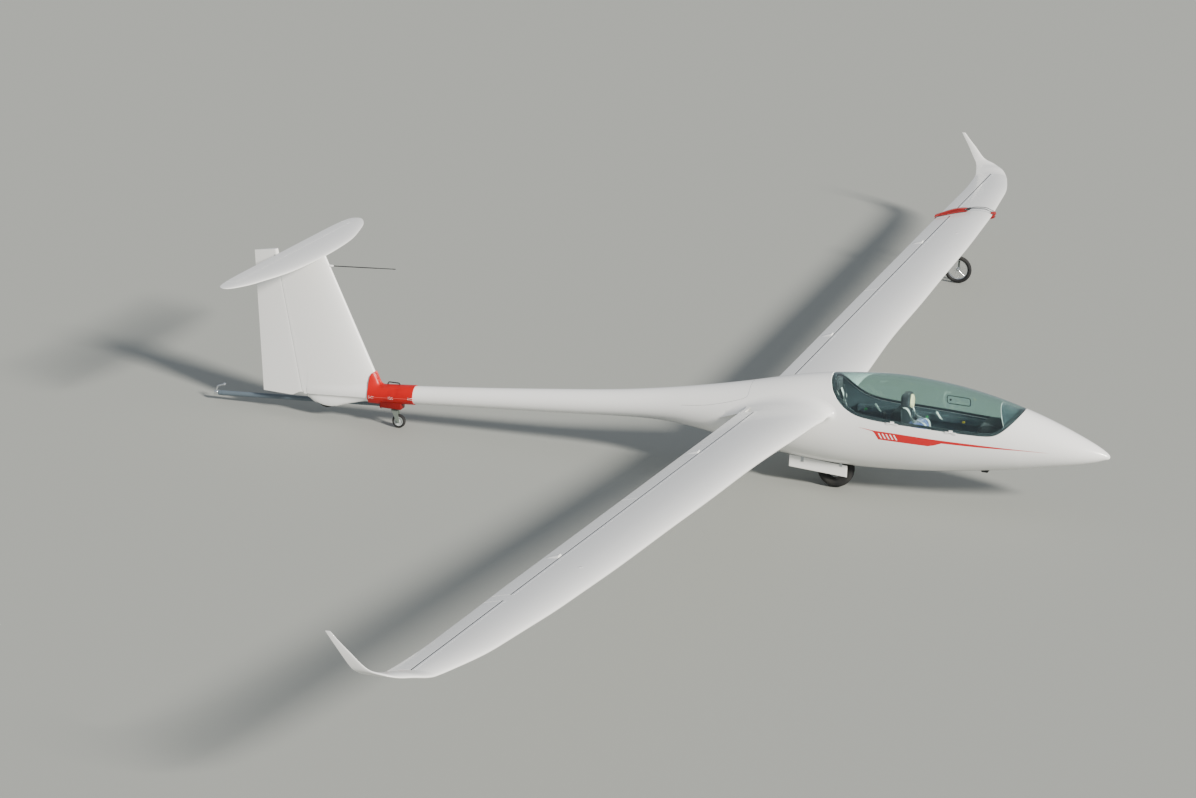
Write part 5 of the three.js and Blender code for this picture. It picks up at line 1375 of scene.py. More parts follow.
for name, seat in SEATS.items():
    path, toward = seat_line(seat["line"], 220)
    reach = np.concatenate([[0], np.cumsum(np.linalg.norm(np.diff(path, axis=0), axis=1))])
    first = np.argmin(np.abs(path[:, 1] - seat["line"][1][1]))
    pick = np.linspace(first, len(path) - 4, 90).astype(int)
    path, toward, reach = path[pick], toward[pick], reach[pick] - reach[first]
    near_end = np.minimum(reach, reach[-1] - reach)
    taper = np.sqrt(1 - np.clip(1 - near_end / CUSHION["end"], 0, 0.995) ** 2)[:, None]
    width = np.minimum(seat["half"] - CUSHION["margin"], room_at(path[:, 0], path[:, 1]) - 0.012)[:, None]
    turn = np.linspace(0, 2 * np.pi, 73)[:-1]
    y = (width - CUSHION["end"] * (1 - taper)) * np.sign(np.cos(turn)) * np.abs(np.cos(turn)) ** 0.45
    dish = SHELL["dish"] * np.abs(y / seat["half"]) ** 4
    swing = np.sign(np.sin(turn)) * np.abs(np.sin(turn)) ** 0.7
    high = CUSHION["start"] + CUSHION["thick"] / 2 * (1 + taper * swing)
    pad_rows = ring_of(seat_point(path, toward, y, high + dish))
    cushion = sew(f"{name}_seat_cushion", [(settle(grid), 0) for grid in (pad_rows, *ends_of(pad_rows))],
        [blue_cloth])

    def above_seat(points):
        """Nearest place along the seat, and the height above its line."""
        level = unsettle(points)
        flat = level[:, [0, 2]]
        nearest = np.concatenate([
            np.argmin(np.linalg.norm(part[:, None] - path[None], axis=2), axis=1)
            for part in np.array_split(flat, max(1, len(flat) // 4000))
        ])
        return reach[nearest] / reach[-1], np.sum((flat - path[nearest]) * toward[nearest], axis=1), nearest

    swell(cushion, CUSHION["voxel"], CUSHION["cap"],
          lambda points: np.clip(above_seat(points)[1] / 0.02, 0, 1))
    points = coordinates(cushion.data)
    place, height, nearest = above_seat(points)
    pinch = sum(np.exp(-((place - channel) * reach[-1] / CHANNEL["half"]) ** 2) for channel in CHANNELS[name])
    pinch = pinch * CHANNEL["depth"] * np.clip((height - 0.012) / 0.02, 0, 1)
    inward = np.stack([toward[nearest, 0], 0 * pinch, toward[nearest, 1]], axis=1)
    points -= (settle(inward * pinch[:, None]) - settle(0 * inward))
    cushion.data.vertices.foreach_set("co", points.ravel())
    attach(cushion, "glider")
    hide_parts(f"{name}_cushion")
    border_y = (width - 0.003)[3:-3, 0]
    border_rise = SHELL["dish"] * (border_y / seat["half"]) ** 4
    middle_high = CUSHION["start"] + CUSHION["thick"] / 2 + border_rise + 0.004
    sides = [seat_point(path[3:-3], toward[3:-3], way * border_y[:, None], middle_high[:, None])[:, 0]
             for way in (1, -1)]
    border = spline(np.concatenate([sides[0], sides[1][::-1], sides[0][:3]]), 320)
    piping = tube(border, PIPING, sides=8)
    show(f"{name}_cushion_piping", [piping], "glider", "cushion_fabric", [blue_cloth])


# Headrests and back cushion
# Foam blocks in sewn black cloth on the tops of the seat backs; the front one has a round cream leather pad.
# A thick blue back cushion leans in the front seat. Their covers are swelled by a cloth simulation too.
PADS = {
    # side view of the middle line from foot to top, thickness, width, voxel, most that the cover may swell
    "front_headrest": {"line": [[0.668, 0.883], [0.668, 1.014]], "thick": 0.088, "wide": 0.190,
    "voxel": 0.005,
                       "cap": 0.003},
    "rear_headrest": {"line": [[-0.004, 0.963], [-0.012, 1.078]], "thick": 0.052, "wide": 0.200,
    "voxel": 0.005,
                      "cap": 0.003},
    "front_back_cushion": {"line": [[0.862, 0.452], [0.797, 0.760]], "thick": 0.130, "wide": 0.340,
    "voxel": 0.006,
                           "cap": 0.006},
}
PAD_SQUARE = 5.0
HEAD_PAD = {"x": 0.709, "z": 0.937, "radius": 0.066, "thick": 0.026}


def dyed(cloth, name, dark, light):
    """The same cloth in another colour."""
    made = cloth.copy()
    made.name = name
    shades = next(part for part in made.node_tree.nodes if part.bl_idname == "ShaderNodeMix")
    shades.inputs[6].default_value, shades.inputs[7].default_value = linear(dark), linear(light)
    made.node_tree.nodes["Principled BSDF"].inputs["Sheen Weight"].default_value = 0.12
    made.diffuse_color = linear(dark)
    return made


black_cloth = dyed(blue_cloth, "black_cover_cloth", "#12151a", "#272c35")
pale_webbing = dyed(blue_cloth, "pale_grey_polyester_webbing", "#b4b7b5", "#dcdeda")
cream_leather, leather_tree, leather_shader = material("cream_grained_leather", "#cdbf98", 0.5, ior=1.5)
# Leather grain is about 1 mm across; drawn at 4 mm, so that it shows at all.
leather_grain = node(leather_tree, "ShaderNodeTexVoronoi", [("Scale", 250.0)],
                     Vector=node(leather_tree, "ShaderNodeTexCoord").outputs["Object"])
leather_bump = node(leather_tree, "ShaderNodeBump", [("Strength", 0.3), ("Distance", 0.001)],
                    Height=leather_grain.outputs["Distance"])
leather_tree.links.new(leather_bump.outputs["Normal"], leather_shader.inputs["Normal"])
pad_turn = np.linspace(0, 2 * np.pi, 49)[:-1]
pad_corner = [np.sign(f(pad_turn)) * np.abs(f(pad_turn)) ** (2 / PAD_SQUARE) for f in (np.cos, np.sin)]
for name, pad in PADS.items():
    foot, top_end = np.array(pad["line"])
    rise_share = (1 - np.cos(np.linspace(0, np.pi, 25))) / 2
    size = np.maximum((1 - np.abs(2 * rise_share - 1) ** PAD_SQUARE) ** (1 / PAD_SQUARE), 1e-3)[:, None]
    up_pad = (top_end - foot) / np.linalg.norm(top_end - foot)
    side_view = (foot + (top_end - foot) * rise_share[:, None])[:, None]
    bulge = (size * pad["thick"] / 2 * pad_corner[0])[..., None]
    side_view = side_view + bulge * np.array([up_pad[1], -up_pad[0]])
    rows = ring_of(np.stack([side_view[..., 0], size * pad["wide"] / 2 * pad_corner[1], side_view[..., 1]],
        axis=-1))
    cover = blue_cloth if name == "front_back_cushion" else black_cloth
    piece = sew(f"{name}_pad", [(settle(grid), 0) for grid in (rows, *ends_of(rows))], [cover])
    swell(piece, pad["voxel"], pad["cap"], lambda points: np.ones(len(points)))
    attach(piece, "glider")
    if name != "front_back_cushion":
        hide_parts(name)
dome = np.linspace(0, np.pi / 2, 9)
head_profile = [(0.0, 0.0), (0.0, HEAD_PAD["radius"] - 0.004)] + [
    (0.004 + (HEAD_PAD["thick"] - 0.004) * math.sin(a) ** 0.7,
    HEAD_PAD["radius"] * math.cos(a) ** 0.45) for a in dome
]
show("headrest_round_pad", [turned(head_profile, (HEAD_PAD["x"], 0.0, HEAD_PAD["z"]), (1, 0, 0.08))],
    "glider",
     "cushion_fabric", [cream_leather])


# Harnesses
# Four flat polyester straps on each seat, stitched to steel fittings and joined in a turn buckle at the lap.
HARNESSES = {
    # the shoulder straps in side view, and the lap straps from the seat's side to the buckle on the left
    "front": {
        "shoulders": [[0.657, 0.886], [0.695, 0.874], [0.735, 0.815], [0.768, 0.778], [0.805, 0.772],
                      [0.848, 0.761], [0.876, 0.738], [0.889, 0.700], [0.907, 0.620], [0.925, 0.535],
                      [0.938, 0.470], [0.960, 0.438], [0.990, 0.432]],
        "lap": [[0.800, 0.207, 0.425], [0.850, 0.190, 0.466], [0.925, 0.120, 0.470], [0.968, 0.045, 0.446],
                [0.990, 0.020, 0.436]],
    },
    "rear": {
        "shoulders": [[-0.002, 0.966], [0.026, 0.905], [0.058, 0.820], [0.083, 0.755], [0.112, 0.650],
                      [0.140, 0.565], [0.165, 0.532], [0.200, 0.519], [0.235, 0.517]],
        "lap": [[0.125, 0.186, 0.500], [0.160, 0.165, 0.536], [0.200, 0.090, 0.531], [0.235, 0.020, 0.521]],
    },
}
STRAP = {"width": 0.045, "thick": 0.002, "apart": 0.085, "meet": 0.024, "twist": 1.1, "free": 0.28}
BUCKLE = {"radius": 0.027, "thick": 0.016}


def webbing(path, across, width, thick):
    """Closed rows of a flat strap along a path. across is the direction of its width at each point."""
    ahead = np.gradient(path, axis=0)
    lift = np.cross(across, ahead)
    lift *= thick / 2 / np.linalg.norm(lift, axis=1)[:, None]
    half = across * width / 2
    return np.stack([path - half - lift, path + half - lift, path + half + lift, path - half + lift,
                     path - half - lift], axis=1)


for name, harness in HARNESSES.items():
    straps = []
    for way in (1, -1):
        line = spline(harness["shoulders"], 90)
        lean = np.linspace(0, 1, 90) ** 2
        shoulder = np.stack([line[:, 0], way * (STRAP["apart"] + (STRAP["meet"] - STRAP["apart"]) * lean),
            line[:, 1]],
                            axis=1)
        # Between the seat back and the cushion the strap hangs free, and turns half on edge.
        turn = STRAP["twist"] * np.exp(-((np.linspace(0, 1, 90) - STRAP["free"]) / 0.09) ** 2)[:, None]
        ahead = np.gradient(shoulder, axis=0)
        sideways = np.cross([0.0, 1.0, 0.0], ahead)
        sideways /= np.linalg.norm(sideways, axis=1)[:, None]
        straps.append(webbing(shoulder + 0.018 * np.sin(turn) * sideways,
                              np.cos(turn) * [0.0, 1.0, 0.0] + np.sin(turn) * sideways,
                              STRAP["width"], STRAP["thick"]))
        lap = spline(np.array(harness["lap"]) * [1, way, 1], 50)
        flat = np.cross(np.gradient(lap, axis=0), [-0.2, 0.0, 1.0])
        flat /= np.linalg.norm(flat, axis=1)[:, None]
        straps.append(webbing(lap, flat, STRAP["width"], STRAP["thick"]))
    show(f"{name}_harness", [grid for strap in straps for grid in (strap, *ends_of(strap))], "glider",
         "cushion_fabric", [pale_webbing], crease=30)
    buckle_x, buckle_z = harness["shoulders"][-1]
    r, t = BUCKLE["radius"], BUCKLE["thick"]
    show(f"{name}_buckle", [turned(
        [(0, 0), (0, r), (t * 0.5, r), (t * 0.62, r * 0.93), (t * 0.62, r * 0.6), (t, r * 0.5), (t, 0)],
        (buckle_x, 0.0, buckle_z + 0.004), (0.08, 0.0, 1.0), sides=32,
    )], "glider", "painted_steel", [steel])


# Instrument panels
# Black textured mouldings: the front one on its pedestal, the rear one on the front seat's back. Round
# dials are let into their rear faces, with white marks and needles and no lettering.
PANELS_AT = {
    "front": {
        "side": [[1.420, 0.560], [1.406, 0.775], [1.430, 0.822], [1.490, 0.836], [1.640, 0.806],
        [1.480, 0.560]],
        "half": 0.150,
        "dials": [(-0.092, 0.722, 0.037), (0.0, 0.728, 0.037), (0.092, 0.722, 0.037), (-0.085, 0.642, 0.032),
                  (0.0, 0.648, 0.028), (0.085, 0.642, 0.032), (0.0, 0.592, 0.019)],
    },
    "rear": {
        "side": [[0.560, 0.640], [0.545, 0.800], [0.572, 0.850], [0.6419, 0.850], [0.6544, 0.700],
        [0.640, 0.640]],
        "half": 0.130,
        "dials": [(-0.082, 0.745, 0.034), (0.0, 0.750, 0.034), (0.082, 0.745, 0.034), (-0.05, 0.676, 0.024),
                  (0.05, 0.676, 0.024)],
    },
}
PEDESTAL = {"x": (1.435, 1.500), "z": (0.345, 0.575), "half": 0.055}
DIAL_MARKS = {"count": 20, "length": 0.18, "width": 0.045, "thick": 0.0006}


def textured_plastic(name, colour, grain_mm, roughness=0.55):
    """Moulded plastic with a leather-like grain: matt, with soft small glints."""
    made, tree, shader = material(name, colour, roughness, ior=1.5)
    place = node(tree, "ShaderNodeTexCoord").outputs["Object"]
    grain = node(tree, "ShaderNodeTexVoronoi", [("Scale", 1000 / grain_mm)], Vector=place)
    bump = node(tree, "ShaderNodeBump", [("Strength", 0.25), ("Distance", 0.001)],
        Height=grain.outputs["Distance"])
    tree.links.new(bump.outputs["Normal"], shader.inputs["Normal"])
    worn = node(tree, "ShaderNodeTexNoise", [("Scale", 12.0)], Vector=place)
    gloss = node(tree, "ShaderNodeMapRange", [("To Min", roughness - 0.1), ("To Max", roughness + 0.1)],
                 Value=worn.outputs["Fac"])
    tree.links.new(gloss.outputs["Result"], shader.inputs["Roughness"])
    return made


def grown(tree, **inputs):
    """Runs a Geometry Nodes tree on an empty mesh, and returns the plain mesh that it grows."""
    seed = bpy.data.objects.new("seed", bpy.data.meshes.new("seed"))
    bpy.context.scene.collection.objects.link(seed)
    grow = seed.modifiers.new("grow", "NODES")
    grow.node_group = tree
    for item in tree.interface.items_tree:
        if item.in_out == "INPUT":
            grow[item.identifier] = inputs[item.name.replace(" ", "_")]
    bake(seed)
    mesh = seed.data
    bpy.data.objects.remove(seed)
    return mesh


def planted(name, copies, body, finish):
    """One piece of many copies of grown meshes. A copy is (mesh, centre, x direction, z direction)."""
    points, faces = [], []
    for mesh, centre, first, axis in copies:
        first, axis = [np.asarray(way, float) / np.linalg.norm(way) for way in (first, axis)]
        turn = np.stack([first, np.cross(axis, first), axis])
        start = sum(len(part) for part in points)
        points.append(settle(np.asarray(centre) + coordinates(mesh) @ turn))
        faces += [[start + corner for corner in polygon.vertices] for polygon in mesh.polygons]
    whole = bpy.data.meshes.new(name)
    whole.from_pydata(np.concatenate(points).tolist(), [], faces)
    whole.materials.append(finish)
    piece = bpy.data.objects.new(name, whole)
    bpy.context.scene.collection.objects.link(piece)
    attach(piece, body)
    return piece


def new_tree(name, sockets):
    """An empty Geometry Nodes tree with named inputs and one geometry output: tree, start and end."""
    tree = bpy.data.node_groups.new(name, "GeometryNodeTree")
    for label, kind in sockets:
        tree.interface.new_socket(label, in_out="INPUT", socket_type=f"NodeSocket{kind}")
    tree.interface.new_socket("Geometry", in_out="OUTPUT", socket_type="NodeSocketGeometry")
    return tree, node(tree, "NodeGroupInput"), node(tree, "NodeGroupOutput")


bars_round, start, end = new_tree("bars_round_a_circle", [
    ("Count", "Int"), ("Radius", "Float"), ("Bar", "Vector"), ("Finish", "Material"),
])
circle = node(bars_round, "GeometryNodeMeshCircle", Vertices=start.outputs["Count"],
    Radius=start.outputs["Radius"])
outward = node(bars_round, "FunctionNodeAlignRotationToVector", [("axis", "X")],
               Vector=node(bars_round, "GeometryNodeInputPosition").outputs["Position"])
bar = node(bars_round, "GeometryNodeMeshCube", Size=start.outputs["Bar"])
bars = node(bars_round, "GeometryNodeInstanceOnPoints", Points=circle.outputs["Mesh"],
            Instance=bar.outputs["Mesh"], Rotation=outward.outputs["Rotation"])
real = node(bars_round, "GeometryNodeRealizeInstances", Geometry=bars.outputs["Instances"])
finished = node(bars_round, "GeometryNodeSetMaterial", Geometry=real.outputs["Geometry"],
                Material=start.outputs["Finish"])
bars_round.links.new(finished.outputs["Geometry"], end.inputs["Geometry"])

black_moulding = textured_plastic("black_textured_moulding", "#191c1f", 5.0)
hood_cloth = dyed(blue_cloth, "grey_green_hood_cloth", "#1b282d", "#2b3d44")
dial_black = textured_plastic("matt_black_dial_enamel", "#0c0d0e", 8.0, 0.7)
dial_white = textured_plastic("white_dial_enamel", "#e9e9e2", 8.0, 0.6)
for name, panel in PANELS_AT.items():
    outline = np.array(panel["side"])
    sides = [np.stack([outline[:, 0], np.full(len(outline), y), outline[:, 1]], axis=1)
             for y in (-panel["half"], panel["half"])]
    rows = ring_of(np.stack(sides))
    patches = [rows, *ends_of(rows)]
    if name == "front":
        post = block(PEDESTAL["x"], (-PEDESTAL["half"], PEDESTAL["half"]), PEDESTAL["z"])
        eased(show("panel_pedestal", post, "glider", "black_trim", [black_moulding]), 0.008)
    housing = show(f"{name}_panel_housing", patches, "glider", "black_trim", [black_moulding],
                   [f"{name}_instrument_panel"])
    eased(housing, 0.009, segments=4)
    low, high = outline[0], outline[1]
    up_face = np.array([high[0] - low[0], 0.0, high[1] - low[1]]) / np.linalg.norm(high - low)
    out_face = np.cross(up_face, [0.0, 1.0, 0.0])
    out_face *= -np.sign(out_face[0])
    bezels, faces, needles, marks = [], [], [], []
    for y, z, r in panel["dials"]:
        centre = np.array([low[0] + (z - low[1]) * (high[0] - low[0]) / (high[1] - low[1]), y, z])
        bezels.append(turned([(-0.002, 0), (-0.002, r), (0.003, r), (0.0045, r - 0.0012),
            (0.0045, r - 0.0035),
                              (0.0015, r - 0.0045), (0.0015, 0)], centre, out_face, sides=40))
        faces.append(turned([(0.0014, 0), (0.0014, r - 0.005), (0.0020, r - 0.005), (0.0020, 0)], centre,
            out_face))
        mesh = grown(bars_round, Count=DIAL_MARKS["count"], Radius=0.78 * (r - 0.005), Finish=dial_white,
                     Bar=(DIAL_MARKS["length"] * r, DIAL_MARKS["width"] * r, DIAL_MARKS["thick"]))
        marks.append((mesh, centre + 0.0022 * out_face, up_face, out_face))
        angle = 2.4 + 9 * y + 5 * z
        tip = centre + 0.0032 * out_face + 0.72 * r * (
            math.cos(angle) * up_face + math.sin(angle) * np.array([0.0, 1.0, 0.0]))
        needles.append(tube([centre + 0.0032 * out_face, tip], [0.0016, 0.0006], sides=8, squash=0.5))
    show(f"{name}_dial_bezels", bezels, "glider", "black_trim", [black_moulding])
    show(f"{name}_dial_faces", faces, "glider", "black_trim", [dial_black])
    planted(f"{name}_dial_marks", marks, "glider", dial_white)
    show(f"{name}_dial_needles", needles, "glider", "gelcoat", [dial_white])
hood_line = spline(np.array([[1.394, 0.752], [1.402, 0.800], [1.430, 0.834], [1.490, 0.848], [1.570, 0.838],
                             [1.637, 0.820]]), 40)
hood_y = np.linspace(-0.158, 0.158, 25)
hood_sag = 0.010 * (hood_y / 0.158) ** 4
hood = [np.stack(np.broadcast_arrays(hood_line[:, :1], hood_y, hood_line[:, 1:] - hood_sag - lift), axis=-1)
        for lift in (0.0, 0.004)]
hood_rows = ring_of(hood[0], hood[1][:, ::-1])
show("panel_hood", [hood_rows, *ends_of(hood_rows)], "glider", "black_trim", [black_cloth])


# Nose deck
# A laminate cover in grey-green cloth, from the hoop behind the instruments to the front arch, close under
# the canopy. Its rear edge is bound in pale tape.
DECK = {"top": (1.580, 1.035), "foot": (1.662, 0.845), "depth": 0.026, "thick": 0.004, "inset": 0.012}
deck_shares = np.linspace(0.5, 1.0, 400)
arch_x, arch_turn = [values[1:] for values in rail(DECK["inset"], DECK["depth"], deck_shares)]
deck_turn = np.linspace(np.interp(DECK["foot"][0], arch_x, arch_turn), np.pi / 2, 30)
rear_z = hull_point(DECK["foot"][0], deck_turn, DECK["depth"])[:, 2]
slope = (DECK["foot"][0] - DECK["top"][0]) / (rear_z[-1] - rear_z[0])
rear_x = DECK["foot"][0] - slope * (rear_z - rear_z[0])
front_x = np.interp(deck_turn, arch_turn, arch_x)
turns = np.concatenate([deck_turn, np.pi - deck_turn[-2::-1]])
ends_x = [np.concatenate([x, x[-2::-1]]) for x in (rear_x, front_x)]
between = np.linspace(0, 1, 14)[:, None]
deck_x = ends_x[0] + (ends_x[1] - ends_x[0] + 1e-4) * between
deck_layers = [hull_point(deck_x, turns[None, :], DECK["depth"] + lift) for lift in (0.0, DECK["thick"])]
deck_rows = ring_of(deck_layers[0], deck_layers[1][:, ::-1])
show("nose_deck", [deck_rows, *ends_of(deck_rows)], "glider", "cockpit_lining", [hood_cloth])
deck_edge = deck_layers[0][0] - [0.0, 0.0, DECK["thick"] / 2]
show("nose_deck_edge", [tube(deck_edge, 0.0032, sides=10)], "glider", "cushion_fabric", [pale_webbing])


# Sticks
# Steel tubes with a bend, rubber grips, and a folded rubber gaiter screwed to the floor round each.
STICKS = {"front": (1.215, 0.593), "rear": (0.500, 0.690)}
GRIP = {"radius": 0.0165, "length": 0.105, "fingers": 4, "depth": 0.0012}
GAITER = {"foot": 0.045, "top": 0.013, "folds": 5, "fold": 0.0035, "height": 0.055}
rubber_grip = textured_plastic("black_moulded_rubber", "#121315", 3.0, 0.65)
for name, (x, grip_z) in STICKS.items():
    floor_z = float(hull_at(x)[0] - hull_at(x)[2]) + SKIN
    top = np.array([x - 0.030, 0.0, grip_z + 0.008])
    rod = tube([[x, 0, floor_z + 0.004], [x - 0.002, 0, floor_z + 0.06], top, top + [-0.004, 0, 0.02]], 0.009)
    show(f"{name}_stick_tube", [rod], "glider", "painted_steel", [steel])
    up_grip = np.array([-0.020, 0.0, GRIP["length"]])
    place = np.linspace(0, 1, 40)
    swells = GRIP["radius"] - GRIP["depth"] * (1 + np.cos(2 * np.pi * GRIP["fingers"] * place)) / 2
    swells *= np.sqrt(1 - np.clip(np.abs(place - 0.5) * 2 - 0.86, 0, 1) ** 2 / 0.14 ** 2 * 0.75)
    grip = tube(np.array([x - 0.028, 0, grip_z]) + place[:, None] * up_grip, swells, sides=20)
    ripple = np.linspace(0, 1, 6 * GAITER["folds"] + 1)
    radius = GAITER["foot"] + (GAITER["top"] - GAITER["foot"]) * ripple ** 1.3
    radius += GAITER["fold"] * np.cos(2 * np.pi * GAITER["folds"] * ripple) * (1 - 0.5 * ripple)
    folds = [(h, r) for h, r in zip(GAITER["height"] * ripple, radius)]
    profile = [(0.0, 0.0)] + folds + [(GAITER["height"], 0.0)]
    skirt = turned(profile, (x, 0.0, floor_z + 0.0005), (0, 0, 1), sides=40)
    show(f"{name}_stick_grip", [grip, skirt], "glider", "black_trim", [rubber_grip], [f"{name}_stick"])


# Sills, bulkhead and hand levers
# Laminate arm rests bonded along the inside of the shell, and the bulkhead behind the rear seat. The levers
# are coloured: pale grey airbrake, green trim, yellow tow release.
SILL = {"x": (0.120, 1.640), "z": (0.690, 0.752), "deep": 0.062}
BULKHEAD = {"x": (-0.076, -0.064), "z": (0.480, 1.085)}
LINER = SKIN + 0.0006
sill_x = np.linspace(*SILL["x"], 60)


def inside_at(x, z, depth):
    """Half width at a depth below the skin."""
    middle, wide, high = hull_at(x)
    return (wide - depth) * np.sqrt(1 - np.clip((z - middle) / (high - depth), -1, 1) ** 2)


corner_rows = []
for z, depth in ((SILL["z"][1], LINER), (SILL["z"][1], LINER + SILL["deep"]),
    (SILL["z"][0], LINER + SILL["deep"]),
                 (SILL["z"][0], LINER)):
    corner_rows.append(np.stack([sill_x, inside_at(sill_x, z, depth), np.full(len(sill_x), z)], axis=1))
sill_rows = ring_of(np.stack(corner_rows, axis=1))
for label, flip in (("left", 1), ("right", -1)):
    eased(show(f"arm_rest_{label}", [sill_rows, *ends_of(sill_rows)], "glider", "cockpit_lining",
        [lining_paint],
               [f"cockpit_sill_{label}"], flip=flip), 0.006)
wall_z = np.linspace(*BULKHEAD["z"], 40)[:, None]
layers = [
    np.stack(np.broadcast_arrays(x, inside_at(x, wall_z, LINER) * np.linspace(-1, 1, 13), wall_z), axis=-1)
    for x in BULKHEAD["x"]
]
wall_rows = ring_of(layers[0], layers[1][:, ::-1])
show("rear_bulkhead_wall", [wall_rows, *ends_of(wall_rows)], "glider", "cockpit_lining", [lining_paint],
     ["rear_bulkhead"], close=True)
lever_finishes = {
    "airbrake": textured_plastic("pale_grey_cast_resin", "#c3c9c4", 9.0, 0.4),
    "trim": textured_plastic("green_cast_resin", "#1d8a3c", 9.0, 0.4),
    "tow_release": textured_plastic("yellow_cast_resin", "#e3bd12", 9.0, 0.4),
}
LEVERS = {
    # foot x and height, how far the grip reaches forward and up
    "airbrake": (0.955, 0.716, -0.055, 0.075),
    "trim": (0.800, 0.716, 0.020, 0.018),
    "tow_release": (1.160, 0.716, 0.026, 0.012),
}
for seat_name, shift in (("front", 0.0), ("rear", -0.60)):
    for lever, (x, z, reach, lift) in LEVERS.items():
        wall = float(inside_at(x + shift, z, LINER + SILL["deep"])) + 0.004
        foot = np.array([x + shift, wall, z])
        path = spline([foot, foot + [0, -0.022, 0.004], foot + [0.3 * reach, -0.034, 0.3 * lift],
                       foot + [reach, -0.036, lift]], 24)
        thick = np.interp(np.linspace(0, 1, 24), [0, 0.40, 0.50, 0.95, 1.0],
            [0.004, 0.004, 0.010, 0.011, 0.006])
        show(f"{lever}_lever_{seat_name}", [tube(path, thick, sides=16)], "glider", "black_trim",
             [lever_finishes[lever]])


# Clear-view window
# A small sliding pane on the left of the canopy: a dark rail bonded inside the sheet round it, and a knob.
WINDOW = {"x": (0.985, 1.215), "z": (0.868, 0.955), "corner": 0.022, "rail": 0.0045, "knob": 0.011}
corner_turn = np.linspace(0, np.pi / 2, 7)
window_line = []
for quarter, (x, z) in enumerate(((WINDOW["x"][1], WINDOW["z"][1]), (WINDOW["x"][0], WINDOW["z"][1]),
                                  (WINDOW["x"][0], WINDOW["z"][0]), (WINDOW["x"][1], WINDOW["z"][0]))):
    centre = np.array([x, z]) - WINDOW["corner"] * np.sign([x - 1.1, z - 0.91])
    angle = corner_turn + quarter * np.pi / 2
    window_line.append(centre + WINDOW["corner"] * np.stack([np.cos(angle), np.sin(angle)], axis=1))
window_line = np.concatenate([*window_line, window_line[0][:1]])


def on_glass(x, z, depth):
    """Points inside the left of the canopy's sheet, at a depth below the skin."""
    middle, _, half_height = hull_at(x)
    return hull_point(x, np.arcsin((z - middle) / (half_height - depth)), depth)


ring_path = on_glass(window_line[:, 0], window_line[:, 1], GLASS + 0.004)
window_rail = spline(ring_path, 150)
window_knob = on_glass(np.array([1.02]), np.array([0.912]), GLASS + 0.001)[0]
inward = (on_glass(np.array([1.02]), np.array([0.912]), GLASS + 0.02)[0] - window_knob)
show("clear_view_rail", [tube(window_rail, WINDOW["rail"], sides=8, squash=0.7)], "canopy", "dark_frame",
     [dark_laminate])
show("clear_view_knob", [turned(
    [(0, 0), (0, 0.005), (0.008, 0.005), (0.009, WINDOW["knob"]), (0.016, WINDOW["knob"]), (0.018, 0.008),
    (0.018, 0)],
    window_knob, inward, sides=24,
)], "canopy", "dark_frame", [black_moulding])


# Wheel well and landing gear
# A painted liner in the belly, with a welded steel yoke that carries the main wheel on a short axle.
# Two white glass-fibre doors hang open beside the wheel on small hinges.
MAIN_WHEEL = {"x": 0.020, "z": 0.180}
YOKE = {"y": 0.0845, "leg": 0.013, "top": (-0.040, 0.4197), "head_x": (-0.080, 0.0), "head_y": 0.1045}
DOOR = {"inner": 0.1202, "outer": 0.1298, "bow": 0.010}
DOOR_LINE = np.array([[-0.415, 0.178], [0.158, 0.141], [0.158, 0.256], [-0.415, 0.296]])
for cad_object in bpy.data.objects:
    if cad_object.get("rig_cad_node") == "wheel_well":
        for cad_slot in cad_object.material_slots:
            cad_slot.material = lining_paint


def plate(outline, start, end):
    """Grids of a flat plate: an even number of (x, z) points drawn from one y to another."""
    outline = np.asarray(outline, float)
    rows = ring_of(np.stack([np.insert(outline, 1, y, axis=1) for y in (start, end)]))
    return [rows, *ends_of(rows)]


def arc(centre, radius, start, end, count=8):
    """Points (x, z) of a round stretch, in degrees from the nose."""
    angle = np.radians(np.linspace(start, end, count))
    return np.array(centre) + radius * np.stack([np.cos(angle), np.sin(angle)], axis=1)


grey_paint = sprayed("grey_green_sprayed_steel", "#6a736b")
alloy = brushed_metal("machined_aluminium_alloy", "#c3c7cb", 0.3, grain=40.0)
for label, way in (("left", 1), ("right", -1)):
    along = np.linspace(0, 1, 30)[:, None]
    low, high = [DOOR_LINE[a] + along * (DOOR_LINE[b] - DOOR_LINE[a]) for a, b in ((0, 1), (3, 2))]
    up_share = np.linspace(0, 1, 12)
    bow = DOOR["bow"] * (1 - up_share ** 2)
    skins = []
    for y in (DOOR["inner"], DOOR["outer"]):
        grid = low[:, None, :] + up_share[:, None] * (high - low)[:, None, :]
        across = y - 0.5 * bow * np.sin(np.pi * 0.5 * (1 - up_share)) + 0 * grid[..., 0]
        skins.append(np.stack([grid[..., 0], across, grid[..., 1]], axis=-1))
    rims = [np.stack([skins[0][pick], skins[1][pick]]) for pick in (0, -1, np.s_[:, 0], np.s_[:, -1])]
    door = show(f"gear_door_skin_{label}", [*skins, *rims], "glider", "gelcoat", [white_gelcoat],
                [f"gear_door_{label}"], flip=way)
    eased(door, 0.002)
    leaves = []
    for x in (-0.285, 0.095):
        leaves += plate([(x - 0.015, 0.240), (x + 0.015, 0.240), (x + 0.011, 0.310), (x - 0.011, 0.310)],
                        DOOR["outer"] - 0.001, DOOR["outer"] + 0.0018)
        leaves.append(rounded((x - 0.015, 0.131, 0.284), (x + 0.015, 0.131, 0.284), 0.004))
        leaves += [turned([(0, 0), (0.003, 0.004), (0.0045, 0.0)], (x, DOOR["outer"] + 0.001, z), sides=12)
                   for z in (0.250, 0.264)]
    show(f"gear_door_hinges_{label}", leaves, "glider", "gelcoat", [alloy], flip=way)
yoke_patches = []
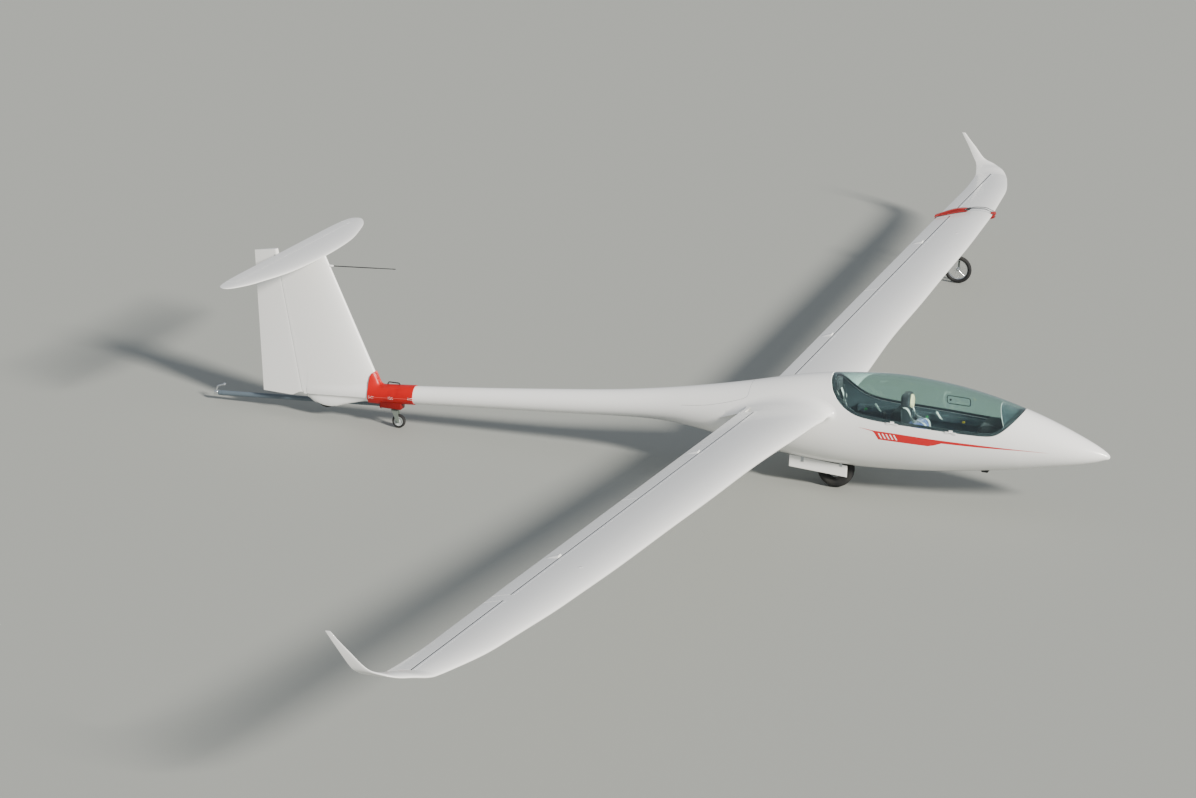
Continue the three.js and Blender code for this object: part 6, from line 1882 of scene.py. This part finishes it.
for way in (1, -1):
    foot = np.array([MAIN_WHEEL["x"], way * YOKE["y"], MAIN_WHEEL["z"]])
    head = np.array([YOKE["top"][0], way * YOKE["y"], YOKE["top"][1]])
    yoke_patches += [rounded(foot - [0, 0, 0.012], head, YOKE["leg"], sides=24),
                     turned([(0.0303, 0), (0.0303, 0.012), (0.097, 0.012), (0.0985, 0.0105), (0.0985, 0)],
                            (MAIN_WHEEL["x"], 0, MAIN_WHEEL["z"]), (0, way, 0)),
                     turned([(0.068, 0), (0.068, 0.021), (0.101, 0.021), (0.103, 0.019), (0.103, 0)],
                            (MAIN_WHEEL["x"], 0, MAIN_WHEEL["z"]), (0, way, 0), sides=6)]
yoke_patches += block(YOKE["head_x"], (-YOKE["head_y"], YOKE["head_y"]), (0.4037, 0.4437))
show("gear_yoke_weldment", yoke_patches, "glider", "painted_steel", [grey_paint], ["gear_yoke"])


# Wheels
# Black rubber tyres with grooves in the tread, moulded on aluminium or nylon hubs. Dust dulls their walls.
def rubber(name, colour, dust):
    """Rubber that has rolled over dry grass: nearly black, matt, and paler where the dust lies."""
    made, tree, shader = material(name, colour, 0.8, ior=1.52)
    place = node(tree, "ShaderNodeTexCoord").outputs["Object"]
    patches = node(tree, "ShaderNodeTexNoise", [("Scale", 9.0), ("Detail", 5.0)], Vector=place)
    ramp = node(tree, "ShaderNodeMapRange", [("From Min", 0.45), ("From Max", 0.75), ("To Max", 0.6)],
                Value=patches.outputs["Fac"])
    mix = node(tree, "ShaderNodeMix", [("data_type", "RGBA")])
    mix.inputs[6].default_value, mix.inputs[7].default_value = linear(colour), linear(dust)
    tree.links.new(ramp.outputs["Result"], mix.inputs[0])
    tree.links.new(mix.outputs[2], shader.inputs["Base Color"])
    grain = node(tree, "ShaderNodeTexNoise", [("Scale", 600.0)], Vector=place)
    bump = node(tree, "ShaderNodeBump", [("Strength", 0.2), ("Distance", 0.001)], Height=grain.outputs["Fac"])
    tree.links.new(bump.outputs["Normal"], shader.inputs["Normal"])
    return made


def tyre(shoulder, tread, grooves, depth, bead):
    """Profile of a tyre: a wall of (y, radius) points on each side, a tread with grooves and a flat bead."""
    wall = spline(np.array(shoulder), 16)
    half, crown, rise = wall[-1][0], wall[-1][1], tread
    tops = [(-half, crown)]
    for place in grooves:
        tops += [(place + step, crown + rise * (1 - (place / half) ** 2) - drop)
                 for step, drop in ((-0.003, 0), (-0.0024, depth), (0.0024, depth), (0.003, 0))]
    tops.append((half, crown))
    return [*(wall * [-1, 1]).tolist()[:-1], *tops, *wall[::-1].tolist()[1:], (-wall[0][0], bead)]


tyre_rubber = rubber("dusty_black_rubber", "#141516", "#3a3833")
grey_nylon = textured_plastic("pale_grey_moulded_nylon", "#aeb3b0", 6.0, 0.4)
main_centre = (MAIN_WHEEL["x"], 0, MAIN_WHEEL["z"])
show("main_tyre_rubber", [turned(tyre(
    [(0.0405, 0.0723), (0.0565, 0.096), (0.0622, 0.118), (0.0622, 0.140), (0.0485, 0.166), (0.030, 0.1762)],
    0.0036, (-0.020, 0.0, 0.020), 0.004, 0.0723,
), main_centre, sides=96)], "main_wheel", "tyre", [tyre_rubber], ["main_tyre"], crease=50)
rim_half = [(0.030, 0), (0.030, 0.020), (0.026, 0.030), (0.014, 0.034), (0.016, 0.052), (0.034, 0.060),
            (0.0405, 0.066), (0.0425, 0.0722), (0.038, 0.0722)]
show("main_rim_casting", [turned([(-y, r) for y, r in rim_half] + rim_half[::-1], main_centre, sides=72)],
     "main_wheel", "aluminium", [alloy], ["main_wheel_rim"])
bolt = grown(bars_round, Count=6, Radius=0.043, Bar=(0.008, 0.008, 0.034), Finish=steel)
planted("main_rim_bolts", [(bolt, main_centre, (1, 0, 0), (0, 1, 0))], "main_wheel", steel)
tail_centre = (TAIL_WHEEL["x"], 0, TAIL_WHEEL["z"])
show("tail_tyre_rubber", [turned(tyre(
    [(0.017, 0.052), (0.027, 0.060), (0.031, 0.074), (0.027, 0.089), (0.016, 0.0955)], 0.0022, (0.0,), 0.002,
    0.052,
), tail_centre, sides=72)], "tail_wheel", "tyre", [tyre_rubber], ["tail_wheel"], crease=50)
hub_half = [(0.0365, 0), (0.0365, 0.0078), (0.030, 0.008), (0.029, 0.016), (0.012, 0.020), (0.012, 0.040),
            (0.018, 0.046), (0.018, 0.0535), (0.012, 0.0535)]
show("tail_wheel_hub", [turned([(-y, r) for y, r in hub_half] + hub_half[::-1], tail_centre, sides=60)],
     "tail_wheel", "tyre", [grey_nylon])


# Tail dolly
# A red glass-fibre clamp shell closed round the tail cone and the fin's foot, riveted along its middle seam.
# A keel box under it carries the caster and the tow bar, and a black handle lifts it on.
DOLLY = {"front": -4.290, "rear": -4.770, "wall": 0.008, "lead": 0.017, "seam_down": 0.022, "fillet": 0.03,
         "cone": (-4.68, -4.58)}
DOLLY_TOP = np.array([
    [-4.770, 0.440], [-4.763, 0.494], [-4.742, 0.534], [-4.702, 0.562], [-4.650, 0.575], [-4.600, 0.520],
    [-4.290, 0.520],
])
KEEL_BOX = {"x": (-4.650, -4.420), "half": 0.058, "low": 0.196, "high": 0.290}
HANDLE = {"x": (-4.584, -4.458), "foot": 0.425, "top": 0.456, "bend": 0.018, "radius": 0.006}


def laminate(name, colour, dull):
    """Pigmented polyester resin over glass mat: strong, glossy colour with weave and rubbed places."""
    made, tree, shader = material(name, colour, 0.38, ior=1.45)
    place = node(tree, "ShaderNodeTexCoord").outputs["Object"]
    mat = node(tree, "ShaderNodeTexVoronoi", [("Scale", 60.0)], Vector=place)
    bump = node(tree, "ShaderNodeBump", [("Strength", 0.12), ("Distance", 0.001)],
        Height=mat.outputs["Distance"])
    tree.links.new(bump.outputs["Normal"], shader.inputs["Normal"])
    rubbed = node(tree, "ShaderNodeTexNoise", [("Scale", 7.0), ("Detail", 4.0)], Vector=place)
    mix = node(tree, "ShaderNodeMix", [("data_type", "RGBA")])
    mix.inputs[6].default_value, mix.inputs[7].default_value = linear(colour), linear(dull)
    ramp = node(tree, "ShaderNodeMapRange", [("From Min", 0.5), ("From Max", 0.8), ("To Max", 0.7)],
                Value=rubbed.outputs["Fac"])
    tree.links.new(ramp.outputs["Result"], mix.inputs[0])
    tree.links.new(mix.outputs[2], shader.inputs["Base Color"])
    return made


def dolly_distance(x, y, z):
    """Distance outside the dolly: a wall's thickness over the tail cone and over the foot of the fin."""
    edge = fin_lines(z)[0]
    nose = np.clip((x - edge + DOLLY["wall"]) / (DOLLY["wall"] + DOLLY["lead"]), 0, 1)
    half = (fin_half(z, np.minimum(x, edge)) + DOLLY["wall"]) * np.sqrt(1 - nose ** 2)
    slab = np.maximum(np.maximum(np.abs(y) - half, x - edge - DOLLY["lead"]), hull_at(x)[0] - z)
    middle, half_width, half_height = hull_at(x)
    boom = (np.hypot(y / half_width, (z - middle) / half_height) - 1) * half_height
    ahead = np.clip((x - DOLLY["cone"][0]) / (DOLLY["cone"][1] - DOLLY["cone"][0]), 0, 1)
    over = (1 - ahead) * cone_distance(x, y, z) + ahead * boom
    shell = joined(over - DOLLY["wall"], slab, DOLLY["fillet"])
    return np.maximum(shell, z - np.interp(x, *DOLLY_TOP.T))


red_laminate = laminate("red_glass_fibre_laminate", "#ba0100", "#960402")
# A darker copy of the red laminate: painted shade, for the keel box under the dolly and the clamp's cradle
# and foam core.
shade_darkened_red = laminate("dark_red_glass_fibre_laminate", "#780403", "#520605")
dolly_x = DOLLY["rear"] + (DOLLY["front"] - DOLLY["rear"]) * np.linspace(0, 1, 72)[:, None] ** 0.9
dolly_left = half_shell(dolly_distance, dolly_x, np.interp(dolly_x, *DOLLY_TOP.T) + 0.002, (26, 44))
mirrored = [1, -1, 1]
show("dolly_shell_laminate", [dolly_left, dolly_left * mirrored] + [
    np.stack([edge, edge * mirrored]) for edge in (dolly_left[0], dolly_left[-1], dolly_left[:, -1])
], "glider", "red_laminate", [red_laminate], ["dolly_shell"])
seam_x = np.linspace(DOLLY["rear"] + 0.002, DOLLY["front"] - 0.002, 40)
seam_z = hull_at(seam_x)[0] - DOLLY["seam_down"]
seam_y = reach_of(lambda r: dolly_distance(seam_x, r, seam_z), 0.3, seam_x.shape)
for label, way in (("left", 1), ("right", -1)):
    show(f"dolly_seam_{label}", [tube(np.stack([seam_x, seam_y, seam_z], axis=1), 0.0022, sides=8)],
         "glider", "red_laminate", [laminate(f"pink_{label}_seam_resin", "#e0554c", "#c9635c")], flip=way)
rivet_rows, start, end = new_tree("rivets_in_rows", [
    ("Columns", "Int"), ("Length", "Float"), ("Width", "Float"), ("Head", "Float"), ("Finish", "Material"),
])
grid = node(rivet_rows, "GeometryNodeMeshGrid", [("Vertices Y", 2)], Size_X=start.outputs["Length"],
            Size_Y=start.outputs["Width"], Vertices_X=start.outputs["Columns"])
ball = node(rivet_rows, "GeometryNodeMeshUVSphere", [("Segments", 12), ("Rings", 7)],
    Radius=start.outputs["Head"])
dome = node(rivet_rows, "GeometryNodeTransform", [("Scale", (1.0, 1.0, 0.5))], Geometry=ball.outputs["Mesh"])
rivets = node(rivet_rows, "GeometryNodeInstanceOnPoints", Points=grid.outputs["Mesh"],
              Instance=dome.outputs["Geometry"])
real = node(rivet_rows, "GeometryNodeRealizeInstances", Geometry=rivets.outputs["Instances"])
finished = node(rivet_rows, "GeometryNodeSetMaterial", Geometry=real.outputs["Geometry"],
                Material=start.outputs["Finish"])
rivet_rows.links.new(finished.outputs["Geometry"], end.inputs["Geometry"])
rivet_alloy = brushed_metal("bright_rivet_alloy", "#eceff0", 0.25)
rivet_patch = grown(rivet_rows, Columns=4, Length=0.044, Width=0.020, Head=0.0045, Finish=rivet_alloy)
copies = []
for way in (1, -1):
    for x in (-4.730, -4.522, -4.314):
        middle, half_width, half_height = hull_at(x)
        reach = reach_of(lambda r: dolly_distance(x, r, middle - DOLLY["seam_down"]), 0.3, ())
        outward = (0, way * reach / half_width ** 2, -DOLLY["seam_down"] / half_height ** 2)
        copies.append((rivet_patch, (x, way * reach, middle - DOLLY["seam_down"]), (1, 0, 0), outward))
planted("dolly_rivets", copies, "glider", rivet_alloy)
# The keel box takes the darker red: painted shade under the dolly.
eased(show("dolly_keel_box", block(KEEL_BOX["x"], (-KEEL_BOX["half"], KEEL_BOX["half"]),
                                   (KEEL_BOX["low"], KEEL_BOX["high"])),
           "glider", "red_laminate", [shade_darkened_red], ["dolly_keel"]), 0.010)
bend = [arc((x + way * HANDLE["bend"], HANDLE["top"] - HANDLE["bend"]), HANDLE["bend"], *turns)
        for x, way, turns in ((HANDLE["x"][0], 1, (180, 90)), (HANDLE["x"][1], -1, (90, 0)))]
handle_line = np.concatenate([[(HANDLE["x"][0], HANDLE["foot"])], *bend, [(HANDLE["x"][1], HANDLE["foot"])]])
show("dolly_handle_bow", [tube(np.insert(handle_line, 1, 0.0, axis=1), HANDLE["radius"], sides=16,
    squash=1.4)],
     "glider", "black_trim", [black_moulding], ["dolly_handle"])


# Dolly caster
# A trailing fork of bent and welded steel plate that swivels under the keel, with a solid rubber wheel.
CASTER = {"x": -4.458, "z": 0.069, "swivel": -4.508}
fork = [turned([(0.1838, 0), (0.1838, 0.022), (0.1948, 0.022), (0.1956, 0.021), (0.1956, 0)],
               (CASTER["swivel"], 0, 0), (0, 0, 1)),
        *block((-4.534, -4.468), (-0.031, 0.031), (0.1705, 0.186))]
cheek = [(-4.533, 0.184), *arc((CASTER["x"], CASTER["z"]), 0.017, 200, 340), (-4.469, 0.184)]
for way in (1, -1):
    fork += [*plate(cheek, way * 0.0252, way * 0.0308),
             turned([(0.0308, 0), (0.0308, 0.0085), (0.036, 0.008), (0.037, 0)],
                    (CASTER["x"], 0, CASTER["z"]), (0, way, 0), sides=6)]
show("caster_fork_plates", fork, "caster", "painted_steel", [grey_paint], ["caster_fork"])
caster_centre = (CASTER["x"], 0, CASTER["z"])
show("caster_tyre_rubber", [turned(tyre(
    [(0.0165, 0.045), (0.019, 0.052), (0.018, 0.061), (0.010, 0.0684)], 0.0006, (), 0, 0.045,
), caster_centre, sides=60)], "caster_wheel", "tyre", [tyre_rubber], ["caster_wheel"], crease=50)
hub_half = [(0.0245, 0), (0.0245, 0.009), (0.018, 0.012), (0.010, 0.014), (0.009, 0.032), (0.0165, 0.038),
            (0.0172, 0.0462), (0.012, 0.0462)]
show("caster_hub", [turned([(-y, r) for y, r in hub_half] + hub_half[::-1], caster_centre, sides=48)],
     "caster_wheel", "tyre", [grey_nylon])


# Tow bar
# A blue-grey sprayed tube, pinned to a bracket beside the dolly's keel. A bright steel coupling with a
# ball-ended release lever closes its rear end.
BAR = {"front": (-4.640, 0.096, 0.196), "rear": (-6.446, 0.096, 0.084), "radius": 0.025}
tube_paint = sprayed("blue_grey_sprayed_tube", "#59656e", 0.42)
bar_way = (np.array(BAR["rear"]) - BAR["front"]) / np.linalg.norm(np.array(BAR["rear"]) - BAR["front"])
collars = [turned([(at, 0.020), (at, 0.0268), (at + 0.030, 0.0268), (at + 0.030, 0.020), (at, 0.020)],
                  BAR["front"], bar_way) for at in (0.060, 1.740)]
show("tow_bar_tube", [rounded(BAR["front"], BAR["rear"], BAR["radius"], ease=0.002, sides=36), *collars],
     "glider", "aluminium", [tube_paint], ["tow_bar"])
eased(show("tow_bar_bracket", block((-4.660, -4.610), (0.0585, 0.104), (0.182, 0.210)), "glider", "aluminium",
           [grey_paint]), 0.004)
show("tow_bar_pin", [rounded((-4.640, -0.066, 0.188), (-4.640, 0.110, 0.188), 0.006, sides=20),
                     *[turned([(0, 0), (0, 0.010), (0.006, 0.010), (0.007, 0.009), (0.007, 0)],
                              (-4.640, y, 0.188), (0, way, 0), sides=6)
                       for y, way in ((-0.060, -1), (0.104, 1))]],
     "glider", "aluminium", [rivet_alloy])
chrome = brushed_metal("bright_plated_steel", "#dfe2e4", 0.14)
lever = np.array([(-6.472, 0.096, 0.090), (-6.466, 0.096, 0.130), (-6.458, 0.096, 0.150),
                  (-6.440, 0.096, 0.160), (-6.386, 0.096, 0.179)])
ball_turn = np.linspace(0, np.pi, 15)
coupling = block((-6.496, -6.448), (0.074, 0.118), (0.060, 0.104))
eased(show("tow_coupling_block", coupling, "glider", "painted_steel", [chrome], ["tow_coupling"]), 0.009)
show("tow_coupling_lever", [
    tube(spline(lever, 40), 0.009, sides=16),
    turned(0.0165 * np.stack([-np.cos(ball_turn), np.sin(ball_turn)], axis=1), lever[-1], sides=24),
    turned([(-0.026, 0), (-0.026, 0.009), (0.026, 0.009), (0.026, 0)], (-6.474, 0.096, 0.086), sides=24),
], "glider", "painted_steel", [chrome])


# Wing clamp
# A padded clamp that slides over the wing: red glass-fibre cradle and nose cap, two layers of red webbing
# over the rear half, and two steel wires that pull the nose cap back.
CLAMP = {"y": 7.500, "x": -0.760, "slant": 0.35, "half": 0.040}


def clamp_y(x):
    """Where the clamp crosses the wing: its rear end stands nearer the fuselage than its nose."""
    return CLAMP["y"] + CLAMP["slant"] * (x - CLAMP["x"])


def over_wing(x, side):
    """Height of the wing's upper (1) or lower (-1) skin under the clamp."""
    return wing_middle(clamp_y(x), x) + side * wing_half(clamp_y(x), x)


def band(line, thick, half, across=0.0):
    """Grids of a flat band with eased edges, by its half width. The (x, z) points are its underside."""
    line = spline(np.asarray(line, float), 60)
    ahead = np.gradient(line, axis=0)
    up = np.stack([-ahead[:, 1], ahead[:, 0]], axis=1) / np.linalg.norm(ahead, axis=1)[:, None]
    profile = [(-1, 0.15), (-1, 0.85), (-0.96, 1), (0.96, 1), (1, 0.85), (1, 0.15), (0.96, 0), (-0.96, 0)]
    rows = np.stack([np.stack([
        line[:, 0] + share * thick * up[:, 0], clamp_y(line[:, 0]) + across + side * half,
        line[:, 1] + share * thick * up[:, 1],
    ], axis=1) for side, share in profile], axis=1)
    rows = ring_of(rows)
    return [rows, *ends_of(rows)]


wing_nose, wing_tail = wing_lines(clamp_y(-0.229))[0], wing_lines(clamp_y(-0.817))[2]
nose_z = wing_middle(clamp_y(wing_nose), wing_nose)
inside_x = wing_nose + (wing_tail - wing_nose) * np.array([0.96, 0.8, 0.6, 0.4, 0.25, 0.12, 0.06])
under = [(wing_tail - 0.022, over_wing(wing_tail, -1) - 0.020),
         *[(x, over_wing(x, -1) - 0.018) for x in inside_x],
         (wing_nose - 0.006, nose_z - 0.040), (wing_nose + 0.028, nose_z - 0.030)]
# The cradle under the wing takes the darker red: painted shade.
show("clamp_cradle_shell", band(under, 0.015, CLAMP["half"]), "glider", "red_laminate", [shade_darkened_red],
     ["clamp_cradle"], close=True)
loop = [(wing_nose - 0.004, nose_z - 0.020), (wing_nose + 0.020, nose_z - 0.014),
        (wing_nose + 0.033, nose_z + 0.006), (wing_nose + 0.027, nose_z + 0.028),
        (wing_nose + 0.006, nose_z + 0.036), (wing_nose - 0.012, nose_z + 0.034)]
red_webbing = dyed(blue_cloth, "red_polyester_webbing", "#820506", "#a80a08")
show("clamp_nose_loop", band(loop, 0.016, 0.040), "glider", "red_laminate", [red_webbing],
     ["clamp_nose_cap"], close=True)
rear_end = (wing_tail - 0.024, over_wing(wing_tail, 1) - 0.004)
lower_line = [rear_end, (wing_tail - 0.006, over_wing(wing_tail, 1) + 0.007),
              (-0.740, over_wing(-0.740, 1) + 0.005), (-0.620, over_wing(-0.620, 1) + 0.005),
              (-0.500, over_wing(-0.500, 1) + 0.006)]
upper_line = [(wing_tail - 0.022, over_wing(wing_tail, 1) + 0.012), (-0.760, over_wing(-0.760, 1) + 0.027),
              (-0.672, over_wing(-0.672, 1) + 0.038), (-0.580, over_wing(-0.580, 1) + 0.040),
              (-0.505, over_wing(-0.505, 1) + 0.030)]
for name, line, thick, half in (("lower", lower_line, 0.010, 0.036), ("upper", upper_line, 0.010, 0.030)):
    show(f"clamp_strap_{name}", band(line[::-1], -thick, half), "glider", "red_laminate", [red_webbing],
         ["clamp_top_strap"] if name == "lower" else [], close=True)
pad = [(x, over_wing(x, 1) + 0.0004) for x in (wing_tail + 0.004, -0.740, -0.620, -0.505)]
show("clamp_rubber_pad", band(pad[::-1], -0.0045, 0.040), "glider", "red_laminate", [rubber_grip], close=True)
fill_lift = ((-0.775, 0.013), (-0.700, 0.016), (-0.600, 0.017), (-0.530, 0.017))
filling = [(x, over_wing(x, 1) + rise) for x, rise in fill_lift]
# The foam core between the straps takes the darker red: painted shade.
show("clamp_foam_core", band(filling[::-1], -0.019, 0.030), "glider", "red_laminate", [shade_darkened_red], close=True)
buckle = [(-0.512, over_wing(-0.512, 1) + 0.016), (-0.490, over_wing(-0.490, 1) + 0.017),
          (-0.468, over_wing(-0.468, 1) + 0.019)]
show("clamp_buckle", band(buckle[::-1], -0.020, 0.033), "glider", "red_laminate", [black_moulding],
    close=True)
wire_grey = brushed_metal("dull_steel_wire", "#4d5154", 0.45)
for label, across in (("inner", -0.036), ("outer", 0.036)):
    way = np.array([(-0.480, 0.028), (-0.430, 0.036), (-0.340, 0.036), (-0.285, 0.034)])
    line = [(x, over_wing(x, 1) + lift) for x, lift in way]
    line = spline(np.array([*line, (wing_nose - 0.020, nose_z + 0.048), (wing_nose + 0.004, nose_z + 0.044)]),
        40)
    path = np.stack([line[:, 0], clamp_y(line[:, 0]) + across, line[:, 1]], axis=1)
    show(f"clamp_wire_{label}", [tube(path, 0.004, sides=10)], "glider", "red_laminate", [wire_grey])


# Wing wheel
# A spoked wheel on a stub axle. A steel tube joins the axle to the clamp, so the wing tip rolls along
# with the tail.
WING_WHEEL = {"centre": (-0.540, 7.500, 0.160), "tyre": 0.136, "section": 0.0237, "spoke": 0.0011}


def from_ground(points):
    """Points of the upright wing wheel, in the level glider's axes."""
    return unsettle(np.asarray(points, float) + FRAME_SHIFT)


cradle_low = over_wing(-0.540, -1) - 0.018
axle_way = from_ground((0, 1, 0)) - from_ground((0, 0, 0))
strut_foot, strut_head = from_ground((-0.540, 7.542, 0.152)), np.array([-0.540, 7.577, cradle_low - 0.004])
strut = [rounded(strut_foot, strut_head, 0.0118, sides=24),
         *[rounded(from_ground((-0.540, a, 0.160)), from_ground((-0.540, b, 0.160)), r, sides=24)
           for a, b, r in ((7.472, 7.556, 0.006), (7.533, 7.550, 0.017), (7.470, 7.474, 0.009))]]
show("wing_wheel_tube", strut, "glider", "painted_steel", [grey_paint], ["wing_wheel_strut"])
head = block((-0.584, -0.496), (7.554, 7.600), (cradle_low - 0.015, cradle_low + 0.006))
eased(show("wing_wheel_head", head, "glider", "painted_steel", [grey_paint]), 0.004)
turn = np.linspace(0, 2 * np.pi, 25)
knob = WING_WHEEL["section"] - 0.0012 * (np.abs(np.sin(turn * 6)) > 0.7) * (np.cos(turn) > 0.2)
section = np.stack([knob * np.sin(turn), WING_WHEEL["tyre"] + knob * np.cos(turn)], axis=1)
section[-1] = section[0]
wheel_place = from_ground(WING_WHEEL["centre"])
show("wing_wheel_rubber", [turned(section, wheel_place, axle_way, sides=96)], "wing_wheel", "tyre",
     [tyre_rubber], ["wing_wheel_tyre"], crease=60)
rim_half = [(0.0, 0.1085), (0.0085, 0.1085), (0.0108, 0.1155), (0.0092, 0.1188), (0.0055, 0.1150),
    (0.0, 0.1140)]
rim_loop = rim_half + [(-y, r) for y, r in rim_half[::-1]][1:]
hub_line = [(0.026, 0.0068), (0.026, 0.010), (0.020, 0.011), (0.018, 0.020), (0.0155, 0.020), (0.0135, 0.011)]
hub_loop = hub_line + [(-y, r) for y, r in hub_line[::-1]] + [hub_line[0]]
show("wing_wheel_rim_and_hub", [turned(loop, wheel_place, axle_way, sides=72) for loop in (rim_loop,
    hub_loop)],
     "wing_wheel", "painted_steel", [alloy], ["wing_wheel_rim"])
spokes_round, start, end = new_tree("spokes_round_a_hub", [
    ("Count", "Int"), ("Middle", "Float"), ("Reach", "Float"), ("Lean", "Vector"), ("Length", "Float"),
    ("Wire", "Float"), ("Finish", "Material"),
])
circle = node(spokes_round, "GeometryNodeMeshCircle", Vertices=start.outputs["Count"],
    Radius=start.outputs["Middle"])
reach = node(spokes_round, "ShaderNodeVectorMath", [("operation", "SCALE")], Scale=start.outputs["Reach"],
             Vector=node(spokes_round, "GeometryNodeInputPosition").outputs["Position"])
lean = node(spokes_round, "ShaderNodeVectorMath", [("operation", "ADD")])
spokes_round.links.new(reach.outputs["Vector"], lean.inputs[0])
spokes_round.links.new(start.outputs["Lean"], lean.inputs[1])
aimed = node(spokes_round, "FunctionNodeAlignRotationToVector", [("axis", "Z")],
    Vector=lean.outputs["Vector"])
wire = node(spokes_round, "GeometryNodeMeshCylinder", [("Vertices", 8)], Radius=start.outputs["Wire"],
            Depth=start.outputs["Length"])
spokes = node(spokes_round, "GeometryNodeInstanceOnPoints", Points=circle.outputs["Mesh"],
              Instance=wire.outputs["Mesh"], Rotation=aimed.outputs["Rotation"])
real = node(spokes_round, "GeometryNodeRealizeInstances", Geometry=spokes.outputs["Instances"])
finished = node(spokes_round, "GeometryNodeSetMaterial", Geometry=real.outputs["Geometry"],
                Material=start.outputs["Finish"])
spokes_round.links.new(finished.outputs["Geometry"], end.inputs["Geometry"])
hub_r, rim_r, spread = 0.0185, 0.1105, 0.0168
spoke_side = grown(spokes_round, Count=14, Middle=(hub_r + rim_r) / 2,
    Reach=(rim_r - hub_r) * 2 / (hub_r + rim_r),
                   Lean=(0, 0, -spread), Length=math.hypot(rim_r - hub_r, spread), Wire=WING_WHEEL["spoke"],
                   Finish=chrome)
first = np.cross(axle_way, [0, 0, 1])
half_pitch = math.pi / 14
turned_first = math.cos(half_pitch) * first + math.sin(half_pitch) * np.cross(axle_way, first)
planted("wing_wheel_spokes", [
    (spoke_side, wheel_place + axle_way * spread / 2, first, axle_way),
    (spoke_side, wheel_place - axle_way * spread / 2, turned_first, -axle_way),
], "wing_wheel", chrome)


# Fin probe
# A long black air-data tube in a white socket on the fin's leading edge, tapered at its tip.
PROBE = {"root": (-5.2293, 0.0, 1.562), "tip": (-4.535, 0.0, 1.607), "radius": 0.0048}
probe_way = (np.array(PROBE["tip"]) - PROBE["root"]) / np.linalg.norm(np.array(PROBE["tip"]) - PROBE["root"])
shares = np.array([0.0, 0.002, 0.70, 0.71, 0.95, 0.97, 0.99, 1.0])
widths = np.array([0.6, 1.0, 1.0, 0.82, 0.82, 0.95, 0.7, 0.3]) * PROBE["radius"]
probe_line = np.array(PROBE["root"]) + shares[:, None] * (np.array(PROBE["tip"]) - PROBE["root"])
show("fin_probe_tube", [tube(probe_line, widths, sides=16)], "glider", "black_trim", [black_moulding],
    ["fin_probe"])
show("fin_probe_socket", [turned([(-0.02, 0), (-0.02, 0.012), (0.010, 0.0115), (0.030, 0.0085),
    (0.038, 0.005), (0.038, 0)],
                                 PROBE["root"], probe_way, sides=24)], "glider", "gelcoat", [white_gelcoat])


# Rudder slot
# A narrow drain slot through the rudder's head, drawn as a black block: its dark inside is painted shade.
SLOT = {"x": -5.811, "z": 1.610, "length": 0.024, "width": 0.005}
slot_half = fin_half(SLOT["z"], SLOT["x"]) + 0.0006
show("rudder_slot", block((SLOT["x"] - SLOT["length"] / 2, SLOT["x"] + SLOT["length"] / 2),
    (-slot_half, slot_half),
                          (SLOT["z"] - SLOT["width"] / 2, SLOT["z"] + SLOT["width"] / 2)),
     "rudder", "gelcoat", [black_moulding])


# Wing fittings
# White glass-fibre blisters over the flap and aileron horns, and a filler cap flush with each outer panel.
BLISTERS = {"flap": 2.330, "aileron": 6.190}
BLISTER = {"front": -0.682, "rear": -0.800, "half": 0.048, "height": 0.018}
CAP = {"x": -0.380, "y": 6.560}
for label, flip in (("left", 1), ("right", -1)):
    for name, y in BLISTERS.items():
        along, across = np.linspace(0, 1, 14)[:, None], np.linspace(-1, 1, 14)[None, :]
        x = BLISTER["front"] + (BLISTER["rear"] - BLISTER["front"]) * along
        y = y + BLISTER["half"] * across * (1 - 0.35 * along)
        lift = BLISTER["height"] * (1 - along) ** 0.7 * (1 - across ** 4) - 0.0015
        top, low = [wing_middle(y, x) + wing_half(y, x) + rise for rise in (lift, -0.004 + 0 * lift)]
        grids = [np.stack(np.broadcast_arrays(x, y, z), axis=-1) for z in (top, low)]
        rims = [np.stack([grids[0][pick], grids[1][pick]]) for pick in (0, -1, np.s_[:, 0], np.s_[:, -1])]
        show(f"{name}_blister_{label}", [*grids, *rims], f"{name}_{label}", "gelcoat", [white_gelcoat],
            flip=flip)
    x, y = CAP["x"], CAP["y"]
    z = wing_middle(y, x) + wing_half(y, x)
    cap_profile = [(-0.004, 0), (-0.004, 0.020), (0.0008, 0.020), (0.0016, 0.0185), (0.0016, 0)]
    show(f"filler_cap_{label}", [turned(cap_profile, (x, y, z), (0.02, -0.04, 1), sides=36)],
         "glider", "gelcoat", [white_gelcoat], flip=flip)
    # The cap's coin slot is a black bar laid in the cap: painted shade for the dark inside the slot.
    coin_slot = block((x - 0.012, x + 0.012), (y - 0.002, y + 0.002), (z - 0.002, z + 0.0022))
    show(f"filler_slot_{label}", coin_slot, "glider", "gelcoat", [black_moulding], flip=flip)
